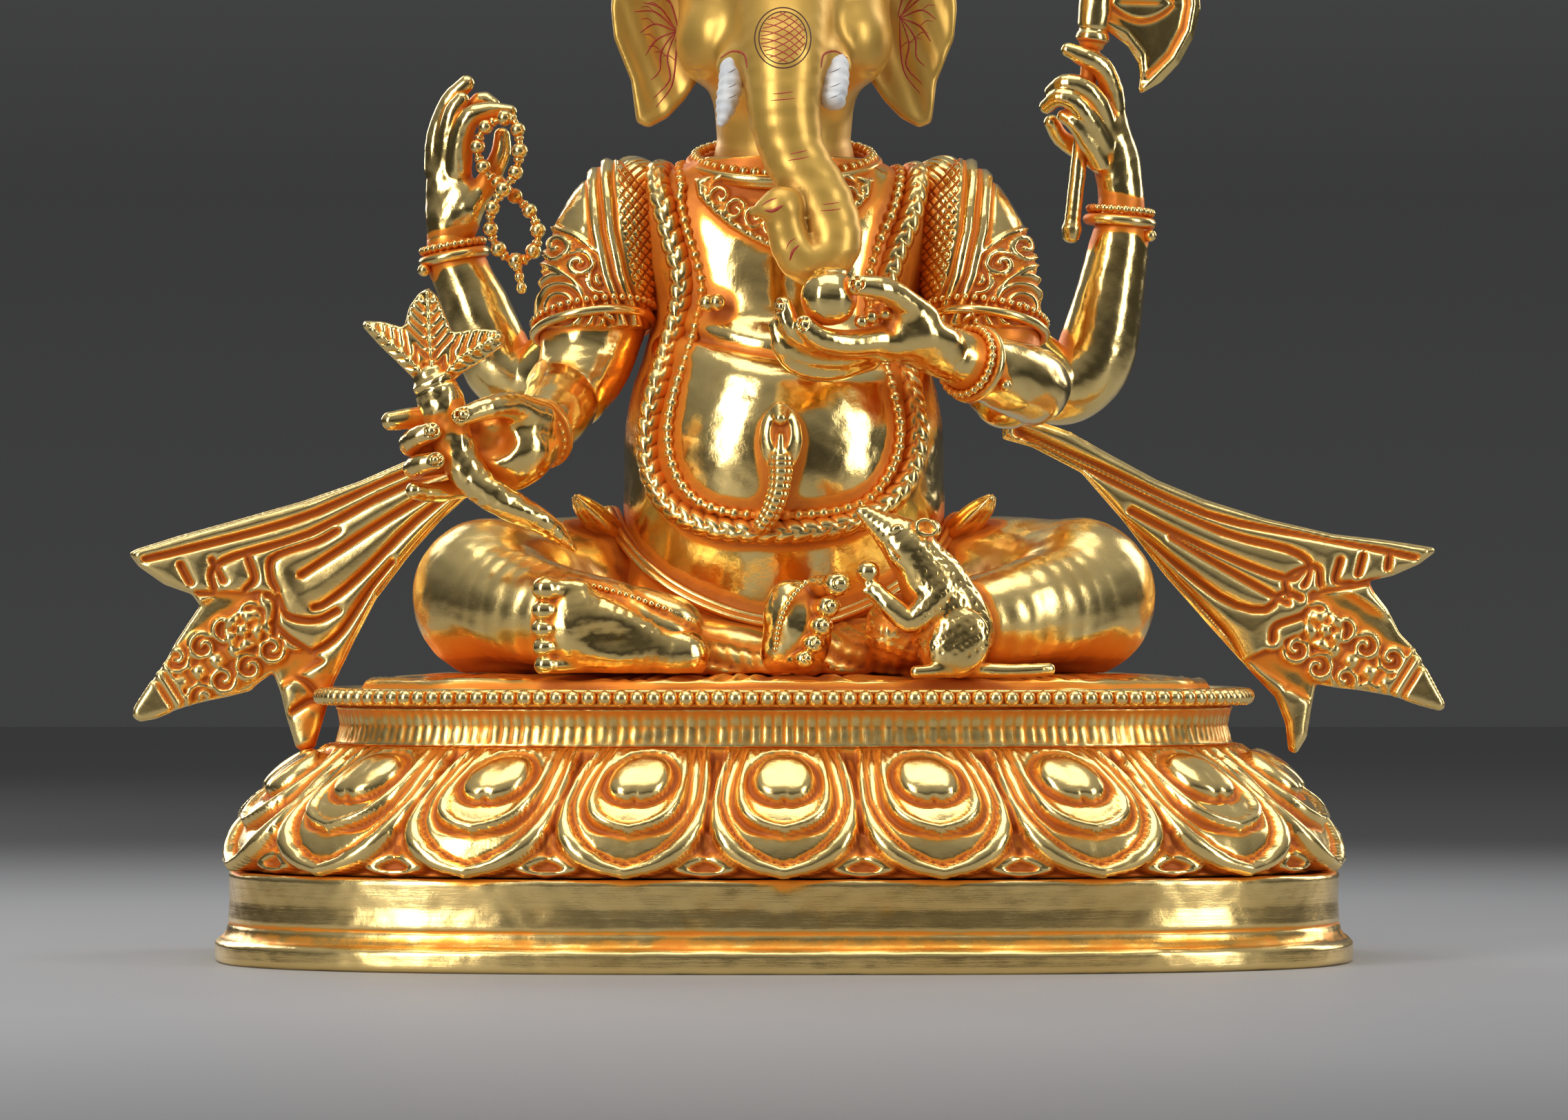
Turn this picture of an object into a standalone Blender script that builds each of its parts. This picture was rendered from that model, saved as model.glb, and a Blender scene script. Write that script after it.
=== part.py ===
"""Gilded Ganesha idol on a lotus pedestal, as separate solids. Metres, +Z up, the figure faces -Y.

"right" and "left" are the figure's own, so its right side is at -X. The pieces are made in order, and
each new piece is cut back from the pieces already made, so that touching pieces keep a small gap.
"""

import math

import bmesh
import bpy
import numpy as np
from mathutils import Matrix, Vector

MM = 0.001
GAP = 0.3 * MM  # clear space kept between touching pieces

# Pedestal: half width and half depth of each level
POWER = 3.0  # superellipse exponent of the pedestal's plan
FOOT = (150 * MM, 98 * MM)
PLINTH = (146.5 * MM, 94.5 * MM)
PETAL_TIP = (146.4 * MM, 95.8 * MM)
DRUM = (118.7 * MM, 75 * MM)
DECK = (116.8 * MM, 73.1 * MM)
RIM = (124.5 * MM, 80.8 * MM)
SEAT = (111 * MM, 69 * MM)
WALL = 3.5 * MM
FOOT_EDGE_Z = 5.9 * MM
FOOT_TOP_Z = 9.7 * MM
PLINTH_TOP_Z = 23.7 * MM
PETAL_TOP_Z = 56.6 * MM
DRUM_TOP_Z = 66.8 * MM
DECK_Z = 70.9 * MM
RIM_TOP_Z = 71.8 * MM
SEAT_BASE_Z = 71.2 * MM
SEAT_TOP_Z = 74.4 * MM
PETALS = 20
PETAL_COLUMNS = 4  # columns of faces across one petal
PETAL_ROWS = 5
PETAL_SWELL = 2.8 * MM  # how far a petal stands out between its grooves
RING_COLUMNS = 40

# Figure
CROWN_Z = 268.5 * MM
HEAD_TOP_Z = 288.5 * MM
TOP_Z = 330 * MM
SASH_THICK = 6 * MM

# Torso levels: height, half width, half depth, centre Y, all in mm
TORSO_LEVELS = (
    (74.8, 58, 40, 2),
    (84, 56, 40, 2),
    (95, 50, 38, 1),
    (108, 43.5, 39, -2),
    (122, 42.5, 42, -4),
    (137, 42.3, 43, -4),
    (150, 40.5, 40, -3),
    (160, 37, 34, -1),
    (171, 35.5, 29, 1),
    (185, 40, 27, 3),
    (198, 44, 25, 4),
    (206, 36, 22, 3),
    (211.8, 25, 20, 1),
)

# Head levels, in the same columns
HEAD_LEVELS = (
    (212.2, 21, 19, 0),
    (218, 21.5, 20, -1),
    (225, 23, 22, -3),
    (233, 26, 26, -5),
    (243, 28, 29, -5),
    (255, 29, 30, -5),
    (266, 28.8, 30, -4),
    (276, 26, 27, -3),
    (284, 19, 20, -2),
    (288.5, 9, 9, -1),
)

# Axe: the shaft leans outwards, and the axe is drawn up along it
AXE_FOOT = Vector((77.2, 24, 192.6)) * MM
AXE_NECK = Vector((83.4, 24, 249.0)) * MM
SHAFT_RADIUS = 2.35 * MM


def clear_scene():
    for existing in list(bpy.data.objects):
        bpy.data.objects.remove(existing)


def new_collection(name):
    collection = bpy.data.collections.new(name)
    bpy.context.scene.collection.children.link(collection)
    return collection


def new_material(name, color, roughness, metallic):
    material = bpy.data.materials.new(name)
    material.use_nodes = True
    shader = material.node_tree.nodes["Principled BSDF"]
    shader.inputs["Base Color"].default_value = (*color, 1.0)
    shader.inputs["Roughness"].default_value = roughness
    shader.inputs["Metallic"].default_value = metallic
    material.diffuse_color = (*color, 1.0)
    return material


def object_from(bm, name):
    """A mesh object from a bmesh, in triangles that face outwards, so that each cut sees the same faces."""
    bmesh.ops.triangulate(bm, faces=bm.faces)
    bmesh.ops.recalc_face_normals(bm, faces=bm.faces)
    mesh = bpy.data.meshes.new(name)
    bm.to_mesh(mesh)
    bm.free()
    made = bpy.data.objects.new(name, mesh)
    parts.objects.link(made)
    return made


def baked(source, name):
    """The evaluated source as a plain welded mesh object, and the source is removed."""
    bpy.context.view_layer.update()
    graph = bpy.context.evaluated_depsgraph_get()
    mesh = bpy.data.meshes.new_from_object(source.evaluated_get(graph))
    mesh.transform(source.matrix_world)
    bpy.data.objects.remove(source)
    bm = bmesh.new()
    bm.from_mesh(mesh)
    bpy.data.meshes.remove(mesh)
    bmesh.ops.remove_doubles(bm, verts=bm.verts, dist=0.002 * MM)
    return object_from(bm, name)


# --- shapes ---------------------------------------------------------------------------------------


def plan_angles(half, columns):
    """Angles of points spread evenly by length round a superellipse, starting at the front centre."""
    fine = np.linspace(-math.pi / 2, 1.5 * math.pi, 4001)
    x, y = plan_point(half, fine)
    length = np.concatenate([[0.0], np.cumsum(np.hypot(np.diff(x), np.diff(y)))])
    return np.interp(np.arange(columns) / columns * length[-1], length, fine)


def plan_point(half, angle):
    x = half[0] * np.sign(np.cos(angle)) * np.abs(np.cos(angle)) ** (2 / POWER)
    y = half[1] * np.sign(np.sin(angle)) * np.abs(np.sin(angle)) ** (2 / POWER)
    return x, y


def level(half, z, angles):
    """One ring of the pedestal: points at height z round its plan."""
    return [Vector((*map(float, plan_point(half, angle)), z)) for angle in angles]


def inset(half, amount):
    return (half[0] - amount, half[1] - amount)


def loft(name, rings, closed=False):
    """A solid through rings of equal point counts. closed joins the last ring to the first."""
    bm = bmesh.new()
    rows = [[bm.verts.new(point) for point in ring] for ring in rings]
    count = len(rows[0])
    pairs = list(zip(rows, rows[1:] + rows[:1])) if closed else list(zip(rows, rows[1:]))
    for low, high in pairs:
        for i in range(count):
            j = (i + 1) % count
            bm.faces.new((low[i], low[j], high[j], high[i]))
    if not closed:
        bm.faces.new(rows[0])
        bm.faces.new(rows[-1])
    return object_from(bm, name)


def oval_rings(levels, columns=18, shrink=0.0):
    """Elliptic rings from level rows in mm, made smaller by shrink."""
    rings = []
    for z, half_width, half_depth, middle in levels:
        ring = []
        for i in range(columns):
            angle = 2 * math.pi * i / columns
            x = (half_width - shrink) * math.cos(angle)
            y = middle + (half_depth - shrink) * math.sin(angle)
            ring.append(Vector((x, y, z)) * MM)
        rings.append(ring)
    return rings


def hollow_body(name, levels, wall):
    """A casting that is open below: down the inside, then up the outside."""
    inner = oval_rings([row for row in levels if row[0] < levels[-1][0] - 2 * wall], shrink=wall)
    outer = oval_rings(levels)
    return loft(name, inner[::-1] + outer)


def tube(name, stations, sides=1, cyclic=False):
    """A tapered tube through stations of x, y, z and radius in mm. More sides make it rounder."""
    curve = bpy.data.curves.new(name, "CURVE")
    curve.dimensions = "3D"
    curve.bevel_depth = 1.0
    curve.bevel_resolution = sides
    curve.use_fill_caps = True
    spline = curve.splines.new("POLY")
    spline.points.add(len(stations) - 1)
    spline.use_cyclic_u = cyclic
    for point, (x, y, z, radius) in zip(spline.points, stations):
        point.co = (x * MM, y * MM, z * MM, 1.0)
        point.radius = radius * MM
    made = bpy.data.objects.new(name, curve)
    parts.objects.link(made)
    return baked(made, name)


def ball(name, centre, radii, columns=12, rows=7):
    """An ellipsoid, centre and radii in mm."""
    bm = bmesh.new()
    bmesh.ops.create_uvsphere(bm, u_segments=columns, v_segments=rows, radius=1.0)
    size = Matrix.Diagonal((*(radius * MM for radius in radii), 1.0))
    bmesh.ops.transform(bm, matrix=Matrix.Translation(Vector(centre) * MM) @ size, verts=bm.verts)
    return object_from(bm, name)


def band(name, centre, axis, radii, thick):
    """A ring round a limb: centre, radii and thickness in mm."""
    bpy.ops.mesh.primitive_torus_add(
        major_segments=18, minor_segments=5, major_radius=1.0, minor_radius=0.12
    )
    ring = bpy.context.object
    bm = bmesh.new()
    bm.from_mesh(ring.data)
    bpy.data.objects.remove(ring)
    turn = Vector(axis).to_track_quat("Z", "X").to_matrix().to_4x4()
    for vert in bm.verts:
        outward = Vector((vert.co.x, vert.co.y, 0.0)).normalized()
        across = Vector((vert.co.x, vert.co.y, 0.0)).length - 1.0
        place = Vector((outward.x * radii[0], outward.y * radii[1], 0.0))
        place += outward * across / 0.12 * thick
        place.z = vert.co.z / 0.12 * thick
        vert.co = turn @ (place * MM) + Vector(centre) * MM
    return object_from(bm, name)


def turned(name, profile, place=(0, 0, 0), steps=20):
    """A turned solid: profile rows of radius and height in mm, from top to bottom."""
    mesh = bpy.data.meshes.new(name)
    points = [(radius * MM, 0.0, height * MM) for radius, height in profile]
    mesh.from_pydata(points, [(i, i + 1) for i in range(len(points) - 1)], [])
    made = bpy.data.objects.new(name, mesh)
    parts.objects.link(made)
    made.location = Vector(place) * MM
    screw = made.modifiers.new("turn", "SCREW")
    screw.steps = steps
    screw.render_steps = steps
    screw.use_merge_vertices = True
    screw.merge_threshold = 0.00001
    return baked(made, name)


def plate(name, outline, front_y, thick):
    """A flat plate from an outline of x and z in mm, standing in the XZ plane."""
    curve = bpy.data.curves.new(name, "CURVE")
    curve.dimensions = "2D"
    curve.fill_mode = "BOTH"
    curve.extrude = thick * MM / 2
    spline = curve.splines.new("POLY")
    spline.points.add(len(outline) - 1)
    spline.use_cyclic_u = True
    for point, (x, z) in zip(spline.points, outline):
        point.co = (x * MM, z * MM, 0.0, 1.0)
    made = bpy.data.objects.new(name, curve)
    parts.objects.link(made)
    made.rotation_euler = (math.pi / 2, 0.0, 0.0)
    made.location = (0.0, (front_y + thick / 2) * MM, 0.0)
    return baked(made, name)


# --- joining and clearing -------------------------------------------------------------------------


def cut_or_join(name, body, others, operation, solver="EXACT"):
    """The body with the others joined on or cut away, all baked into one mesh object."""
    for other in others:
        boolean = body.modifiers.new(operation.lower(), "BOOLEAN")
        boolean.operation = operation
        boolean.solver = solver
        boolean.object = other
        other.hide_render = True
        other.display_type = "WIRE"
    result = baked(body, name)
    for other in others:
        bpy.data.objects.remove(other)
    return result


def joined(name, pieces):
    return cut_or_join(name, pieces[0], pieces[1:], "UNION")


def grown(source):
    """A cutter: a copy of the source, larger by the gap on every side."""
    bm = bmesh.new()
    bm.from_mesh(source.data)
    bm.normal_update()
    moves = [v.normal * GAP * min(v.calc_shell_factor(), 1.8) for v in bm.verts]
    for vert, move in zip(bm.verts, moves):
        vert.co += move
    cutter = object_from(bm, source.name + "_cutter")
    parts.objects.unlink(cutter)
    cutters.objects.link(cutter)
    return cutter


def box_of(thing):
    corners = np.array([vert.co for vert in thing.data.vertices])
    return corners.min(axis=0), corners.max(axis=0)


def boxes_meet(one, other):
    low, high = box_of(one)
    other_low, other_high = box_of(other)
    return bool(((low < other_high + GAP) & (other_low < high + GAP)).all())


def keep_largest(piece):
    """Drops the scraps that a cut leaves loose."""
    bm = bmesh.new()
    bm.from_mesh(piece.data)
    bm.faces.ensure_lookup_table()
    left = set(bm.faces)
    groups = []
    while left:
        start = left.pop()
        group = {start}
        front = [start]
        while front:
            face = front.pop()
            for edge in face.edges:
                for near in edge.link_faces:
                    if near in left:
                        left.remove(near)
                        group.add(near)
                        front.append(near)
        groups.append(group)
    groups.sort(key=lambda group: -sum(face.calc_area() for face in group))
    loose = [face for group in groups[1:] for face in group]
    bmesh.ops.delete(bm, geom=loose, context="FACES")
    bm.to_mesh(piece.data)
    bm.free()


def finish(piece, material, smooth=True, solver="EXACT"):
    """Clears a piece from the finished ones, gives it its material and adds it to them.

    MANIFOLD is for pieces whose neighbours' grown copies cross themselves, as fingers do.
    """
    name = piece.name
    near = [other for other in finished if boxes_meet(piece, other)]
    if near:
        piece.name = name + "_raw"
        piece = cut_or_join(name, piece, [grown(other) for other in near], "DIFFERENCE", solver)
        keep_largest(piece)
    piece.name = name
    piece.data.materials.append(material)
    if smooth:
        piece.data.shade_smooth()
        piece.data.set_sharp_from_angle(angle=math.radians(40))
    finished.append(piece)
    return piece


# --- pedestal -------------------------------------------------------------------------------------


def make_pins():
    """Two clenched pins that tie the legs to the deck."""
    for side, name in ((-1, "fixing_pin_right"), (1, "fixing_pin_left")):
        profile = ((0, 90), (3, 90), (3, 67.1), (5, 67.1), (5, 64), (0, 64))
        finish(turned(name, profile, (side * 60, -8, 0), 16), copper)


def make_plinth():
    angles = plan_angles(PLINTH, RING_COLUMNS)
    lip = inset(FOOT, 5.5 * MM)
    wall = inset(PLINTH, WALL)
    rings = [
        level(FOOT, 0.0, angles),
        level(FOOT, FOOT_EDGE_Z, angles),
        level(PLINTH, FOOT_TOP_Z, angles),
        level(PLINTH, PLINTH_TOP_Z, angles),
        level(wall, PLINTH_TOP_Z, angles),
        level(wall, FOOT_TOP_Z, angles),
        level(lip, FOOT_EDGE_Z, angles),
        level(lip, 0.0, angles),
    ]
    finish(loft("plinth", rings, closed=True), gilt, smooth=False)
    cover = inset(lip, 0.4 * MM)
    rings = [level(cover, 1.2 * MM, angles), level(cover, 2.4 * MM, angles)]
    finish(loft("sealing_plate", rings), copper, smooth=False)


def make_lotus():
    """The petal ring: a slope of petals, each swelling between two grooves."""
    columns = PETALS * PETAL_COLUMNS
    angles = plan_angles(PETAL_TIP, columns)
    height = PETAL_TOP_Z - PLINTH_TOP_Z - 2 * GAP
    outer = []
    inner = []
    for step in range(PETAL_ROWS):
        down = step / (PETAL_ROWS - 1)
        z = PETAL_TOP_Z - GAP - down * height
        spread = math.sin(down * math.pi / 2) ** 0.85
        half = tuple(a + (b - a) * spread for a, b in zip(DRUM, PETAL_TIP))
        swell = PETAL_SWELL * math.sin(math.pi * (0.12 + 0.76 * down))
        ring = []
        for i, angle in enumerate(angles):
            across = 2 * ((i / PETAL_COLUMNS + 0.5) % 1.0) - 1
            push = swell * (1 - abs(across) ** 2.5) - swell
            ring.append(Vector((*map(float, plan_point(inset(half, -push), angle)), z)))
        outer.append(ring)
        if step in (0, 2, PETAL_ROWS - 1):
            inner.append(level(inset(half, WALL + PETAL_SWELL), z, angles))
    finish(loft("lotus_ring", outer + inner[::-1], closed=True), gilt)


def make_drum():
    angles = plan_angles(DRUM, RING_COLUMNS)
    under = DECK_Z - WALL
    inside = inset(DRUM, WALL)
    rings = [
        level(inside, under, angles),
        level(inside, PETAL_TOP_Z, angles),
        level(DRUM, PETAL_TOP_Z, angles),
        level(inset(DRUM, 0.8 * MM), (PETAL_TOP_Z + DRUM_TOP_Z) / 2, angles),
        level(DRUM, DRUM_TOP_Z, angles),
        level(DECK, DRUM_TOP_Z, angles),
        level(DECK, DECK_Z, angles),
    ]
    finish(loft("stamen_drum", rings), gilt, smooth=False)


def make_rim():
    angles = plan_angles(RIM, RING_COLUMNS)
    inside = inset(DECK, -0.4 * MM)
    edge = inset(RIM, 2 * MM)
    low = DRUM_TOP_Z + GAP
    rings = [
        level(inside, low, angles),
        level(edge, low, angles),
        level(RIM, (low + RIM_TOP_Z) / 2, angles),
        level(edge, RIM_TOP_Z, angles),
        level(inside, RIM_TOP_Z, angles),
    ]
    finish(loft("beaded_rim", rings, closed=True), gilt)


def make_seat():
    """The spread hem of the robe: a low cloth with a waved edge."""
    angles = plan_angles(SEAT, 60)
    edge = []
    top = []
    for i, angle in enumerate(angles):
        wave = 2.2 * MM * math.cos(2 * math.pi * i / 5)
        edge.append(Vector((*map(float, plan_point(inset(SEAT, -wave), angle)), SEAT_BASE_Z)))
        shoulder = inset(SEAT, 1.5 * MM - wave)
        top.append(Vector((*map(float, plan_point(shoulder, angle)), SEAT_TOP_Z)))
    finish(loft("seat_cloth", [edge, top]), gilt)


# --- body and limbs -------------------------------------------------------------------------------


def torso_front(x, z):
    """Y of the torso's front, in mm, at x and z in mm."""
    heights = [row[0] for row in TORSO_LEVELS]
    half_width = np.interp(z, heights, [row[1] for row in TORSO_LEVELS])
    half_depth = np.interp(z, heights, [row[2] for row in TORSO_LEVELS])
    middle = np.interp(z, heights, [row[3] for row in TORSO_LEVELS])
    share = max(0.04, 1 - (x / half_width) ** 2)
    return float(middle - half_depth * math.sqrt(share))


def make_torso():
    finish(hollow_body("torso", TORSO_LEVELS, 3.5), gilt)


def make_legs():
    for side, name in ((-1, "right"), (1, "left")):
        hip = ((side * 40, 4, 97, 19), (side * 62, -10, 97, 19.5), (side * 78, -20, 96, 18))
        thigh = tube("thigh", hip, sides=2)
        knee = ball("knee", (side * 78.5, -21, 96.3), (18.9, 19.5, 19.9))
        ankle = ((side * 78, -28, 95, 15.5), (side * 60, -46, 91, 13.5), (side * 36, -55, 88, 10.5))
        shin = tube("shin", ankle, sides=2)
        finish(joined(name + "_leg", [knee, thigh, shin]), gilt, solver="MANIFOLD")


def make_feet():
    sole = ball("sole", (-41, -63, 87), (19, 7, 11.5))
    toes = [
        tube("toe", ((-50, -62, z, 3), (-61, -66, z + 0.5, 2.7), (-64, -67, z, 1.8)))
        for z in (79, 83.5, 88, 92.5, 97)
    ]
    finish(joined("right_foot", [sole, *toes]), gilt)
    sole = ball("sole", (6, -63, 88.5), (10, 7.5, 13))
    toes = [
        tube("toe", ((8, -65, z, 2.6), (14 - lean, -70, z, 2.5), (16 - lean, -71, z - 1, 1.6)))
        for z, lean in ((98, 0), (93, 2.5), (88.5, 4), (84, 5.5), (79.5, 6.5))
    ]
    finish(joined("left_foot", [sole, *toes]), gilt)


def make_sleeves():
    reach = ((42, 3, 199, 13), (49, -2, 186, 15), (52, -6, 170, 16), (57, -13, 152, 11.5))
    for side, name in ((-1, "right"), (1, "left")):
        outward = 1.06 if side > 0 else 1.0
        stations = [(side * x * outward, y, z, radius) for x, y, z, radius in reach]
        finish(tube(name + "_sleeve", stations, sides=3), gilt)


def make_forearms():
    right = ((-58, -20, 147, 10), (-61, -33, 142, 9), (-65, -43, 137, 7.8))
    finish(tube("right_forearm", right, sides=2), gilt)
    left = ((65, -21, 151, 10), (57, -34, 153, 9.4), (48, -44, 156, 8))
    finish(tube("left_forearm", left, sides=2), gilt)


def make_rear_arms():
    right = (
        (-50, 12, 174, 9),
        (-59, 22, 160, 10),
        (-68, 27.5, 153, 10.3),
        (-76.5, 29, 158, 10),
        (-82, 29, 170, 9.3),
        (-89.5, 29, 187, 8.2),
    )
    finish(tube("rear_right_arm", right, sides=2), gilt)
    left = (
        (54, 12, 174, 9),
        (64, 22, 160, 10),
        (74, 27.5, 152, 10.5),
        (83, 29, 158, 10.5),
        (87, 29, 171, 9.8),
        (90.6, 28.5, 193, 8.4),
    )
    finish(tube("rear_left_arm", left, sides=2), gilt)


def make_hands():
    palm = ball("palm", (-72, -50, 133), (10.5, 7, 9))
    fingers = [
        tube("index", ((-76, -52, 138, 2.8), (-88, -51, 141.5, 2.6), (-98, -52, 141, 1.9))),
        tube("middle", ((-78, -54, 136, 2.7), (-91, -60, 138.5, 2.6), (-93, -66, 137, 2))),
        tube("ring", ((-78, -54, 131, 2.6), (-90, -61, 130.5, 2.5), (-91, -66, 129, 2))),
        tube("little", ((-76, -54, 126.5, 2.4), (-87, -61, 124, 2.3), (-90, -64, 122.5, 1.8))),
        tube("thumb", ((-66, -54, 137, 3), (-73, -62, 141, 2.8), (-81, -67, 141, 2.1))),
    ]
    finish(joined("right_hand", [palm, *fingers]), gilt)

    palm = ball("palm", (30, -52, 161), (14, 7, 6.5))
    fingers = [
        tube("finger", ((22, -56, base, 2.8), (9, -60, tip, 2.6), (0, -60, tip, 1.9)))
        for base, tip in ((165.75, 170.5), (163.25, 165.5), (160.75, 160.5), (158.75, 156.5))
    ]
    thumb = tube("thumb", ((34, -56, 165, 3.2), (27, -62, 172, 2.9), (20, -64, 176, 2)))
    finish(joined("left_hand", [palm, *fingers, thumb]), gilt)

    palm = ball("palm", (-89, 28, 205), (7.5, 5.5, 12.5))
    fingers = [
        tube("ring", ((-92, 28, 212, 2.6), (-87.5, 27, 226, 2.5), (-84.5, 26, 235, 1.8))),
        tube("little", ((-88, 27, 212, 2.5), (-83, 25, 225, 2.4), (-79.5, 24, 233.5, 1.8))),
        tube("index", ((-86, 27, 211, 2.8), (-79.5, 24, 222, 2.6), (-73, 22, 226.5, 1.9))),
        tube("thumb", ((-84, 26, 203, 3), (-77, 23, 213, 2.7), (-74, 22, 221, 2))),
    ]
    finish(joined("rear_right_hand", [palm, *fingers]), gilt)

    palm = ball("palm", (91, 30, 216), (7, 6, 14))
    fingers = [
        tube("finger", ((92, 26, z, 3), (85.5, 17, z + 1.5, 2.8), (77, 17.5, z + 3, 2.1)))
        for z in (213, 219, 225, 231)
    ]
    thumb = tube("thumb", ((90, 34, 226, 3.2), (83, 32.5, 235, 3), (77, 29.5, 241, 2.1)))
    finish(joined("rear_left_hand", [palm, *fingers, thumb]), gilt)


def make_bracelets():
    finish(band("front_right_bracelet", (-62.5, -37.5, 139.8), (-4, -10, -5), (9.6, 9.6), 2.3), gilt)
    finish(band("front_left_bracelet", (53.5, -38, 154), (-9, -10, 3), (10, 10), 2.3), gilt)
    finish(band("rear_right_bracelet", (-88.6, 29, 185), (-7, 0, 17), (9.6, 9.6), 2.3), gilt)
    finish(band("rear_left_bracelet", (90.2, 28.6, 190.5), (3, 0, 22), (9.9, 9.9), 2.3), gilt)
    finish(band("right_armlet", (-52.3, -6.3, 169.8), (-2, -4, -17), (17, 17), 2.6), gilt)
    finish(band("left_armlet", (55.4, -6.3, 169.8), (2, -4, -17), (17, 17), 2.6), gilt)


# --- head -----------------------------------------------------------------------------------------


def make_head():
    """Head and trunk in one hollow casting, the trunk curled to the figure's right."""
    skull = hollow_body("skull", HEAD_LEVELS, 3.5)
    trunk = tube(
        "trunk",
        (
            (0, -24, 256, 13),
            (0, -33, 246, 13),
            (0, -39, 234, 10.4),
            (0.5, -41, 220, 8.9),
            (4.5, -42, 207, 8.9),
            (10.5, -44, 197, 8.6),
            (13, -47, 190, 8.2),
        ),
        sides=3,
    )
    tip = (
        (13.2, -46, 193, 8),
        (12.5, -48.5, 186.5, 7.7),
        (6.5, -51, 182.5, 7),
        (0, -52.5, 186, 6.5),
        (-3, -53.5, 194, 6.3),
    )
    curl = tube("curl", tip, sides=3)
    finish(joined("head", [skull, trunk, curl]), face_paint)


def make_ears():
    outline = (
        (24, 250), (24, 236), (29.5, 224), (36, 219.8), (41, 221.5), (41.5, 232), (43.5, 244),
        (46, 257), (43, 264.5), (35, 267), (27, 265),
    )
    for side, name in ((-1, "right_ear"), (1, "left_ear")):
        ear = plate(name, [(side * x, z) for x, z in outline], -3, 4.2)
        finish(ear, face_paint)


def make_tusks():
    whole = ((-9.5, -27, 236, 3.6), (-13, -37, 229, 3.1), (-17.2, -42, 218.5, 0.9))
    finish(tube("right_tusk", whole), white)
    broken = ((9.5, -27, 236, 3.7), (12.5, -36, 229.5, 3.5), (15, -40, 222, 3.2))
    finish(tube("left_tusk", broken), white)


def make_crown():
    """A band with five leaves in front, wide enough to lift straight off."""
    columns = 40
    outer = []
    inner = []
    for share, flare in ((0.0, 0.0), (0.35, 0.6), (0.7, 2.0), (1.0, 3.4)):
        outer_ring = []
        inner_ring = []
        for i in range(columns):
            around = i / columns * 2 - 1
            leaf = 0.0
            if abs(around) < 0.625:
                leaf = 1 - abs(2 * ((around / 0.25 + 0.5) % 1.0) - 1) ** 1.6
            tall = 12 + leaf * 19
            angle = around * math.pi - math.pi / 2
            for ring, thick in ((inner_ring, 0.0), (outer_ring, 2.0)):
                x = (30.6 + flare + thick) * math.cos(angle)
                y = -4 + (31.6 + flare + thick) * math.sin(angle)
                ring.append(Vector((x * MM, y * MM, CROWN_Z + share * tall * MM)))
        outer.append(outer_ring)
        inner.append(inner_ring)
    crown = finish(loft("crown", outer + inner[::-1], closed=True), gilt)
    joint = bpy.data.objects.new("crown_lift_axis", None)
    joint.location = (0.0, -4 * MM, CROWN_Z)
    parts.objects.link(joint)
    ride_on(crown, joint)


def make_topknot():
    low = HEAD_TOP_Z / MM - 1
    profile = (
        (0, TOP_Z / MM), (2.4, 326), (6.5, 320), (7.2, 316), (4.2, 312), (9.5, 309), (13.5, 301),
        (14.5, 294), (12, low), (0, low),
    )
    finish(turned("topknot", profile, (0, -2, 0)), gilt)


# --- ornaments ------------------------------------------------------------------------------------


def make_collar():
    finish(band("neck_beads", (0, -1.5, 213.5), (0, -0.28, 1), (24.5, 22.5), 2.9), gilt)
    finish(ball("collar_necklace", (0, -24.5, 199.5), (24, 7.5, 12)), gilt)


def on_torso(route, radius, lift):
    """Tube stations along a route of x and z in mm, laid on the torso's front."""
    return [(x, torso_front(x, z) - radius * lift, z, radius) for x, z in route]


def make_garland():
    route = (
        (-27, 208), (-27.3, 202.6), (-25.7, 192.8), (-23.2, 185.3), (-21.4, 177), (-22.8, 168), (-25.5, 158),
        (-28.6, 148.5), (-30.2, 139), (-29.2, 130.5), (-26, 123.8), (-20.5, 119.3), (-12, 117), (-2, 116.6),
        (8, 117), (16, 118.3), (22.5, 121.3), (27, 127), (29.8, 134), (30, 142), (27.9, 151), (25.2, 161),
        (22.6, 172), (22.4, 181), (25.5, 190), (28.6, 197), (30.6, 203), (29, 208.5),
    )
    finish(tube("bead_garland", on_torso(route, 1.6, 0.7)), gilt)


def make_serpent():
    route = (
        (-33.5, 205), (-31.6, 198.6), (-29.4, 189.3), (-27, 180.3), (-27.6, 171), (-30.2, 161), (-33, 151),
        (-35.2, 141), (-35.3, 131), (-32.6, 123), (-26.8, 117), (-18, 113.4), (-8, 112.4), (3, 112.5),
        (13, 113.6), (22, 116.8), (29.6, 122.6), (33.6, 130.5), (34.6, 140), (33.4, 149.6), (30.6, 158.5),
        (28, 168), (27.2, 178), (29.8, 187), (33, 194.5), (35.4, 203),
    )
    thread = tube("thread", on_torso(route, 2.7, 0.7))
    neck = ((-4, -48, 115, 2.6), (-1.4, -50.5, 124, 3), (-0.8, -51, 132, 4.4), (-0.8, -51, 139, 5))
    hood = tube("hood", (*neck, (-0.8, -52, 145, 3)))
    finish(joined("serpent_thread", [thread, hood]), gilt)


def make_girdle():
    finish(band("girdle", (0, 0, 110), (0, -0.16, 1), (48, 44.5), 3.4), gilt)


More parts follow.
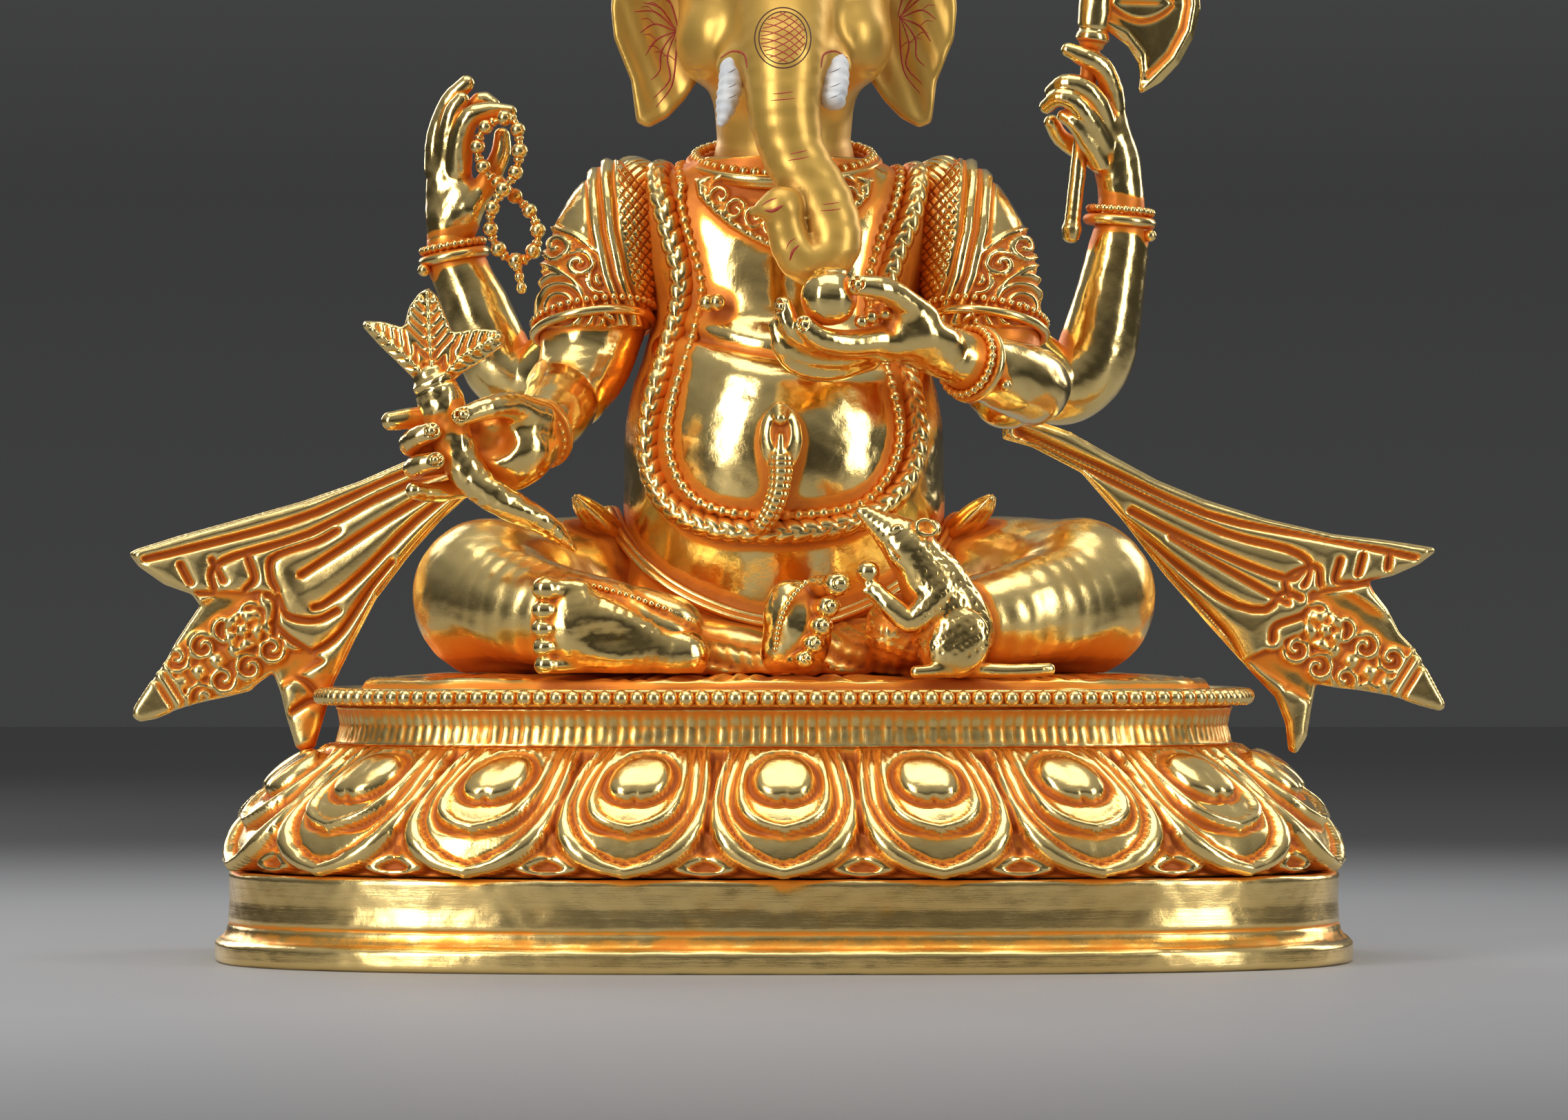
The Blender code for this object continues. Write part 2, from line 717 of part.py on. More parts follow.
def make_offerings():
    finish(ball("laddu", (12.4, -63, 172.5), (8, 8, 8)), gilt, solver="MANIFOLD")
    root = (
        (-88.2, -58, 148.5, 5), (-87.6, -58, 139.5, 4.5), (-84, -58.5, 133, 4.5), (-80.5, -60, 127, 4.7),
        (-73, -60, 121.5, 3.9), (-64.5, -57, 117, 3.2), (-58, -54, 112.2, 1.9), (-54.5, -52, 107.8, 0.9),
    )
    finish(tube("radish_root", root), gilt, solver="MANIFOLD")
    leaves = (
        (-94, 149.2), (-99, 155), (-104, 160), (-108.9, 166.3), (-101, 166), (-96, 163), (-96, 170),
        (-91.7, 175), (-87, 168), (-86, 161), (-80, 163.5), (-71.9, 162.5), (-77, 156.5), (-83, 149.2),
    )
    finish(plate("radish_leaves", leaves, -60, 3), gilt)


def make_rosary():
    """A looped string of beads that crosses itself once and ends in a tail."""
    loop = (
        (-73, 17, 224, 1.9), (-70.9, 15.5, 217, 1.9), (-71.9, 15.5, 209.5, 1.9), (-75.4, 14.5, 204.5, 1.9),
        (-78.6, 16, 198.5, 1.9), (-78, 17.5, 191.5, 1.9), (-74, 18.5, 186.5, 1.9), (-69, 18.5, 186.5, 1.9),
        (-65.9, 18, 192, 1.9), (-67.8, 18.5, 198.5, 1.9), (-73, 20, 204, 1.9), (-79.5, 20, 209.5, 1.9),
        (-82.4, 20, 215.5, 1.9), (-80, 19, 222, 1.9),
    )
    string = tube("string", loop, cyclic=True)
    tail = tube("tail", ((-71.6, 18, 187.5, 1.7), (-70.4, 18, 182.4, 1.9), (-71, 18, 177.5, 1.5)))
    finish(joined("rosary", [string, tail]), gilt)


def make_axe():
    """Shaft and bladed head, one body that is drawn up out of the fist."""
    along = (AXE_NECK - AXE_FOOT).normalized()
    top = AXE_NECK + along * 18 * MM
    foot = [*(AXE_FOOT / MM), SHAFT_RADIUS / MM]
    shaft = finish(tube("axe_shaft", (foot, [*(top / MM), SHAFT_RADIUS / MM]), sides=4), gilt)
    joint = bpy.data.objects.new("axe_draw_axis", None)
    joint.location = AXE_FOOT
    parts.objects.link(joint)
    socket = tube("socket", ((82.9, 24, 246.5, 4.6), (84.8, 24, 263, 4.6)), sides=4)
    bud = ((84.6, 24, 262, 3.4), (85.4, 24, 268, 5), (86, 24, 274, 4.2), (87, 24, 283, 0.8))
    finial = tube("finial", bud)
    blade = plate(
        "blade",
        (
            (84, 249.5), (88.5, 246.8), (93.5, 243.6), (96.2, 238.5), (95.9, 231), (101.5, 234),
            (106.2, 238.9), (110.2, 245.5), (112.3, 254), (111.6, 262.5), (108.6, 269.8), (104.4, 275),
            (99.3, 278.6), (98.4, 271), (95.2, 266), (90, 263.4), (86, 261),
        ),
        22.4,
        3.2,
    )
    head = finish(joined("axe_head", [socket, finial, blade]), gilt)
    ride_on(shaft, joint)
    ride_on(head, joint)


def make_sashes():
    """The robe's two side ends, each a fluted fan that ends in points."""
    right = (
        (-60, 141), (-72, 141), (-86, 138), (-96, 134), (-125, 121.8), (-157, 111.4), (-174, 109.9),
        (-170, 104), (-157, 96.8), (-160, 90), (-167, 78), (-175.5, 66.5), (-174, 63.8), (-161, 66.5),
        (-137, 75), (-128.5, 55.5), (-123, 69.7), (-114.7, 82.2), (-96, 109.3), (-80, 124), (-66, 131),
    )
    left = (
        (60, 142), (70, 142), (94, 130), (125, 117.6), (154, 111.4), (173.5, 108.6), (164, 101),
        (154, 98.6), (159, 93.5), (166, 81), (175.5, 67.6), (173.5, 65), (156, 69.7), (139.7, 73),
        (135, 54), (121, 71.7), (104, 90.5), (87.6, 109.3), (70, 127), (62, 131),
    )
    finish(plate("right_sash", right, -1, SASH_THICK / MM), gilt)
    finish(plate("left_sash", left, -1, SASH_THICK / MM), gilt)


def make_rat():
    body = ball("body", (44, -62, 87.5), (12, 9, 12.2))
    muzzle = ((36, -63, 97, 8), (31.5, -64, 105, 6.4), (24.5, -65, 112, 3.8), (20, -65.5, 116.5, 1.6))
    head = tube("head", muzzle)
    arm = tube("arm", ((38, -66, 98, 3.6), (30, -69, 97, 2.9), (23, -70, 97.5, 1.9)))
    ear = ball("ear", (36, -62, 111), (2.4, 2.2, 4), 10, 6)
    tail = tube("tail", ((42, -64, 77.6, 2.4), (56, -66, 77.2, 2.1), (69, -63, 77.2, 1.6)))
    finish(joined("rat", [body, head, arm, ear, tail]), gilt)


def ride_on(piece, joint):
    """Parents a piece to its joint's empty and leaves it where it is."""
    piece.parent = joint
    piece.matrix_parent_inverse = Matrix.Translation(-joint.location)


clear_scene()
parts = new_collection("ganesha_idol")
cutters = new_collection("ganesha_idol_cutters")
gilt = new_material("gilt_metal", (0.86, 0.60, 0.24), 0.24, 1.0)
face_paint = new_material("matte_gold_paint", (0.80, 0.56, 0.20), 0.55, 0.6)
white = new_material("white_paint", (0.86, 0.80, 0.66), 0.5, 0.0)
copper = new_material("bare_copper", (0.62, 0.33, 0.20), 0.45, 1.0)
finished = []

make_pins()
make_plinth()
make_lotus()
make_drum()
make_rim()
make_seat()
make_axe()
make_torso()
make_head()
make_crown()
make_topknot()
make_ears()
make_tusks()
make_girdle()
make_legs()
make_feet()
make_sleeves()
make_forearms()
make_rear_arms()
make_hands()
make_bracelets()
make_offerings()
make_collar()
make_serpent()
make_garland()
make_rosary()
make_sashes()
make_rat()
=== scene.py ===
import math

import bmesh
import bpy
import mathutils.bvhtree
import numpy as np
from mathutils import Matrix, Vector


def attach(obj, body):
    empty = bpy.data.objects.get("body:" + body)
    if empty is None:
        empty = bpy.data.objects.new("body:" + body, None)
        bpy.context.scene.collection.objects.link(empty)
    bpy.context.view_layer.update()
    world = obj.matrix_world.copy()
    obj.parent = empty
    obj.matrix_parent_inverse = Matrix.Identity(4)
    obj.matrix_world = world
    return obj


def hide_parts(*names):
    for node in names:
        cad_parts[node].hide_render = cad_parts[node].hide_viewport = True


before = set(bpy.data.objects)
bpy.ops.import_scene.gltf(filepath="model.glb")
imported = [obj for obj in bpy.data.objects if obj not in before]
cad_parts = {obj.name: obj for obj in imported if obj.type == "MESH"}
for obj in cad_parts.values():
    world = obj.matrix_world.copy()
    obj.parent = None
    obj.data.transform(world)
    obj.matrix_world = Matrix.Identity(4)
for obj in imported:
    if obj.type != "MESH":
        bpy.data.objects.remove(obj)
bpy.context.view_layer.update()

MM = 0.001

# --- Studio: a pale floor painted darker away from the figure as a fall-off of light, a wide softbox on each side and one behind, and a long lens at the height of the figure's lap. Nothing here is part of the idol.

CAMERA_AWAY = 1.9
CAMERA_HIGH = 0.090
AIM_HIGH = 0.1054
LENS = 164.1


def plain_mesh(name, points, faces):
    """A smooth mesh object from points in mm and an array of faces with equal numbers of corners."""
    mesh = bpy.data.meshes.new(name)
    corners = faces.shape[1]
    mesh.vertices.add(len(points))
    mesh.vertices.foreach_set("co", (np.asarray(points, np.float32) * MM).ravel())
    mesh.loops.add(faces.size)
    mesh.loops.foreach_set("vertex_index", np.ascontiguousarray(faces, np.int32).ravel())
    mesh.polygons.add(len(faces))
    mesh.polygons.foreach_set("loop_start", np.arange(0, faces.size, corners, dtype=np.int32))
    mesh.update(calc_edges=True)
    mesh.shade_smooth()
    made = bpy.data.objects.new(name, mesh)
    bpy.context.scene.collection.objects.link(made)
    return made


class Value:
    """A number in a material. Sums and products of these become Math nodes."""

    def __init__(self, finish, socket):
        self.finish = finish
        self.socket = socket

    def math(self, operation, *others):
        return self.finish.node("ShaderNodeMath", {"operation": operation}, [self, *others])

    def __add__(self, other):
        return self.math("ADD", other)

    def __sub__(self, other):
        return self.math("SUBTRACT", other)

    def __mul__(self, other):
        return self.math("MULTIPLY", other)

    def __pow__(self, other):
        return self.math("POWER", other)

    def __rsub__(self, other):
        return self.finish.node("ShaderNodeMath", {"operation": "SUBTRACT"}, [other, self])

    __radd__ = __add__
    __rmul__ = __mul__

    def clamp(self, low=0.0, high=1.0):
        return self.finish.node("ShaderNodeClamp", {}, [self, low, high])

    def step(self, low, high):
        """0 below low, 1 above high, smooth between."""
        limits = {"Value": self, "From Min": low, "From Max": high}
        return self.finish.node("ShaderNodeMapRange", {"interpolation_type": "SMOOTHSTEP"}, limits)


class Finish:
    """A material whose nodes all come from one method."""

    def __init__(self, name):
        self.material = bpy.data.materials.new(name)
        self.material.use_nodes = True
        self.tree = self.material.node_tree
        self.shader = self.tree.nodes["Principled BSDF"]

    def connect(self, socket, value):
        if isinstance(value, Value):
            self.tree.links.new(value.socket, socket)
        else:
            socket.default_value = value

    def node(self, kind, settings, inputs, output=0):
        made = self.tree.nodes.new(kind)
        for key, setting in settings.items():
            if key == "stops":
                ramp = made.color_ramp
                while len(ramp.elements) < len(setting):
                    ramp.elements.new(0.5)
                for element, (place, color) in zip(ramp.elements, setting):
                    element.position = place
                    element.color = (*color, 1.0)
            else:
                setattr(made, key, setting)
        items = inputs.items() if isinstance(inputs, dict) else enumerate(inputs)
        for key, value in items:
            self.connect(made.inputs[key], value)
        return Value(self, made.outputs[output])

    def place(self, stretch=(1, 1, 1)):
        """Object coordinates, in metres, stretched along each axis."""
        spot = self.node("ShaderNodeTexCoord", {}, [], "Object")
        return self.node("ShaderNodeMapping", {}, {"Vector": spot, "Scale": stretch})

    def noise(self, place, scale, detail=3.0, roughness=0.55):
        sizes = {"Vector": place, "Scale": scale, "Detail": detail, "Roughness": roughness}
        return self.node("ShaderNodeTexNoise", {}, sizes)

    def stored(self, name):
        return self.node("ShaderNodeAttribute", {"attribute_name": name}, [], "Fac")

    def mix(self, share, first, second):
        colors = {0: share, 6: first, 7: second}
        return self.node("ShaderNodeMix", {"data_type": "RGBA"}, colors, 2)

    def bump(self, height, distance, strength=1.0, below=None):
        inputs = {"Height": height, "Distance": distance, "Strength": strength}
        if below is not None:
            inputs["Normal"] = below
        return self.node("ShaderNodeBump", {}, inputs, "Normal")

    def set(self, **sockets):
        for name, value in sockets.items():
            self.connect(self.shader.inputs[name.replace("_", " ")], value)
        return self.material


def paler(color):
    return (*color, 1.0)


floor_finish = Finish("studio_floor")
floor_place = floor_finish.place()
floor_away = floor_finish.node("ShaderNodeVectorMath", {"operation": "LENGTH"}, [floor_place], "Value")
floor_tone = floor_finish.noise(floor_place, 3.0)
floor_color = floor_finish.mix(floor_tone, paler((0.34, 0.34, 0.345)), paler((0.39, 0.39, 0.395)))
# painted light: the floor colour darkens with distance from the figure, a painted fall-off of the studio
# light
floor_color = floor_finish.mix(floor_away.step(0.15, 1.1), floor_color, paler((0.03, 0.03, 0.031)))
floor_finish.set(Base_Color=floor_color, Roughness=0.6)
floor_points = [(side * 4000, y, 0) for y in (-4000, 4000) for side in (-1, 1)]
floor = plain_mesh("studio_floor", floor_points, np.array([(0, 1, 3, 2)]))
floor.data.materials.append(floor_finish.material)

camera = bpy.data.objects.new("camera", bpy.data.cameras.new("camera"))
bpy.context.scene.collection.objects.link(camera)
camera.location = (0.0, -CAMERA_AWAY, CAMERA_HIGH)
camera.rotation_euler = (math.pi / 2 + math.atan2(AIM_HIGH - CAMERA_HIGH, CAMERA_AWAY), 0.0, 0.0)
camera.data.lens = LENS
camera.data.clip_end = 30.0
bpy.context.scene.camera = camera


def softbox(name, place, size, power, color=(1.0, 1.0, 1.0)):
    light = bpy.data.lights.new(name, "AREA")
    light.shape = "RECTANGLE"
    light.size, light.size_y = size
    light.energy = power
    light.color = color
    holder = bpy.data.objects.new(name, light)
    bpy.context.scene.collection.objects.link(holder)
    holder.location = place
    holder.rotation_euler = (Vector((0, 0, 0.16)) - Vector(place)).to_track_quat("-Z", "Y").to_euler()


softbox("key_light", (-1.15, -1.35, 0.75), (0.55, 1.5), 17)
softbox("fill_light", (1.45, -1.0, 0.60), (0.5, 1.3), 10, (0.96, 0.98, 1.0))
softbox("top_light", (0.0, -0.25, 1.9), (1.7, 1.2), 12)
softbox("back_light", (-1.0, 1.5, 0.9), (0.8, 1.2), 10)
softbox("side_back_light", (1.4, 1.1, 0.8), (0.6, 1.2), 8)

world = bpy.data.worlds.new("studio")
bpy.context.scene.world = world
world.use_nodes = True
sky = world.node_tree.nodes
height = sky.new("ShaderNodeSeparateXYZ")
fade = sky.new("ShaderNodeValToRGB")
fade.color_ramp.elements.new(0.3)
for element, (place, shade) in zip(fade.color_ramp.elements, ((0.0, 0.050), (0.06, 0.042), (1.0, 0.42))):
    element.position = place
    element.color = (shade, shade * 1.01, shade * 1.03, 1.0)
direction = sky.new("ShaderNodeTexCoord")
world.node_tree.links.new(direction.outputs["Generated"], height.inputs[0])
world.node_tree.links.new(height.outputs["Z"], fade.inputs["Fac"])
world.node_tree.links.new(fade.outputs["Color"], sky["Background"].inputs["Color"])
sky["Background"].inputs["Strength"].default_value = 1.0
bpy.context.scene.view_settings.view_transform = "Standard"

# --- Plinth: the foot flange, cavetto and upright band of the hollow pedestal casting, in fire-gilded
# copper alloy. The band is burnished along its length, and the slope below it keeps its red ground.

POWER = 3.0
FINE = 0.76  # share of the finest mesh density

# the recess tints are painted shade from ambient occlusion, on top of the real red ground
gilded = []  # pieces that get recess tints once every piece is in place


def plan_point(half_width, half_depth, angle):
    """X and Y on the pedestal's plan, which is a superellipse."""
    x = half_width * np.sign(np.cos(angle)) * np.abs(np.cos(angle)) ** (2 / POWER)
    y = half_depth * np.sign(np.sin(angle)) * np.abs(np.sin(angle)) ** (2 / POWER)
    return x, y


def even_angles(half_width, half_depth, count):
    """Angles of points spread evenly by length round the plan, from the front centre."""
    fine = np.linspace(-math.pi / 2, 1.5 * math.pi, 8001)
    x, y = plan_point(half_width, half_depth, fine)
    length = np.concatenate([[0.0], np.cumsum(np.hypot(np.diff(x), np.diff(y)))])
    return np.interp(np.arange(count) / count * length[-1], length, fine), length[-1]


def around(profile, angles):
    """Rows of points: each profile row of half width, half depth and height, led round the plan."""
    profile = np.asarray(profile, float)
    x, y = plan_point(profile[:, :1], profile[:, 1:2], angles[None, :])
    return np.stack([x, y, np.broadcast_to(profile[:, 2:], x.shape)], axis=-1)


def smooth_rows(rows, count):
    """A list of profile points made denser, evenly by length, with straight runs kept."""
    rows = np.asarray(rows, float)
    length = np.concatenate([[0.0], np.cumsum(np.linalg.norm(np.diff(rows, axis=0), axis=1))])
    places = np.linspace(0, length[-1], count)
    return np.stack([np.interp(places, length, rows[:, i]) for i in range(rows.shape[1])], axis=-1)


def grid_faces(rows, columns, closed_rows=False, closed_columns=True):
    """Four-cornered faces of a grid of points."""
    r = np.arange(rows if closed_rows else rows - 1)
    c = np.arange(columns if closed_columns else columns - 1)
    r, c = np.meshgrid(r, c, indexing="ij")
    below = (r + 1) % rows
    right = (c + 1) % columns
    faces = np.stack([r * columns + c, r * columns + right, below * columns + right, below * columns + c],
                     -1)
    return faces.reshape(-1, 4)


def lidded_faces(rows, columns):
    """Faces of a tube with an even number of columns, with a lid on each end."""
    i = np.arange(columns // 2 - 1)
    lid = np.stack([i, i + 1, columns - 2 - i, columns - 1 - i], -1)
    return np.concatenate([grid_faces(rows, columns), lid[:, ::-1], lid + (rows - 1) * columns])


def looped(name, points):
    """A mesh over a grid of points whose last row joins its first."""
    return plain_mesh(name, points.reshape(-1, 3), grid_faces(*points.shape[:2], closed_rows=True))


def grid_normals(points, closed_columns=True, closed_rows=False):
    """Unit normals of a grid, pointing along down x across."""
    if closed_columns:
        across = np.roll(points, -1, 1) - np.roll(points, 1, 1)
    else:
        across = np.gradient(points, axis=1)
    if closed_rows:
        down = np.roll(points, -1, 0) - np.roll(points, 1, 0)
    else:
        down = np.gradient(points, axis=0)
    normal = np.cross(across, down)
    return normal / np.maximum(np.linalg.norm(normal, axis=-1, keepdims=True), 1e-9)


def turned_out(piece):
    """Turns a closed piece's faces outwards if its volume comes out negative."""
    mesh = piece.data
    corners = np.empty(len(mesh.loops), np.int32)
    mesh.loops.foreach_get("vertex_index", corners)
    sides = len(mesh.loops) // len(mesh.polygons)
    faces = corners.reshape(-1, sides)
    points = np.empty(len(mesh.vertices) * 3, np.float32)
    mesh.vertices.foreach_get("co", points)
    spots = points.reshape(-1, 3)
    spots = spots - spots.mean(axis=0)
    volume = 0.0
    for i in range(1, sides - 1):
        a, b, c = spots[faces[:, 0]], spots[faces[:, i]], spots[faces[:, i + 1]]
        volume += float(np.einsum("ij,ij->i", a, np.cross(b, c)).sum())
    if volume < 0:
        mesh.flip_normals()
    return piece


def wobble(points, size, seed):
    """Soft unevenness from -1 to 1: a few crossed waves of about this size in mm."""
    random = np.random.default_rng(seed)
    total = np.zeros(points.shape[:-1])
    for _ in range(7):
        way = random.normal(size=3)
        way *= 2 * math.pi / (size * random.uniform(0.7, 1.5) * np.linalg.norm(way))
        total += np.sin(points @ way + random.uniform(0, 2 * math.pi))
    return total / 4.0


def store(piece, name, values):
    layer = piece.data.attributes.new(name, "FLOAT", "POINT")
    layer.data.foreach_set("value", np.ascontiguousarray(values, np.float32).ravel())


def mesh_arrays(mesh):
    """Points, normals and edges of a mesh, in mm."""
    points = np.empty(len(mesh.vertices) * 3, np.float32)
    mesh.vertices.foreach_get("co", points)
    normals = np.empty(len(mesh.vertices) * 3, np.float32)
    mesh.vertex_normals.foreach_get("vector", normals)
    edges = np.empty(len(mesh.edges) * 2, np.int32)
    mesh.edges.foreach_get("vertices", edges)
    return points.reshape(-1, 3) / MM, normals.reshape(-1, 3), edges.reshape(-1, 2)


def store_hollows(piece, reach):
    """Stores how hollow each point is, from 0 on crests to 1 in grooves about reach mm across."""
    points, normals, edges = mesh_arrays(piece.data)
    long = np.linalg.norm(points[edges[:, 0]] - points[edges[:, 1]], axis=1).mean()
    rounds = int(min(60, max(3, (reach / max(long, 0.05)) ** 2)))
    count = len(points)
    share = np.bincount(edges.ravel(), minlength=count)[:, None] + 1.0
    soft = points.astype(np.float64)
    for _ in range(rounds):
        total = soft.copy()
        for axis in range(3):
            total[:, axis] += np.bincount(edges[:, 0], soft[edges[:, 1], axis], count)
            total[:, axis] += np.bincount(edges[:, 1], soft[edges[:, 0], axis], count)
        soft = total / share
    lift = np.einsum("ij,ij->i", soft - points, normals)
    store(piece, "hollow", np.clip(0.5 + lift / reach * 2.2, 0, 1))


def place_piece(piece, finish, nodes, body="statue", reach=1.6):
    """Gives a finished piece its material, its recess map, its body and the solids it stands for."""
    piece.data.materials.clear()
    piece.data.materials.append(finish)
    store_hollows(piece, reach)
    gilded.append(piece)
    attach(piece, body)
    if nodes:
        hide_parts(*nodes)
    return piece


def gilding(name, bright, ground, grain, worn=0.0, gloss=0.2, shade_weight=1.0):
    """Fire-gilding: bright metal on the crests, an orange to oxblood ground in the recesses.

    grain stretches the burnishing marks along each axis, and worn shows more of the ground. The last
    argument sets how much the stored occlusion (shade) adds: it spreads the ground and its darker oxblood
    into corners and between parts, as painted shade.
    """
    finish = Finish(name)
    place = finish.place()
    broad = finish.noise(place, 28.0, 4.0)
    patch = finish.noise(place, 95.0, 5.0, 0.65)
    speck = finish.noise(place, 900.0, 2.0)
    marks = finish.noise(finish.place(grain), 240.0, 6.0, 0.7)
    hollow = finish.stored("hollow")
    shade = finish.stored("shade")
    # painted shade: the stored occlusion (shade) pushes the orange ground, and the darker oxblood of the
    # deepest spots, into corners and between parts, on top of the real red ground from the hollow map
    depth = hollow * 1.25 + shade * 1.15 * shade_weight + (patch - 0.5) * 0.42 + (speck - 0.5) * 0.16 + worn
    amber = depth.step(0.66, 1.05)
    ground_and_shade = depth.step(0.82, 1.22)
    deep = depth.step(1.25, 2.0)
    warm = broad.step(0.35, 0.70)
    crest = (0.62 - hollow).clamp() * 1.6
    metal = finish.mix(warm, paler(bright), paler([a * b for a, b in zip(bright, (0.98, 0.88, 0.72))]))
    metal = finish.mix((marks - 0.42).clamp() * 0.9, metal,
                       paler([a * b for a, b in zip(bright, (0.92, 0.78, 0.6))]))
    metal = finish.mix(crest.clamp(0, 0.5), metal, paler([min(1.0, a * 1.06 + 0.04) for a in bright]))
    metal = finish.mix(amber * 0.85, metal, paler((0.93, 0.45, 0.055)))
    color = finish.mix(ground_and_shade * 0.94, metal, paler(ground))
    color = finish.mix(deep * 0.85, color, paler([a * b for a, b in zip(ground, (0.52, 0.36, 0.4))]))
    rough = gloss + (marks - 0.4) * 0.24 + (patch - 0.5) * 0.10 + ground_and_shade * 0.26 + deep * 0.12
    scratches = finish.bump(marks, 0.00012, 0.55)
    dents = finish.node("ShaderNodeTexVoronoi", {"feature": "SMOOTH_F1"},
                        {"Vector": place, "Scale": 210.0})
    normal = finish.bump(dents, 0.00035, 0.28, scratches)
    normal = finish.bump(speck, 0.00005, 0.5, normal)
    metalness = 1.0 - ground_and_shade * 0.52 - deep * 0.2
    finish.set(Base_Color=color, Roughness=rough.clamp(0.08, 0.9), Metallic=metalness, Normal=normal)
    return finish.material


FIRE_GOLD = (0.93, 0.69, 0.27)
RED_GROUND = (0.90, 0.27, 0.016)

foot_profile = [
    (144.5, 92.5, 0.0), (149.2, 97.2, 0.0), (150.0, 98.0, 0.8), (150.0, 98.0, 5.0), (149.2, 97.2, 5.9),
    (147.9, 95.9, 6.6), (147.0, 95.0, 8.0), (146.7, 94.7, 9.6), (146.1, 94.1, 10.2), (146.6, 94.6, 10.8),
    (146.2, 94.2, 16.0), (146.5, 94.5, 23.0), (145.9, 93.9, 23.7), (142.9, 90.9, 23.7),
    (142.9, 90.9, 9.0),
    (144.4, 92.4, 6.5), (144.5, 92.5, 0.0),
]
foot_angles, _ = even_angles(146, 94, int(900 * FINE))
foot_points = around(smooth_rows(foot_profile, int(110 * FINE))[:-1], foot_angles)
foot_out = grid_normals(foot_points, closed_rows=True)
foot_points = (foot_points + foot_out * (0.16 * wobble(foot_points, 22, 1)
                                         + 0.05 * wobble(foot_points, 5, 2))[..., None])
foot_points[..., 2] = np.maximum(foot_points[..., 2], 0.0)
plinth = turned_out(looped("plinth_band", foot_points))
band_gilding = gilding("band_gilding", (0.93, 0.68, 0.27), RED_GROUND, (0.12, 0.12, 2.6), worn=-0.03,
                       gloss=0.2)
place_piece(plinth, band_gilding, ["plinth"], reach=3.0)

# --- Lotus: a ring of chased petals that lean out over the plinth. Each has a rolled lip that ends in
# a point, a red channel, a two-lobed ridge and a burnished heart. Pointed sepals show between them.

PETALS = 20
PETAL_LONG = 43.0
TOP_HALF = (116.4, 72.8)
TIP_HALF = (142.8, 92.2)
LOTUS_TOP = 56.4
LOTUS_LOW = 24.1
PETAL_EDGE = ((0, 17.4), (8, 19.4), (18, 20.4), (26, 20.2), (31, 19.0), (35, 16.8), (38.4, 13.4),
              (40.6, 9.8),
              (41.8, 6.4), (42.6, 3.0), (43, 0))
LOBE_EDGE = ((0, 11.4), (8, 12.9), (15, 13.7), (20, 13.4), (24, 11.9), (26.8, 9.2), (28.4, 6.0),
             (29.3, 2.8),
             (29.8, 0), (43, -13))
SEPAL_EDGE = ((0, -4), (24, -0.6), (28, 0.8), (32, 2.8), (35.5, 5.6), (38, 8.2), (40, 9.4), (41.6, 8.2),
              (42.6, 4.4), (43, 0))


def ramp(value, low, high):
    share = np.clip((value - low) / (high - low), 0, 1)
    return share * share * (3 - 2 * share)


def hump(value, centre, half):
    """A round rise, 1 at the centre and 0.37 at half away from it."""
    return np.exp(-(((value - centre) / half) ** 2))


def from_oval(across, down, centre, radii):
    """About how far a point lies outside an oval, in mm."""
    x = (across - centre[0]) / radii[0]
    y = (down - centre[1]) / radii[1]
    far = np.sqrt(x * x + y * y) + 1e-9
    slope = np.sqrt((x / radii[0]) ** 2 + (y / radii[1]) ** 2) + 1e-9
    return far * (far - 1) / slope


def inside_edge(across, down, outline):
    """How far a point lies inside an outline of half widths down the petal, in mm."""
    places, widths = np.array(outline).T
    fine = np.linspace(0, PETAL_LONG, 240)
    smooth = np.interp(fine, places, widths)
    smooth = np.convolve(np.pad(smooth, 5, mode="edge"), np.ones(11) / 11, "valid")
    width = np.interp(down, fine, smooth)
    slope = np.interp(down, fine, np.gradient(smooth, fine))
    return (width - np.abs(across)) / np.sqrt(1 + slope**2)


def rolled(inside, half):
    """Height, 0 to 1, of a rolled lip of this half width along an outline."""
    return np.sqrt(np.clip(1 - ((inside - half) / half) ** 2, 0, 1))


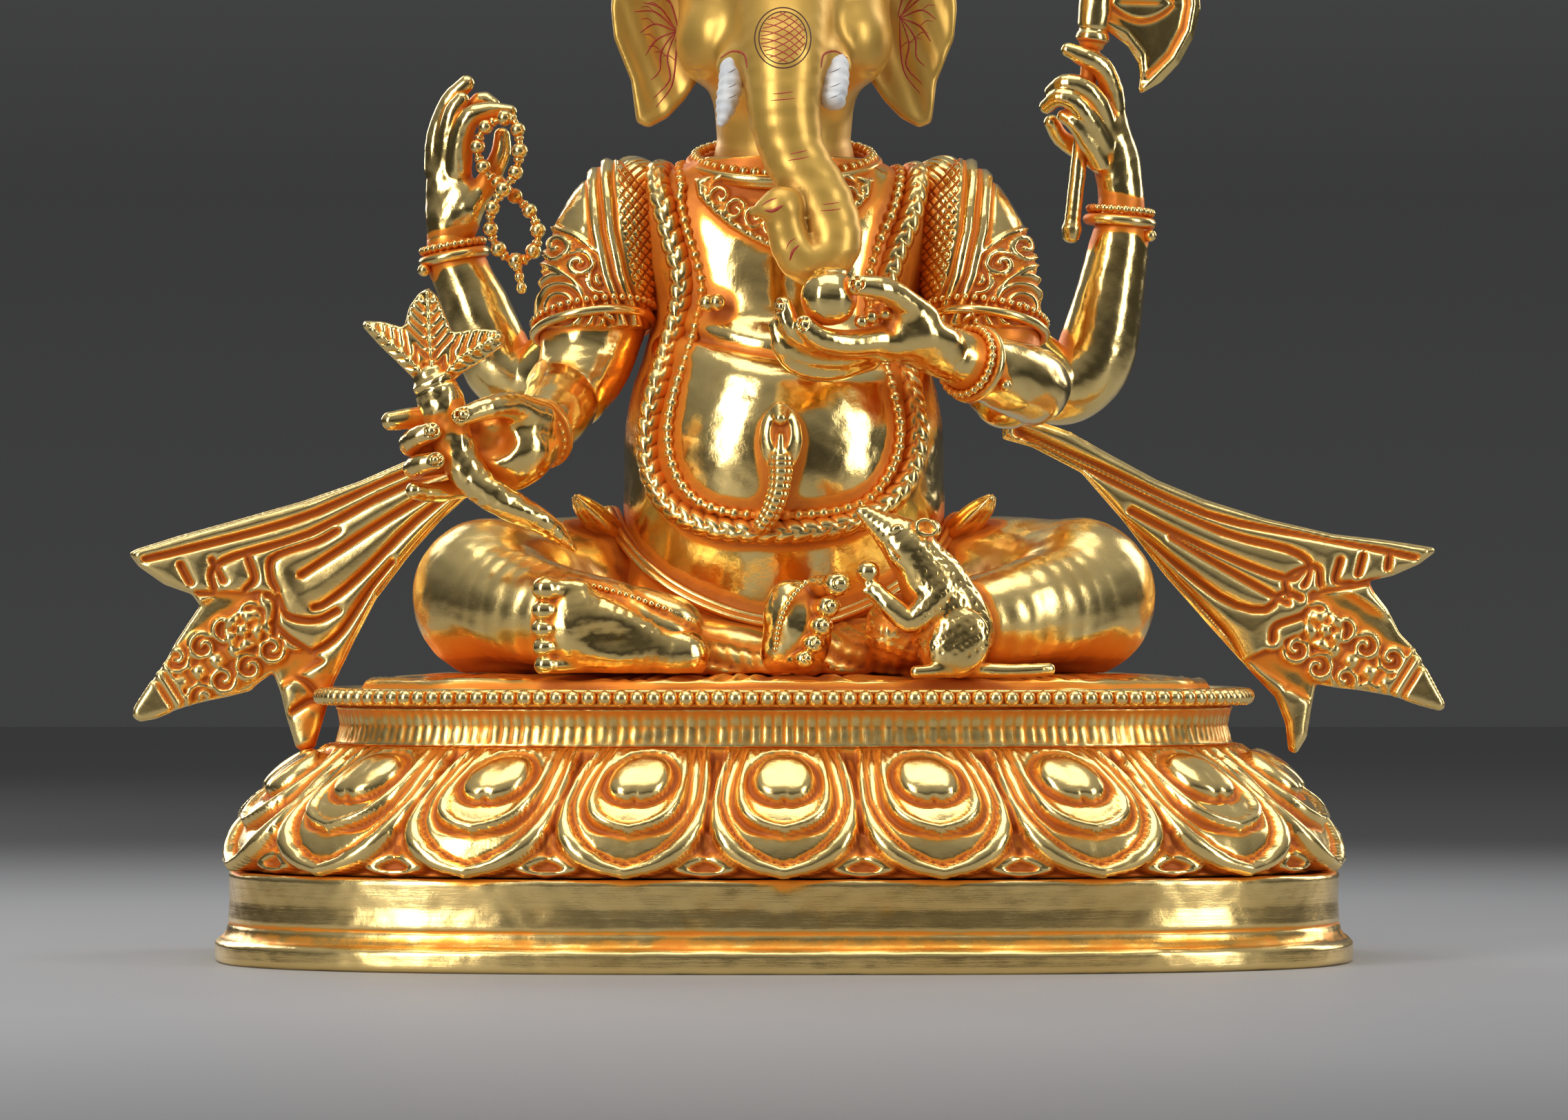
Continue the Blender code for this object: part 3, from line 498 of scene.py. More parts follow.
def petal_relief(across, down, pitch):
    """Height of the chased petals over the plain slope, in mm."""
    edge = inside_edge(across, down, PETAL_EDGE)
    lobe = inside_edge(across, down, LOBE_EDGE)
    low = ramp(down, 14, 36)
    lip_half = 0.95 + 2.3 * low
    front = 0.9 + 1.5 * low + 1.1 * np.sqrt(np.clip(1 - (across / 21) ** 2, 0, 1))
    front += (0.75 + 2.0 * low) * rolled(edge, lip_half)
    front += 0.5 * low * hump(across, 0, 1.6) * rolled(edge, lip_half)
    front -= 0.85 * hump(edge, 2 * lip_half + 0.5, 0.62)
    mid = ramp(down, 7, 25)
    lobe_half = 0.8 + 0.95 * mid
    front += (0.4 + 1.5 * mid) * ramp(lobe, -0.6, 1.0) + (0.45 + 0.8 * mid) * rolled(lobe, lobe_half)
    front -= 0.8 * hump(lobe, -0.9, 0.55) * ramp(-down, -30.5, -29)
    near = from_oval(across, down, (2.5, 12.4), (6.6, 7.2))
    far = from_oval(across, down, (-2.5, 12.4), (6.6, 7.2))
    share = np.clip(0.5 + (far - near) / 7.0, 0, 1)
    heart = far + (near - far) * share - 3.5 * share * (1 - share) + 0.55 * hump(across, 0, 1.1) * ramp(
        down, 16, 19)
    front -= 1.2 * hump(heart, 0.9, 0.8)
    front += 3.3 * np.sqrt(np.clip(1 - np.exp(np.minimum(heart, 0) / 2.6), 0, 1))
    rays = np.cos(across * 2 * math.pi / 1.2)
    front += 0.13 * rays * ramp(-down, -5.4, -3.6)
    beside = pitch / 2 - np.abs(across)
    sepal = inside_edge(beside, down, SEPAL_EDGE)
    back = (-1.6 + 1.9 * ramp(sepal, 0.0, 0.9)
            + (0.6 + 1.7 * ramp(down, 33, 38)) * rolled(sepal, 1.3 + 1.5 * ramp(down, 33, 38)))
    back += 0.9 * ramp(-beside, -1.5, 0) * ramp(-down, -36, -26) - 0.5 * hump(beside, 1.6, 0.5) * ramp(
        -down, -30, -20)
    return back + (front - back) * ramp(edge, -0.55, 0.35)


petal_columns = int(62 * FINE)
lotus_angles, lotus_round = even_angles(TIP_HALF[0] + 3, TIP_HALF[1] + 3, PETALS * petal_columns)
lotus_share = np.linspace(0, 1, int(72 * FINE))
lotus_spread = np.sin(lotus_share * math.pi / 2) ** 0.85
lotus_profile = np.stack([
    TOP_HALF[0] + (TIP_HALF[0] - TOP_HALF[0]) * lotus_spread,
    TOP_HALF[1] + (TIP_HALF[1] - TOP_HALF[1]) * lotus_spread,
    LOTUS_TOP + (LOTUS_LOW - LOTUS_TOP) * lotus_share,
], axis=-1)
lotus_slope = around(lotus_profile, lotus_angles)
lotus_out = -grid_normals(lotus_slope)
petal_pitch = 2 * 20.7
petal_across = (((np.arange(len(lotus_angles)) / petal_columns + 0.5) % 1.0) - 0.5) * petal_pitch
petal_down = lotus_share * PETAL_LONG
lotus_height = petal_relief(petal_across[None, :], petal_down[:, None], petal_pitch)
lotus_height += 0.12 * wobble(lotus_slope, 9, 3) + 0.04 * wobble(lotus_slope, 3, 4)
lotus_height = np.maximum(lotus_height, 2.6 - 1.4 * petal_down[:, None])
if (lotus_out[0, 0] @ np.array([0, -1, 0])) < 0:
    lotus_out = -lotus_out
lotus_outer = lotus_slope + lotus_out * lotus_height[..., None]
lotus_outer[..., 2] = np.clip(lotus_outer[..., 2], LOTUS_LOW - 0.2, LOTUS_TOP + 0.4)
lotus_inner = around([(TIP_HALF[0] - 5, TIP_HALF[1] - 5, LOTUS_LOW),
                      (TOP_HALF[0] - 5, TOP_HALF[1] - 5, LOTUS_TOP)],
                     lotus_angles)
lotus_points = np.concatenate([lotus_outer, lotus_inner])
lotus = looped("lotus_petals", lotus_points)
petal_gilding = gilding("petal_gilding", FIRE_GOLD, RED_GROUND, (0.6, 0.6, 1.2), worn=-0.14, gloss=0.18)
place_piece(turned_out(lotus), petal_gilding, ["lotus_ring"], reach=2.4)

# --- Stamen drum: the waisted wall under the deck, chased with upright grooves for the stamens, with
# the flat deck that carries the figure. It is one casting with the lotus on many such pedestals.

STAMENS = 232
drum_angles, _ = even_angles(118.7, 75.0, int(STAMENS * 6 * max(FINE, 0.84)))
drum_wall = [(117.6, 73.9, 56.6), (118.7, 75.0, 57.2), (118.2, 74.5, 58.4), (117.4, 73.7, 62.0),
             (118.0, 74.3, 65.6),
             (118.6, 74.9, 66.5), (117.4, 73.7, 66.9)]
drum_profile = np.concatenate([
    smooth_rows([(114.8, 71.1, 56.6), (117.4, 73.7, 56.6)], 3),
    smooth_rows(drum_wall, int(26 * FINE) + 6),
    smooth_rows([(116.8, 73.1, 67.0), (116.8, 73.1, 70.9)], 4),
    [(116.8 * share, 73.1 * share, 70.9) for share in np.linspace(0.985, 0.03, int(34 * FINE))],
])
drum_points = around(drum_profile, drum_angles)
drum_out = grid_normals(drum_points)
if (drum_out[6, 0] @ np.array([0, -1, 0])) < 0:
    drum_out = -drum_out
stamen = np.arange(len(drum_angles)) / len(drum_angles) * STAMENS
stamen_wave = 0.5 * (np.abs(np.sin(stamen * math.pi)) ** 0.3 - 0.85)
on_wall = ramp(drum_points[..., 2], 57.4, 58.6) * ramp(-drum_points[..., 2], -66.2, -65.2)
drum_relief = (stamen_wave[None, :] * on_wall + 0.10 * wobble(drum_points, 4, 5)
               + 0.08 * wobble(drum_points, 14, 6))
drum_points = drum_points + drum_out * drum_relief[..., None]
drum_inner = around([(0.03 * 113, 0.03 * 69, 67.4), (113.3, 69.6, 67.4), (114.8, 71.1, 56.6)],
                    drum_angles)
drum_points = np.concatenate([drum_points, drum_inner])
drum = looped("stamen_wall", drum_points)
drum_gilding = gilding("drum_gilding", FIRE_GOLD, RED_GROUND, (1.4, 1.4, 0.3), worn=-0.02, gloss=0.26,
                       shade_weight=0.45)
place_piece(turned_out(drum), drum_gilding, ["stamen_drum"], reach=1.4)

# --- Beaded rim: a row of barrel beads chased round the edge of the deck, in a rolled channel that
# holds the red ground. It is cast with the deck.

RIM_HALF = (122.3, 78.6)
RIM_BEADS = 164


def bead_tree():
    """Geometry Nodes: beads of one kind set along a path and turned to follow it."""
    tree = bpy.data.node_groups.new("strung_beads", "GeometryNodeTree")
    sizes = (("Path", "Geometry"), ("Bead Count", "Int"), ("Bead Long", "Float"), ("Bead Wide", "Float"),
             ("Unevenness", "Float"), ("Finish", "Material"))
    for name, kind in sizes:
        tree.interface.new_socket(name, in_out="INPUT", socket_type="NodeSocket" + kind)
    tree.interface.new_socket("Beads", in_out="OUTPUT", socket_type="NodeSocketGeometry")

    def node(kind, settings, **inputs):
        made = tree.nodes.new(kind)
        for key, value in settings.items():
            setattr(made, key, value)
        for key, value in inputs.items():
            socket = made.inputs[key.replace("_", " ")]
            if isinstance(value, bpy.types.NodeSocket):
                tree.links.new(value, socket)
            else:
                socket.default_value = value
        return made

    given = node("NodeGroupInput", {}).outputs
    curve = node("GeometryNodeMeshToCurve", {}, Mesh=given["Path"]).outputs[0]
    spread = node("GeometryNodeResampleCurve", {}, Curve=curve, Count=given["Bead Count"]).outputs[0]
    tangent = node("GeometryNodeInputTangent", {}).outputs[0]
    turned = node("FunctionNodeAlignRotationToVector", {"axis": "Z"}, Vector=tangent).outputs[0]
    size = node("ShaderNodeCombineXYZ", {}, X=given["Bead Wide"], Y=given["Bead Wide"],
                Z=given["Bead Long"])
    chance = node("FunctionNodeRandomValue", {"data_type": "FLOAT"})
    chance.inputs["Seed"].default_value = 4
    low = node("ShaderNodeMath", {"operation": "SUBTRACT"})
    low.inputs[0].default_value = 1.0
    tree.links.new(given["Unevenness"], low.inputs[1])
    tree.links.new(low.outputs[0], chance.inputs[2])
    scaled = node("ShaderNodeVectorMath", {"operation": "SCALE"}, Vector=size.outputs[0],
                  Scale=chance.outputs[1])
    bead = node("GeometryNodeMeshUVSphere", {}, Segments=10, Rings=6, Radius=0.5).outputs[0]
    bead = node("GeometryNodeSetShadeSmooth", {}, Geometry=bead).outputs[0]
    placed = node("GeometryNodeInstanceOnPoints", {}, Points=spread, Instance=bead, Rotation=turned,
                  Scale=scaled.outputs[0]).outputs[0]
    real = node("GeometryNodeRealizeInstances", {}, Geometry=placed).outputs[0]
    finished = node("GeometryNodeSetMaterial", {}, Geometry=real, Material=given["Finish"]).outputs[0]
    node("NodeGroupOutput", {}, Beads=finished)
    return tree


bead_nodes = bead_tree()


def strung(name, path, count, long, wide, finish, closed=False, uneven=0.1):
    """Beads along a path of points in mm, as one mesh."""
    path = np.asarray(path, float)
    mesh = bpy.data.meshes.new(name + "_path")
    links = [(i, i + 1) for i in range(len(path) - 1)] + ([(len(path) - 1, 0)] if closed else [])
    mesh.from_pydata((path * MM).tolist(), links, [])
    holder = bpy.data.objects.new(name + "_path", mesh)
    bpy.context.scene.collection.objects.link(holder)
    modifier = holder.modifiers.new("beads", "NODES")
    modifier.node_group = bead_nodes
    given = {"Bead Count": count, "Bead Long": long * MM, "Bead Wide": wide * MM, "Unevenness": uneven,
             "Finish": finish}
    for item in bead_nodes.interface.items_tree:
        if item.name in given:
            modifier[item.identifier] = given[item.name]
    graph = bpy.context.evaluated_depsgraph_get()
    made = bpy.data.objects.new(name, bpy.data.meshes.new_from_object(holder.evaluated_get(graph)))
    bpy.data.objects.remove(holder)
    bpy.context.scene.collection.objects.link(made)
    return made


def as_one(first, *others):
    """Joins meshes into the first one."""
    with bpy.context.temp_override(active_object=first, selected_editable_objects=[first, *others]):
        bpy.ops.object.join()
    return first


bead_gilding = gilding("bead_gilding", FIRE_GOLD, RED_GROUND, (1, 1, 1), worn=0.02, gloss=0.2)
rim_angles, _ = even_angles(*RIM_HALF, 700)
rim_path = around([(*RIM_HALF, 69.4)], rim_angles)[0]
rim_beads = strung("rim_beads", rim_path, RIM_BEADS, 4.6, 4.7, bead_gilding, closed=True)
rim_section = [(117.5, 73.8, 67.3), (121.0, 77.3, 67.3), (122.2, 78.5, 67.9), (121.6, 77.9, 68.5),
               (121.4, 77.7, 70.4), (122.0, 78.3, 71.0), (121.0, 77.3, 71.7), (117.5, 73.8, 71.7)]
channel_points = around(rim_section, rim_angles)
channel = looped("rim_channel", channel_points)
place_piece(as_one(rim_beads, turned_out(channel)), bead_gilding, ["beaded_rim"], reach=1.2)

# --- Spread hem: the skirt's end laid out on the deck in soft rounds with a chased border. It is cast
# with the legs and lies flat on the deck.

hem_angles, _ = even_angles(111, 69, int(720 * FINE))
hem_turn = np.arange(len(hem_angles)) / len(hem_angles)
hem_wave = 2.2 * np.cos(2 * math.pi * 5 * hem_turn) + 0.9 * np.cos(2 * math.pi * 21 * hem_turn + 1.0)
hem_shares = np.concatenate([np.linspace(0, 1, 9)[:-1] * 0.03, np.linspace(0.03, 0.9, int(40 * FINE))])
hem_rows = []
for share in hem_shares:
    rise = 71.2 + 2.6 * ramp(share, 0, 0.02) + 1.2 * ramp(share, 0.02, 0.2)
    x, y = plan_point(111 * (1 - share) + hem_wave, 69 * (1 - share) + hem_wave, hem_angles)
    hem_rows.append(np.stack([x, y, np.full(len(x), rise)], axis=-1))
hem_points = np.array(hem_rows)
hem_out = grid_normals(hem_points)
hem_relief = (0.45 * np.cos(hem_turn * 2 * math.pi * 63 + 5 * hem_wave / 2.2)[None, :]
              * ramp(hem_shares, 0.01, 0.05)[:, None])
hem_relief *= 1 - ramp(hem_shares, 0.3, 0.5)[:, None]
hem_relief += 0.5 * (hump(hem_shares, 0.035, 0.009) - hump(hem_shares, 0.06, 0.01))[:, None]
hem_points[..., 2] += hem_relief + 0.25 * wobble(hem_points, 13, 7)
hem_low = np.concatenate([hem_points, around([(10, 6, 71.2), (110, 68, 71.2)], hem_angles)])
hem = looped("spread_hem", hem_low)
cloth_gilding = gilding("cloth_gilding", FIRE_GOLD, RED_GROUND, (0.5, 0.5, 1.0), worn=0.03, gloss=0.22)
place_piece(turned_out(hem), cloth_gilding, ["seat_cloth"], reach=2.2)

# --- Sealing plate and pins: a hammered copper sheet closes the pedestal from below, and two copper
# pins under the seat key the figure to the pedestal. Both stay unpolished.

copper = Finish("beaten_copper")
copper_place = copper.place()
copper_cloud = copper.noise(copper_place, 60.0, 5.0)
copper_dents = copper.node("ShaderNodeTexVoronoi", {"feature": "SMOOTH_F1"},
                           {"Vector": copper_place, "Scale": 140.0})
copper_color = copper.mix(copper_cloud.step(0.35, 0.7), paler((0.66, 0.30, 0.16)),
                          paler((0.30, 0.11, 0.06)))
copper.set(Base_Color=copper_color, Metallic=0.9, Roughness=(0.32 + copper_cloud * 0.3).clamp(),
           Normal=copper.bump(copper_dents, 0.0008, 0.5))
plate_angles, _ = even_angles(144, 92, int(300 * FINE))
plate_profile = [(4, 2.6, 2.3), *[(144 * s, 92 * s, 2.3) for s in (0.2, 0.4, 0.6, 0.8, 0.97)],
                 (144, 92, 2.0),
                 (144, 92, 1.4), *[(144 * s, 92 * s, 1.2) for s in (0.99, 0.97, 0.8, 0.6, 0.4, 0.2)],
                 (4, 2.6, 1.2)]
plate_points = around(plate_profile, plate_angles)
plate_points[..., 2] += (0.18 * wobble(plate_points, 24, 8)
                         * ramp(-np.abs(plate_points[..., 0]), -143, -138))
plate_points[..., 2] = np.clip(plate_points[..., 2], 0.4, 3.0)
sealing = looped("sealing_sheet", plate_points)
sealing = turned_out(sealing)
sealing.data.materials.append(copper.material)
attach(sealing, "statue")
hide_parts("sealing_plate")
for side, pin_name in ((-60, "left_key_pin"), (60, "right_key_pin")):
    pin_rows = [(0.05, 64.2), (3.6, 64.2), (4.7, 65.2), (4.9, 70), (4.6, 82), (4.3, 88.6), (3.2, 89.7),
                (0.05, 89.8)]
    pin_turns = np.linspace(0, 2 * math.pi, 36, endpoint=False)
    pin_points = np.array([[(side + r * math.cos(t), -8 + r * math.sin(t), z) for t in pin_turns] for r,
                           z in pin_rows])
    pin = turned_out(looped(pin_name, pin_points))
    pin.data.materials.append(copper.material)
    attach(pin, "statue")
    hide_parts("fixing_pin_left" if side < 0 else "fixing_pin_right")

# --- Torso: a hollow cast trunk with a hanging belly and a soft chest, burnished bright in front. The
# skirt starts under the belly, and a fold runs under the ribs.

TORSO = (
    (74.8, 58, 40, 2), (84, 56, 40, 2), (95, 50, 38, 1), (108, 43.5, 39, -2), (122, 42.5, 42, -4),
    (137, 42.3, 43, -4), (150, 40.5, 40, -3), (160, 37, 34, -1), (171, 35.5, 29, 1), (185, 40, 27, 3),
    (198, 44, 25, 4), (206, 36, 22, 3), (211.8, 25, 20, 1),
)


def eased(rows, count):
    """Rows of numbers led through smoothly (Catmull-Rom) and made into count rows."""
    rows = np.asarray(rows, float)
    padded = np.concatenate([2 * rows[:1] - rows[1:2], rows, 2 * rows[-1:] - rows[-2:-1]])
    place = np.linspace(0, len(rows) - 1, count)
    start = np.minimum(place.astype(int), len(rows) - 2)
    t = (place - start)[:, None]
    a, b, c, d = (padded[start + k] for k in range(4))
    return (0.5 * (2 * b + (c - a) * t + (2 * a - 5 * b + 4 * c - d) * t**2
                   + (3 * b - a - 3 * c + d) * t**3))


def torso_surface(x, z, back=False):
    """Y of the torso's front or back, in mm, at x and z in mm."""
    smooth = eased(TORSO, 240)
    half_width, half_depth, middle = (np.interp(z, smooth[:, 0], smooth[:, i]) for i in (1, 2, 3))
    share = np.sqrt(np.clip(1 - (x / half_width) ** 2, 0.04, 1))
    return middle + half_depth * share * (1 if back else -1)


def lidded(name, points):
    """A mesh over a grid of points, with a lid on its first and last rows."""
    return plain_mesh(name, points.reshape(-1, 3), lidded_faces(*points.shape[:2]))


def shell(name, levels, columns, rows, relief):
    """A closed body lofted through oval levels, with relief(points) added along its normals."""
    smooth = eased(levels, rows)
    columns += columns % 2
    turn = np.linspace(0, 2 * math.pi, columns, endpoint=False) - math.pi / 2
    ease_in = np.sin(np.linspace(0.02, math.pi / 2, 12))
    bottom = np.concatenate([[smooth[0] * (1, s, s, 1)] for s in ease_in[:-1]])
    top = np.concatenate([[smooth[-1] * (1, s, s, 1)] for s in ease_in[-2::-1]])
    levels = np.concatenate([bottom, smooth, top])
    points = np.stack([
        levels[:, 1:2] * np.cos(turn), levels[:, 3:4] + levels[:, 2:3] * np.sin(turn),
        np.broadcast_to(levels[:, :1], (len(levels), columns)),
    ], axis=-1)
    out = -grid_normals(points)
    middle = len(levels) // 2
    if (out[middle, columns // 4] @ np.array([1, 0, 0])) < 0:
        out = -out
    points = points + out * relief(points)[..., None]
    return turned_out(lidded(name, points))


def torso_relief(points):
    x, y, z = points[..., 0], points[..., 1], points[..., 2]
    front = ramp(-y, 4, 16)
    fold = 158.5 + 0.0045 * x**2 - 0.12 * x
    relief = -1.5 * hump(z, fold, 1.3) * front * ramp(-np.abs(x), -33, -22)
    relief += 1.5 * hump(z, fold - 5, 4.5) * front + 1.1 * hump(z, fold + 4, 3.5) * front
    for side in (-1, 1):
        chest = ((x - side * 15) / 15) ** 2 + ((z - 184) / 12) ** 2
        relief += 1.8 * np.exp(-chest * 1.1) * front
    relief -= 0.7 * hump(x, 0, 2.2) * front * ramp(z, 168, 176) * ramp(-z, -200, -192)
    spine = hump(x, 0, 3) * ramp(y, 10, 20) * ramp(z, 120, 140)
    relief -= 1.4 * spine
    lap = 0.55 * np.cos(np.arctan2(z - 128, x) * 46) * ramp(-z, -112, -106) * ramp(y, 0, 10)
    relief += lap + 0.16 * wobble(points, 15, 9) + 0.05 * wobble(points, 4, 10)
    return relief


skin_gilding = gilding("skin_gilding", FIRE_GOLD, RED_GROUND, (0.8, 0.8, 0.8), worn=-0.14, gloss=0.13)
torso = shell("cast_torso", TORSO, int(330 * FINE), int(250 * FINE), torso_relief)
place_piece(torso, skin_gilding, ["torso"], reach=4.0)

# --- Rolls and cords: the ways of making the tubes, rings and cords that the limbs and jewels use.


def led_tube(name, path, columns, rows, relief=None, closed=False, up=(0, 0, 1)):
    """A tube through stations of x, y, z and radius. relief(along, around, points) raises it.

    along runs in mm from the first station, and around is the turn from the up side, in radians.
    """
    stations = np.asarray(path, float)
    columns += columns % 2
    if closed:
        doubled = np.concatenate([stations, stations, stations])
        smooth = eased(doubled, 3 * rows)[rows:2 * rows]
        heading = np.roll(smooth[:, :3], -1, 0) - np.roll(smooth[:, :3], 1, 0)
    else:
        smooth = eased(stations, rows)
        heading = np.gradient(smooth[:, :3], axis=0)
    heading /= np.linalg.norm(heading, axis=1, keepdims=True)
    side = np.cross(heading, np.asarray(up, float))
    side /= np.maximum(np.linalg.norm(side, axis=1, keepdims=True), 1e-6)
    top = np.cross(side, heading)
    steps = np.linalg.norm(np.diff(smooth[:, :3], axis=0), axis=1)
    along = np.concatenate([[0.0], np.cumsum(steps)])
    turn = np.linspace(0, 2 * math.pi, columns, endpoint=False)
    spoke = np.cos(turn)[None, :, None] * top[:, None, :] + np.sin(turn)[None, :, None] * side[:, None, :]
    radius = smooth[:, 3][:, None] + np.zeros(columns)
    points = smooth[:, None, :3] + spoke * radius[..., None]
    if relief is not None:
        points = points + spoke * relief(along[:, None], turn[None, :], points)[..., None]
    if closed:
        return turned_out(looped(name, points))
    for end, way in ((0, -1), (-1, 1)):
        ring = points[end]
        centre = ring.mean(axis=0)
        bulge = smooth[end, 3] * 0.75
        dome = [centre + (ring - centre) * math.cos(a) + heading[end] * way * bulge * math.sin(a)
                for a in np.linspace(0.25, 1.53, 7)]
        dome = np.array(dome)
        points = np.concatenate([dome[::-1], points]) if way < 0 else np.concatenate([points, dome])
    return turned_out(lidded(name, points))


def ring_path(centre, normal, radii, count):
    """Points of an oval ring round a centre, with its long way level."""
    normal = np.asarray(normal, float) / np.linalg.norm(normal)
    level = (np.cross((0.0, 1.0, 0.0), normal) if abs(normal[1]) < 0.9
             else np.cross((1.0, 0.0, 0.0), normal))
    level /= np.linalg.norm(level)
    other = np.cross(normal, level)
    turn = np.linspace(0, 2 * math.pi, count, endpoint=False)
    return np.asarray(centre, float) + np.outer(np.cos(turn) * radii[0], level) + np.outer(
        np.sin(turn) * radii[1], other)


def with_radius(path, radius):
    return np.concatenate([path, np.full((len(path), 1), radius)], axis=1)


def cords(count, depth):
    """Relief of a band rolled from a number of twisted cords."""
    return lambda along, around, points: depth * (np.abs(np.sin(around * count / 2)) - 0.6)

# --- Legs: crossed in the royal-ease seat, knees out and shins low, wrapped in a thin skirt whose
# folds fan out of the lap. A chased scroll border crosses the thigh on the figure's right.


def chain(spots, stations):
    """Distance from spots to a run of tapering round links through stations of x, y, z, radius."""
    stations = np.asarray(stations, np.float32)
    best = np.full(len(spots), 1e3, np.float32)
    for first, second in zip(stations[:-1], stations[1:]):
        way = second[:3] - first[:3]
        off = spots - first[:3]
        share = np.clip(off @ way / max(float(way @ way), 1e-6), 0, 1)
        off -= share[:, None] * way
        far = np.sqrt(np.einsum("ij,ij->i", off, off)) - (first[3] + share * (second[3] - first[3]))
        np.minimum(best, far, out=best)
    return best


def bent(stations, per=4):
    """The same run of stations led through smoothly."""
    return eased(stations, (len(stations) - 1) * per + 1)


def lump(spots, centre, radii, tilt=(0, 0, 0)):
    """Distance to an ellipsoid, tilted by turns about X, Y and Z in degrees."""
    turned = spots - np.asarray(centre, np.float32)
    for axis, angle in enumerate(np.radians(tilt)):
        if angle:
            a, b = [i for i in range(3) if i != axis]
            c, s = math.cos(angle), math.sin(angle)
            first, second = turned[:, a].copy(), turned[:, b].copy()
            turned[:, a] = c * first + s * second
            turned[:, b] = c * second - s * first
    radii = np.asarray(radii, np.float32)
    near = np.sqrt(np.einsum("ij,ij->i", turned / radii, turned / radii)) + 1e-6
    slope = np.sqrt(np.einsum("ij,ij->i", turned / radii**2, turned / radii**2)) + 1e-6
    return near * (near - 1) / slope


def melt(first, second, soft):
    """Two forms flowing into one over a soft width in mm."""
    share = np.clip(0.5 + 0.5 * (second - first) / soft, 0, 1)
    return second + (first - second) * share - soft * share * (1 - share)


def cut_in(form, tool, soft):
    return -melt(-form, tool, soft)


def modelled(name, form, low, high, step, relief=None):
    """The surface where form(spots) is zero, as a mesh, by surface nets on a grid of step mm."""
    step = step / FINE**0.5
    axes = [np.arange(a, b + step, step, dtype=np.float32) for a, b in zip(low, high)]
    shape = tuple(len(axis) for axis in axes)
    spots = np.stack(np.meshgrid(*axes, indexing="ij"), axis=-1).reshape(-1, 3)
    field = form(spots).reshape(shape).astype(np.float32)
    cells = tuple(n - 1 for n in shape)
    total = np.zeros((*cells, 3), np.float32)
    count = np.zeros(cells, np.float32)
    quads = []
    grid = np.stack(np.meshgrid(*[np.arange(n) for n in shape], indexing="ij"),
                    axis=-1).astype(np.float32)
    crossings = []
    for axis in range(3):
        ahead = [slice(None)] * 3
        behind = [slice(None)] * 3
        ahead[axis] = slice(1, None)
        behind[axis] = slice(None, -1)
        first, second = field[tuple(behind)], field[tuple(ahead)]
        crossed = (first < 0) != (second < 0)
        share = np.where(crossed, first / np.where(crossed, first - second, 1), 0)
        at = grid[tuple(behind)].copy()
        at[..., axis] += share
        at *= crossed[..., None]
        others = [i for i in range(3) if i != axis]
        for move_a in (0, 1):
            for move_b in (0, 1):
                take = [slice(None)] * 3
                take[others[0]] = slice(move_a, move_a + cells[others[0]])
                take[others[1]] = slice(move_b, move_b + cells[others[1]])
                total += at[tuple(take)]
                count += crossed[tuple(take)]
        crossings.append((crossed, first < 0, others))
    used = count > 0
    number = np.full(cells, -1, np.int64)
    number[used] = np.arange(int(used.sum()))
    points = total[used] / count[used][:, None]
    for axis, (crossed, inside, others) in enumerate(crossings):
        where = np.argwhere(crossed)
        a, b = others
        fits = (where[:, a] > 0) & (where[:, b] > 0) & (where[:, a] < cells[a]) & (where[:, b] < cells[b])
        where = where[fits]
        corners = []
        for back_a, back_b in ((1, 1), (0, 1), (0, 0), (1, 0)):
            cell = where.copy()
            cell[:, a] -= back_a
            cell[:, b] -= back_b
            corners.append(number[tuple(cell.T)])
        quad = np.stack(corners, axis=-1)
        flip = inside[tuple(where.T)] == (axis == 1)
        quad[flip] = quad[flip][:, ::-1]
        quads.append(quad)
    points = points * step + np.array(low, np.float32)
    for _ in range(2):
        here = form(points)
        slope = (np.stack([form(points + offset) - here for offset in np.eye(3, dtype=np.float32) * 0.05],
                          axis=-1) / 0.05)
        size = np.maximum(np.einsum("ij,ij->i", slope, slope), 0.05)
        points = points - slope * np.clip(here / size, -step, step)[:, None]
    made = turned_out(plain_mesh(name, points, np.concatenate(quads)))
    if relief is not None:
        spots, normals, _ = mesh_arrays(made.data)
        spots = spots + normals * relief(spots, normals)[:, None]
        made.data.vertices.foreach_set("co", (spots.astype(np.float32) * MM).ravel())
        made.data.update()
    return made


def scrollwork(along, across, pitch, half):
    """Relief, 0 to 1, of a running vine whose tendrils curl to one side and then the other."""
    turn = along / pitch
    cell = np.floor(turn)
    side = np.where(cell % 2 == 0, 1.0, -1.0)
    x = (turn - cell - 0.5) * pitch
    y = (across + side * half * 0.12) * side
    radius = np.hypot(x, y)
    angle = np.arctan2(y, x)
    curl = ramp(np.cos(angle - radius * 2 * math.pi / (half * 0.75)), -0.35, 0.6)
    curl = curl * ramp(-radius, -half * 1.0, -half * 0.86)
    stem = hump(across, side * half * 0.62 * np.cos((turn - cell - 0.5) * math.pi), half * 0.16)
    return np.maximum(curl, stem * 0.9)


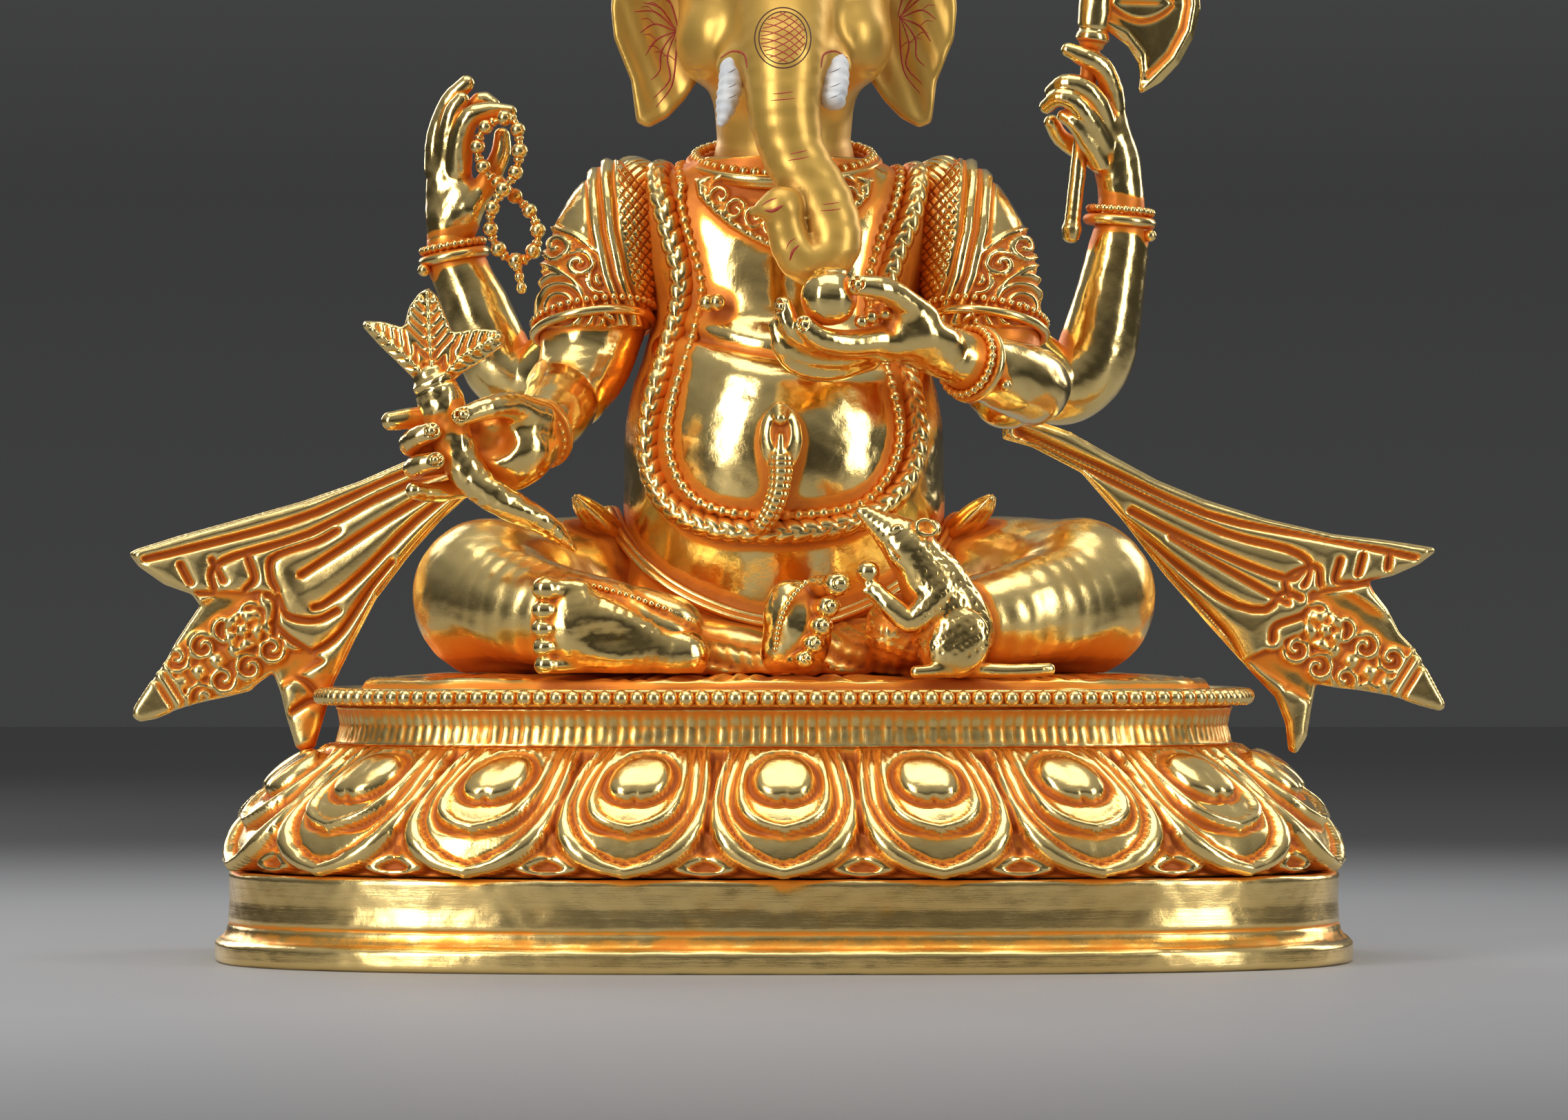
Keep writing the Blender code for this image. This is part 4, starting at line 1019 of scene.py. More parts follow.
def along_line(x, z, line):
    """Distance along a polyline of x and z, and signed distance beside it, for each point."""
    line = np.asarray(line, float)
    best = np.full(np.shape(x), 1e9)
    along = np.zeros(np.shape(x))
    beside = np.full(np.shape(x), 1e3)
    run = 0.0
    for (ax, az), (bx, bz) in zip(line[:-1], line[1:]):
        dx, dz = bx - ax, bz - az
        long = math.hypot(dx, dz)
        share = np.clip(((x - ax) * dx + (z - az) * dz) / long**2, 0, 1)
        ox, oz = x - ax - share * dx, z - az - share * dz
        far = np.hypot(ox, oz)
        sign = np.where(dx * oz - dz * ox > 0, 1.0, -1.0)
        near = far < best
        best = np.where(near, far, best)
        along = np.where(near, run + share * long, along)
        beside = np.where(near, far * sign, beside)
        run += long
    return along, beside


def border(along, beside, half, pitch):
    """A chased border: two raised edges with scrollwork between them."""
    inside = ramp(-np.abs(beside), -half - 0.3, -half + 0.3)
    edges = hump(np.abs(beside) - half + 0.7, 0, 0.5)
    return inside * (0.55 * scrollwork(along, beside, pitch, half - 1.6) - 0.35) + 0.75 * edges


def leg_form(side):
    hip = bent(((side * 30, 6, 95, 17), (side * 48, 0, 97, 19.5), (side * 64, -11, 97, 19.5),
                (side * 76, -19, 96, 19)))
    shin = bent(((side * 76, -22, 95, 18.6), (side * 73, -33, 93.5, 15.6), (side * 60, -45, 91, 13.2),
                 (side * 44, -52, 88.5, 11), (side * 30, -54, 87, 9)))

    def form(spots):
        body = melt(chain(spots, hip), chain(spots, shin), 5)
        knee = lump(spots, (side * 79, -22, 95.5), (18.0, 19.0, 19.6))
        body = melt(body, knee, 4)
        lap = lump(spots, (side * 14, -20, 82), (40, 31, 14), (18, 0, 0))
        body = melt(body, lap, 9)
        body = melt(body, lump(spots, (side * 60, -13, 78.5), (24, 24, 4.5)), 4)
        return np.maximum(body, 75.6 - spots[:, 2])

    return form


RIGHT_THIGH_BORDER = ((-47, 117), (-41, 108), (-31, 98), (-18, 91), (-3, 87.5))
LEFT_LAP_BORDER = ((9, 97), (20, 89), (33, 84), (46, 82))
FOLD_CENTRES = ((-52, 128), (56, 130))


def leg_relief(side):
    def relief(spots, normals):
        x, z = spots[:, 0], spots[:, 2]
        front = ramp(-normals[:, 1], -0.25, 0.35)
        centre = FOLD_CENTRES[0] if side < 0 else FOLD_CENTRES[1]
        reach = np.hypot(x - centre[0], z - centre[1])
        inner = ramp(-np.abs(x), -52, -36)
        line = RIGHT_THIGH_BORDER if side < 0 else LEFT_LAP_BORDER
        along, beside = along_line(x, z, line)
        bends = np.abs(beside) / (5.2 + 0.02 * along)
        raised = (1.1 * np.abs(np.sin(bends * math.pi)) ** 0.7 - 0.6) * inner * front
        on_border = front * ramp(-np.abs(beside), -4.6, -3.8) * (1.0 if side > 0 else 0.0)
        raised = raised * (1 - on_border) + border(along, beside, 3.6, 6.0) * on_border
        knee = hump(reach, 50, 2.2) * ramp(np.abs(x), 50, 62) * front
        raised += 0.9 * knee * ramp(-z, -92, -84)
        behind = ramp(normals[:, 1], 0.0, 0.5)
        raised += (behind * 0.55 * ramp(-np.abs(x), -58, -44)
                   * (np.abs(np.sin(np.arctan2(z - 75, np.abs(x) - 30) * 11)) - 0.5))
        ankle = ramp(-np.abs(x), -44, -36) * front
        hem_rows = np.abs(np.sin((x * side - 0.35 * z) * math.pi / 3.4))
        raised += ankle * ramp(-z, -86, -80) * 0.4 * (hem_rows - 0.6)
        return raised + 0.22 * wobble(spots, 18, 11) + 0.07 * wobble(spots, 5, 12)

    return relief


legs = []
for side, leg_name in ((-1, "right"), (1, "left")):
    span = (-103, 10) if side < 0 else (-10, 103)
    leg = modelled(leg_name + "_leg_and_skirt", leg_form(side), (span[0], -72, 74), (span[1], 30, 120),
                   0.85,
                   leg_relief(side))
    legs.append(place_piece(leg, cloth_gilding, [leg_name + "_leg"], reach=2.6))

# --- Girdle: the rolled upper edge of the skirt, which hangs from the hips under the belly and runs
# round the back in two cords, with a small upturned bow end on each hip. It is cast in one with the legs.


def closed_run(stations, count):
    tripled = np.concatenate([stations, stations, stations])
    return eased(tripled, 3 * count)[count:2 * count]


def front_of(pieces):
    """Returns a reader of the y, in mm, where the front of these pieces lies at x and z in mm."""
    graph = bpy.context.evaluated_depsgraph_get()
    trees = [mathutils.bvhtree.BVHTree.FromObject(piece, graph) for piece in pieces]

    def read(x, z):
        hits = [tree.ray_cast(Vector((x * MM, -0.2, z * MM)), Vector((0, 1, 0)))[0] for tree in trees]
        return min((hit[1] / MM for hit in hits if hit is not None), default=0.0)

    return read


hip_front = front_of([torso, *legs])
SKIRT_EDGE = ((-45.5, 117.5), (-43, 112.5), (-39.5, 107.5), (-34.5, 102.3), (-28.5, 97.8), (-21, 93.8),
              (-12, 90.4), (-3, 88.6), (7, 88.8),
              (16, 91.2), (25, 95.2), (33, 100.8), (40, 107.8), (44.5, 115))
skirt_stations = [(x, hip_front(x, z) - 0.9, z, 2.0) for x, z in SKIRT_EDGE]
hip_back = ((47.6, 2, 116, 2.4), (45, 20, 114, 2.8), (31, 36.5, 112, 3), (0, 42.5, 111, 3),
            (-31, 36.5, 112, 3), (-45, 20, 114, 2.8),
            (-47.6, 2, 117, 2.4))
skirt_run = closed_run(np.array([*skirt_stations, *hip_back]), 160)
girdle = led_tube("skirt_edge", skirt_run, 36, int(420 * FINE), cords(5, 0.8), closed=True)
bows = []
for side in (-1, 1):
    bow_path = [(side * 45.5, -12, 113, 3.2), (side * 50, -15, 116.5, 3.6), (side * 53, -18, 119.5, 2.6),
                (side * 54.5, -20, 121.5, 1.2)]
    bows.append(led_tube("girdle_bow", bow_path, 24, 40, cords(5, 0.7)))
place_piece(as_one(girdle, *bows), cloth_gilding, ["girdle"], reach=1.6)

# --- Feet: soles turned out to the front, five round toes in a row with cut nails, and an anklet of
# beads along the instep. Modelled in wax with the legs and cast in one with them.


def toe(spots, root, tip, radius):
    """One toe: a short stem and a round ball."""
    stem = chain(spots, [(*root, radius * 0.84), (*tip, radius * 0.8)])
    ball = lump(spots, tip, (radius * 1.06, radius, radius * 0.94))
    return melt(stem, ball, 0.7)


def right_foot_form(spots):
    arch = bent(((-53, -60.5, 87, 10.9), (-45, -61, 85, 9.7), (-36, -60, 82.4, 8.0),
                 (-28, -58.5, 80.4, 6.2)))
    thin = spots * np.float32([1, 1, 1])
    thin[:, 1] = -61 + (thin[:, 1] + 61) * 1.5
    sole = chain(thin, arch) / 1.3
    heel = lump(spots, (-26, -59.5, 80.4), (6.4, 6.2, 6.0))
    body = melt(sole, heel, 4)
    ball = lump(spots, (-54, -61, 91), (6.4, 5.6, 9.5), (0, 8, 0))
    body = melt(body, ball, 3)
    hollow = lump(spots, (-42, -70.5, 85), (11, 4.2, 5.2), (0, -4, 0))
    body = cut_in(body, hollow, 3)
    for z, x, radius in ((77.9, -61.2, 2.75), (82.4, -61.6, 2.85), (87.1, -61.9, 2.9), (91.9, -61.7, 3.0),
                         (97.5, -61.2, 3.4)):
        body = melt(body, toe(spots, (-52.5, -62, z * 0.96 + 3.4), (x, -65, z), radius), 0.6)
    return np.maximum(body, 75.8 - spots[:, 2])


def left_foot_form(spots):
    body = lump(spots, (3.5, -61, 88), (8.6, 7.4, 12.2), (0, 14, 0))
    body = melt(body, lump(spots, (-0.6, -60, 81), (5.5, 6, 6)), 3)
    for z, x, radius in ((98.6, 13.6, 3.4), (92.8, 11.4, 3.0), (87.9, 9.6, 2.85), (83.4, 7.6, 2.7),
                         (79.4, 5.2, 2.5)):
        body = melt(body, toe(spots, (x - 5.4, -62.5, z - 0.6), (x, -68.2, z), radius), 0.6)
        nail = lump(spots, (x + 0.9, -68.6 - radius * 0.8, z + 0.3), (radius * 0.5, 0.8, radius * 0.5))
        body = cut_in(body, nail - 0.15, 0.25)
        body = np.minimum(body, lump(spots, (x + 0.9, -68.2 - radius * 0.72, z + 0.2),
                                     (radius * 0.44, 0.7, radius * 0.42)))
    return np.maximum(body, 75.8 - spots[:, 2])


def soft_relief(size, depth, seed):
    return lambda spots, normals: (depth * wobble(spots, size, seed)
                                   + depth * 0.35 * wobble(spots, size / 4, seed + 1))


right_foot = modelled("right_foot_sole", right_foot_form, (-68, -72, 74), (-18, -50, 104), 0.42,
                      soft_relief(9, 0.12, 13))
instep = bent([(-54, -57.2, 99.4), (-46, -59, 97.4), (-38, -60.4, 95), (-30, -61.2, 92.2),
               (-24.6, -60.6, 89.4)], 12)
anklet = strung("right_anklet", instep, 19, 2.0, 1.9, bead_gilding)
place_piece(as_one(right_foot, anklet), skin_gilding, ["right_foot"], reach=1.5)
left_foot = modelled("left_foot_toes", left_foot_form, (-12, -74, 74), (22, -50, 106), 0.38,
                     soft_relief(9, 0.12, 15))
instep = bent([(5.5, -68.2, 99), (2.6, -68.6, 96), (0, -68.4, 92), (-1.6, -67.4, 87), (-2.2, -66, 82)],
              12)
anklet = strung("left_anklet", instep, 15, 1.8, 1.8, bead_gilding)
place_piece(as_one(left_foot, anklet), skin_gilding, ["left_foot"], reach=1.3)

# --- Sleeves and arms: short fitted sleeves with a cross-hatched strip and ribs beside the chest, a
# scroll panel above a beaded hem, and plain burnished skin below. Each arm is cast in one.


RIB = ((48.6, 205), (47.6, 192), (45.2, 180), (41.4, 168), (39, 160))
SCROLL_LINE = ((-68, 191), (-57.5, 186.6), (-51.7, 182.2), (-47.2, 176.4), (-43, 168.5))
HEM_HIGH = 168.4


def sleeve_relief(side, wider):
    """Chased work of one sleeve, read by how far out and how high each point is."""

    def relief(along, around, points):
        x = np.abs(points[..., 0]) / wider
        y, z = points[..., 1], points[..., 2]
        heights, reaches = np.array(RIB)[::-1, 1], np.array(RIB)[::-1, 0]
        out = x - np.interp(z, heights, reaches)
        front = ramp(-y, -9, -3)
        cloth = ramp(z, HEM_HIGH - 2.2, HEM_HIGH - 1.6)
        hatch = np.minimum(np.abs(np.sin((out * 1.25 + z) * math.pi / 2.9)),
                           np.abs(np.sin((out * 1.25 - z) * math.pi / 2.9)))
        strip = ramp(out, -12.4, -11.8) * ramp(-out, 4.6, 5.2)
        raised = strip * (0.75 * ramp(hatch, 0.1, 0.5) - 0.4)
        for place in (-3.6, 0.0):
            raised += 0.85 * np.exp(-(((out - place - 1.8) / 1.15) ** 4)) - 0.55 * hump(out, place, 0.5)
        raised -= 0.55 * hump(out, 3.6, 0.5)
        run, beside = along_line(-x, z, SCROLL_LINE)
        band = ramp(-np.abs(beside), -4.9, -4.5) * ramp(out, 3.2, 4.0)
        vine = 1.5 * scrollwork(run + 2.0, beside, 7.4, 4.3) - 0.45
        raised = raised * (1 - band) + vine * band
        for edge in (-4.7, 4.7):
            raised += 0.95 * hump(beside, edge, 0.7) * ramp(out, 2.6, 3.4)
        arcs = np.hypot(x - 58.6, z - (HEM_HIGH + 3.4))
        below = np.interp(x, (43, 47.2, 51.7, 57.5, 68), (168.5, 176.4, 182.2, 186.6, 191)) - z
        under = ramp(below, 6.6, 7.4)
        raised += under * ramp(out, 3.0, 3.6) * (0.6 * np.sin(arcs * math.pi / 1.35))
        raised = (np.clip(raised, -1.2, 1.8) * (0.4 + 0.6 * front) + 0.9) * cloth
        raised += ramp(y, 2, 8) * cloth * 0.5 * (np.abs(np.sin(around * 7 + along * 0.12)) - 0.5)
        return raised + 0.16 * wobble(points, 11, 17) + 0.05 * wobble(points, 3.5, 18)

    return relief


SLEEVE = ((37, 3.5, 204, 9.5), (41, 3, 200, 12.8), (47, -1, 188, 14.4), (50, -5, 172, 14.6),
          (52.6, -10, 158, 12.4), (56.4, -18, 148.6, 10))
for side, arm_name in ((-1, "right"), (1, "left")):
    wider = 1.06 if side > 0 else 1.0
    path = [(side * x * wider, y, z, radius) for x, y, z, radius in SLEEVE]
    relief = sleeve_relief(side, wider)
    sleeve = led_tube(arm_name + "_upper_arm", path, int(330 * FINE), int(300 * FINE), relief,
                      up=(side, 0, 0.3))
    hem_centre = np.array((side * 50.6 * wider, -6.6, HEM_HIGH - 1.6))
    hem_ring = with_radius(ring_path(hem_centre, (side * -2.2, -4.6, -17), (15.6, 15.4), 80), 1.35)
    hem_roll = led_tube(arm_name + "_sleeve_hem", hem_ring, 14, 180, closed=True)
    bead_ring = ring_path(hem_centre + (side * -0.4, 0.7, 3.0), (side * -2.2, -4.6, -17), (16.4, 16.2),
                          80)
    hem_beads = strung(arm_name + "_hem_beads", bead_ring, 42, 2.0, 2.1, bead_gilding, closed=True)
    place_piece(sleeve, skin_gilding, [arm_name + "_sleeve"], reach=1.5)
    place_piece(as_one(hem_roll, hem_beads), bead_gilding, [arm_name + "_armlet"], reach=1.2)


def skin_relief(seed):
    return lambda along, around, points: (0.2 * wobble(points, 12, seed)
                                          + 0.05 * wobble(points, 4, seed + 1))


ARMS = {
    "right_forearm": ((-58.5, -14, 150.5, 9.8), (-58.5, -21, 147, 9.9), (-60.5, -31, 143, 9.2),
                      (-64.5, -41, 138, 7.6),
                      (-67, -45, 135.5, 6.8)),
    "left_forearm": ((65.5, -14, 150.5, 10), (64.5, -22, 151.5, 10.2), (57.5, -33, 153.5, 9.5),
                     (48, -43, 156.5, 7.8),
                     (43, -47, 158.5, 6.9)),
    "rear_right_arm": ((-45, 8, 184, 7.5), (-50, 12, 174, 9), (-59, 22, 160, 10),
                       (-67.5, 27.5, 153.6, 10.4),
                       (-76, 29, 157.5, 10.2), (-81.5, 29, 170, 9.4), (-88.5, 29, 186, 7.7),
                       (-90, 28.8, 192, 6.6)),
    "rear_left_arm": ((48, 8, 184, 7.5), (54, 12, 174, 9), (64, 22, 160, 10), (74, 27.5, 152.6, 10.5),
                      (82.5, 29, 158, 10.6), (86.6, 29, 171, 9.9), (90.4, 28.6, 191, 8),
                      (91, 28.8, 197, 6.8)),
}
for seed, (arm_name, path) in enumerate(ARMS.items()):
    arm = led_tube(arm_name + "_skin", path, int(120 * FINE), int(170 * FINE), skin_relief(20 + seed),
                   up=(0, 1, 0.2))
    place_piece(arm, skin_gilding, [arm_name], reach=3.0)

# --- Head and trunk: one hollow casting painted in matte gold, with full cheeks, a domed brow and the
# trunk curled to the figure's right, where its lips rest over the sweet.

TRUNK = bent((
    (0, -27, 250, 12.6), (0, -35, 238, 11.4), (0, -39, 229, 10.1), (0.1, -41, 221.8, 9.3),
    (1.9, -42, 212.6, 8.3),
    (4.8, -43, 206.2, 8.1), (8.5, -44, 200, 8.1), (11.7, -45.5, 193.5, 7.8), (13.2, -47.5, 187.6, 7.1),
    (11.2, -49, 183.2, 6.4), (7.0, -50, 181.6, 6.0), (3.0, -50.8, 184.3, 5.6), (0.8, -51.2, 189.2, 5.1),
    (0.2, -51.6, 193.6, 5.0), (-0.8, -52, 196.2, 4.9),
), 3)


def head_form(spots):
    skull = lump(spots, (0, -1, 262), (29.5, 27.5, 26.5))
    for side in (-1, 1):
        skull = melt(skull, lump(spots, (side * 12, -4, 272), (16, 21, 16)), 8)
        skull = melt(skull, lump(spots, (side * 16.5, -12, 243), (12.2, 16.5, 13.5)), 7)
        skull = melt(skull, lump(spots, (side * 14, -19.5, 258), (7, 5.5, 4)), 5)
    jaw = lump(spots, (0, -10, 231), (17, 17, 10))
    body = melt(skull, jaw, 6)
    neck = chain(spots, [(0, 0, 209, 19.5), (0, -1, 217, 17.8), (0, -2, 228, 18.5)])
    body = melt(body, neck, 5)
    for side in (-1, 1):
        body = cut_in(body, lump(spots, (side * 14.2, -24.8, 261.5), (6.2, 2.2, 3.0)), 2.5)
        body = cut_in(body,
                      chain(spots, [(side * 16.2, -28.6, 233.2, 0.9), (side * 20, -24.6, 232.4, 0.9),
                                    (side * 23.5, -18, 233.6, 0.5)]), 1.4)
        gum = chain(spots, [(side * 11, -24, 240, 5.2), (side * 13.2, -31.5, 234.5, 4.6)])
        body = melt(body, gum, 3)
    trunk = chain(spots, TRUNK)
    first = chain(spots, TRUNK[:20])
    body = melt(body, first, 7)
    lips = melt(chain(spots, [(-0.8, -52, 196, 4.8), (-4.5, -52.5, 195.8, 3.0),
                              (-8.3, -52.6, 194.8, 0.9)]),
                chain(spots, [(-0.8, -52, 196.5, 4.4), (1.6, -51.5, 197.4, 3.3), (2.6, -51, 198, 1.6)]),
                2)
    trunk = melt(trunk, lips, 1.5)
    return melt(body, trunk, 0.8)


def head_relief(spots, normals):
    x, y, z = spots.T
    raised = 0.10 * wobble(spots, 16, 30)
    ends = (math.pi * 2) / 5.4
    down = ramp(-y, 30, 38) * ramp(-z, -236, -228)
    raised += 0.10 * down * np.sin(z * ends)
    return raised


face_paint = Finish("matte_gold_face_paint")
face_place = face_paint.place()
face_cloud = face_paint.noise(face_place, 30.0, 4.0)
face_grain = face_paint.noise(face_place, 1500.0, 2.0)
face_strokes = face_paint.noise(face_paint.place((1, 1, 0.12)), 420.0, 4.0)
face_shade = (face_paint.stored("shade") + face_paint.stored("hollow") * 0.7).step(0.55, 1.15)
face_color = face_paint.mix(face_cloud.step(0.3, 0.7), paler((0.83, 0.51, 0.11)),
                            paler((0.76, 0.44, 0.085)))
face_color = face_paint.mix(face_shade * 0.55, face_color, paler((0.50, 0.22, 0.035)))
face_bump = face_paint.bump(face_strokes, 0.00008, 0.5, face_paint.bump(face_grain, 0.00003, 0.5))
face_paint.set(Base_Color=face_color, Metallic=0.55, Normal=face_bump,
               Roughness=(0.36 + (face_strokes - 0.5) * 0.18 + (face_cloud - 0.5) * 0.06
                          + face_shade * 0.1).clamp())
head = modelled("head_and_trunk", head_form, (-34, -62, 172), (34, 30, 291), 0.95, head_relief)
place_piece(head, face_paint.material, ["head"], reach=4.0)

# --- Ears: broad cast flaps, painted like the face in front and left rough and orange along the thick
# back edge. They are fixed behind the cheeks.


class Chart:
    """Numbers spread over an upright plate by x and z in mm, read back between its points."""

    def __init__(self, low, high, step, make, soften=0):
        self.low = low
        self.step = step
        x, z = np.meshgrid(*[np.arange(a, b + step, step) for a, b in zip(low, high)], indexing="ij")
        self.values = make(x, z).astype(np.float32)
        for _ in range(soften):
            padded = np.pad(self.values, 1, mode="edge")
            self.values = ((padded[:-2, 1:-1] + padded[2:, 1:-1] + padded[1:-1, :-2] + padded[1:-1, 2:])
                           / 4)

    def __call__(self, x, z):
        a = np.clip((x - self.low[0]) / self.step, 0, self.values.shape[0] - 1.001)
        b = np.clip((z - self.low[1]) / self.step, 0, self.values.shape[1] - 1.001)
        i, j = a.astype(int), b.astype(int)
        a, b = a - i, b - j
        v = self.values
        return ((v[i, j] * (1 - a) + v[i + 1, j] * a) * (1 - b)
                + (v[i, j + 1] * (1 - a) + v[i + 1, j + 1] * a) * b)


def outside(x, z, outline):
    """Distance outside a closed outline of x and z, less than 0 within it."""
    points = np.asarray(outline, float)
    best = np.full(x.shape, 1e9)
    within = np.zeros(x.shape, bool)
    for (ax, az), (bx, bz) in zip(points, np.roll(points, -1, 0)):
        dx, dz = bx - ax, bz - az
        share = np.clip(((x - ax) * dx + (z - az) * dz) / (dx * dx + dz * dz), 0, 1)
        best = np.minimum(best, (x - ax - share * dx) ** 2 + (z - az - share * dz) ** 2)
        if az != bz:
            within ^= ((az > z) != (bz > z)) & (x < dx * (z - az) / dz + ax)
    return np.sqrt(best) * np.where(within, -1, 1)


def carved(name, outline, middle, half, front, step, back=None, soft=2.0, soften=6):
    """An upright plate with a rounded edge. front(x, z) raises its face towards -Y, back the other.

    middle is the Y of its mid plane and half its half thickness, each a number or a chart.
    """
    outline = np.asarray(outline, float)
    low, high = outline.min(axis=0) - 2, outline.max(axis=0) + 2
    edge = Chart(low, high, 0.3, lambda x, z: outside(x, z, outline), soften)
    height = Chart(low, high, 0.3, front, 1)
    rear = Chart(low, high, 0.3, back, 1) if back else None
    ends = [(0, 0), (1, 0), (0, 1), (1, 1)]
    corners = np.array([[low[0] + (high[0] - low[0]) * a, low[1] + (high[1] - low[1]) * b] for a,
                        b in ends])

    def level(value, x, z):
        return value(x, z) if callable(value) else value

    if callable(middle):
        sampled = middle(*[axis.ravel()
                           for axis in np.meshgrid(*[np.linspace(low[i], high[i], 30) for i in (0, 1)])])
        span = (float(sampled.min()), float(sampled.max()))
    else:
        span = (middle, middle)
    thick = half if not callable(half) else 4.0

    def form(spots):
        x, y, z = spots.T
        flat = edge(x, z)
        slab = np.abs(y - level(middle, x, z)) - level(half, x, z)
        return -melt(-flat, -slab, soft)

    def relief(spots, normals):
        x, y, z = spots.T
        lift = height(x, z) * ramp(-normals[:, 1], 0.1, 0.6)
        if rear is not None:
            lift = lift + rear(x, z) * ramp(normals[:, 1], 0.1, 0.6)
        return lift * ramp(-edge(x, z), 0.0, 1.0)

    return modelled(name, form, (low[0], span[0] - thick - 1.5, low[1]),
                    (high[0], span[1] + thick + 1.5, high[1]),
                    step, relief)


EAR = (
    (22, 252), (22.5, 240), (22.8, 233), (26.5, 227.5), (31, 222.8), (36, 220.2), (39.2, 221.6),
    (39.8, 226),
    (40.6, 232.5), (43, 238.5), (45.2, 244), (46, 252), (45.4, 260), (42, 266), (35, 268), (27, 266.5),
    (23, 262),
)
for side, ear_name in ((-1, "right"), (1, "left")):
    outline = [(side * x, z) for x, z in EAR]

    def dished(x, z, side=side):
        rim = outside(x, z, [(side * a, b) for a, b in EAR])
        dish = (1.1 * np.exp(rim / 3.2)
                - 1.4 * np.exp(-(((np.abs(x) - 30) / 7) ** 2 + ((z - 246) / 13) ** 2)))
        return dish + 0.25 * np.sin(x * 0.9 + z * 0.35)

    def ragged(x, z):
        return (0.5 * np.sin(x * 1.9 + 0.8 * np.sin(z * 1.3))
                + 0.5 * np.sin(z * 1.7 + 0.9 * np.sin(x * 1.1)))

    ear = carved(ear_name + "_ear_flap", outline, -1.0, 1.9, dished, 0.55, ragged)
    place_piece(ear, face_paint.material, [ear_name + "_ear"], reach=2.0)

# --- Tusks and brushwork: the tusks are painted ivory white, the one on the figure's left broken off
# short. Fine red and brown brush lines mark eyes, brow, ears, tusk roots and the folds of the trunk.

ivory = Finish("ivory_white_paint")
ivory_cloud = ivory.noise(ivory.place(), 160.0, 5.0)
ivory_streak = ivory.noise(ivory.place((1, 1, 0.25)), 700.0, 3.0)
ivory_color = ivory.mix(ivory_cloud.step(0.35, 0.75), paler((0.86, 0.86, 0.84)),
                        paler((0.70, 0.72, 0.74)))
ivory_color = ivory.mix(ivory.stored("hollow").step(0.55, 0.8) * 0.5, ivory_color,
                        paler((0.52, 0.42, 0.20)))
ivory.set(Base_Color=ivory_color, Roughness=(0.34 + ivory_streak * 0.2).clamp(),
          Normal=ivory.bump(ivory_streak, 0.00015, 0.5))


def chipped(seed, depth):
    return lambda along, around, points: (depth * wobble(points, 4, seed)
                                          + 0.12 * np.sin(along * 2.4 + np.cos(around)))


RIGHT_TUSK = ((-12.4, -30, 237, 2.9), (-13.6, -34.5, 234, 3.0), (-14.2, -37.5, 228, 3.1),
              (-15.2, -39.5, 222.6, 2.5),
              (-16.5, -40.6, 218.6, 1.1))
LEFT_TUSK = ((12.4, -30, 237, 3.1), (13.5, -34.5, 234, 3.4), (13.2, -37.5, 229, 3.6),
             (12.5, -39, 225, 3.5))
for tusk_name, path, seed in (("right", RIGHT_TUSK, 31), ("left", LEFT_TUSK, 33)):
    tusk = led_tube(tusk_name + "_tusk_ivory", path, 72, 90, chipped(seed, 0.16), up=(1, 0, 0))
    place_piece(tusk, ivory.material, [tusk_name + "_tusk"], reach=0.8)


def brush_paint(name, thick, thin, rough):
    paint = Finish(name)
    load = paint.noise(paint.place(), 900.0, 3.0)
    paint.set(Base_Color=paint.mix(load.step(0.35, 0.7), paler(thick), paler(thin)),
              Roughness=(rough + (load - 0.5) * 0.3).clamp(), Normal=paint.bump(load, 0.00006, 0.5))
    return paint.material


red_line = brush_paint("red_brush_line", (0.42, 0.028, 0.022), (0.56, 0.075, 0.045), 0.5)
dark_line = brush_paint("brown_brush_line", (0.055, 0.012, 0.008), (0.12, 0.03, 0.018), 0.45)
white_line = brush_paint("eye_white_paint", (0.82, 0.81, 0.76), (0.74, 0.72, 0.66), 0.35)


def oval_line(centre, radii, turns=40, start=0.0, end=2 * math.pi):
    """Points of an oval in x and z."""
    sweep = np.linspace(start, end, turns)
    return [(centre[0] + radii[0] * math.cos(a), centre[1] + radii[1] * math.sin(a)) for a in sweep]


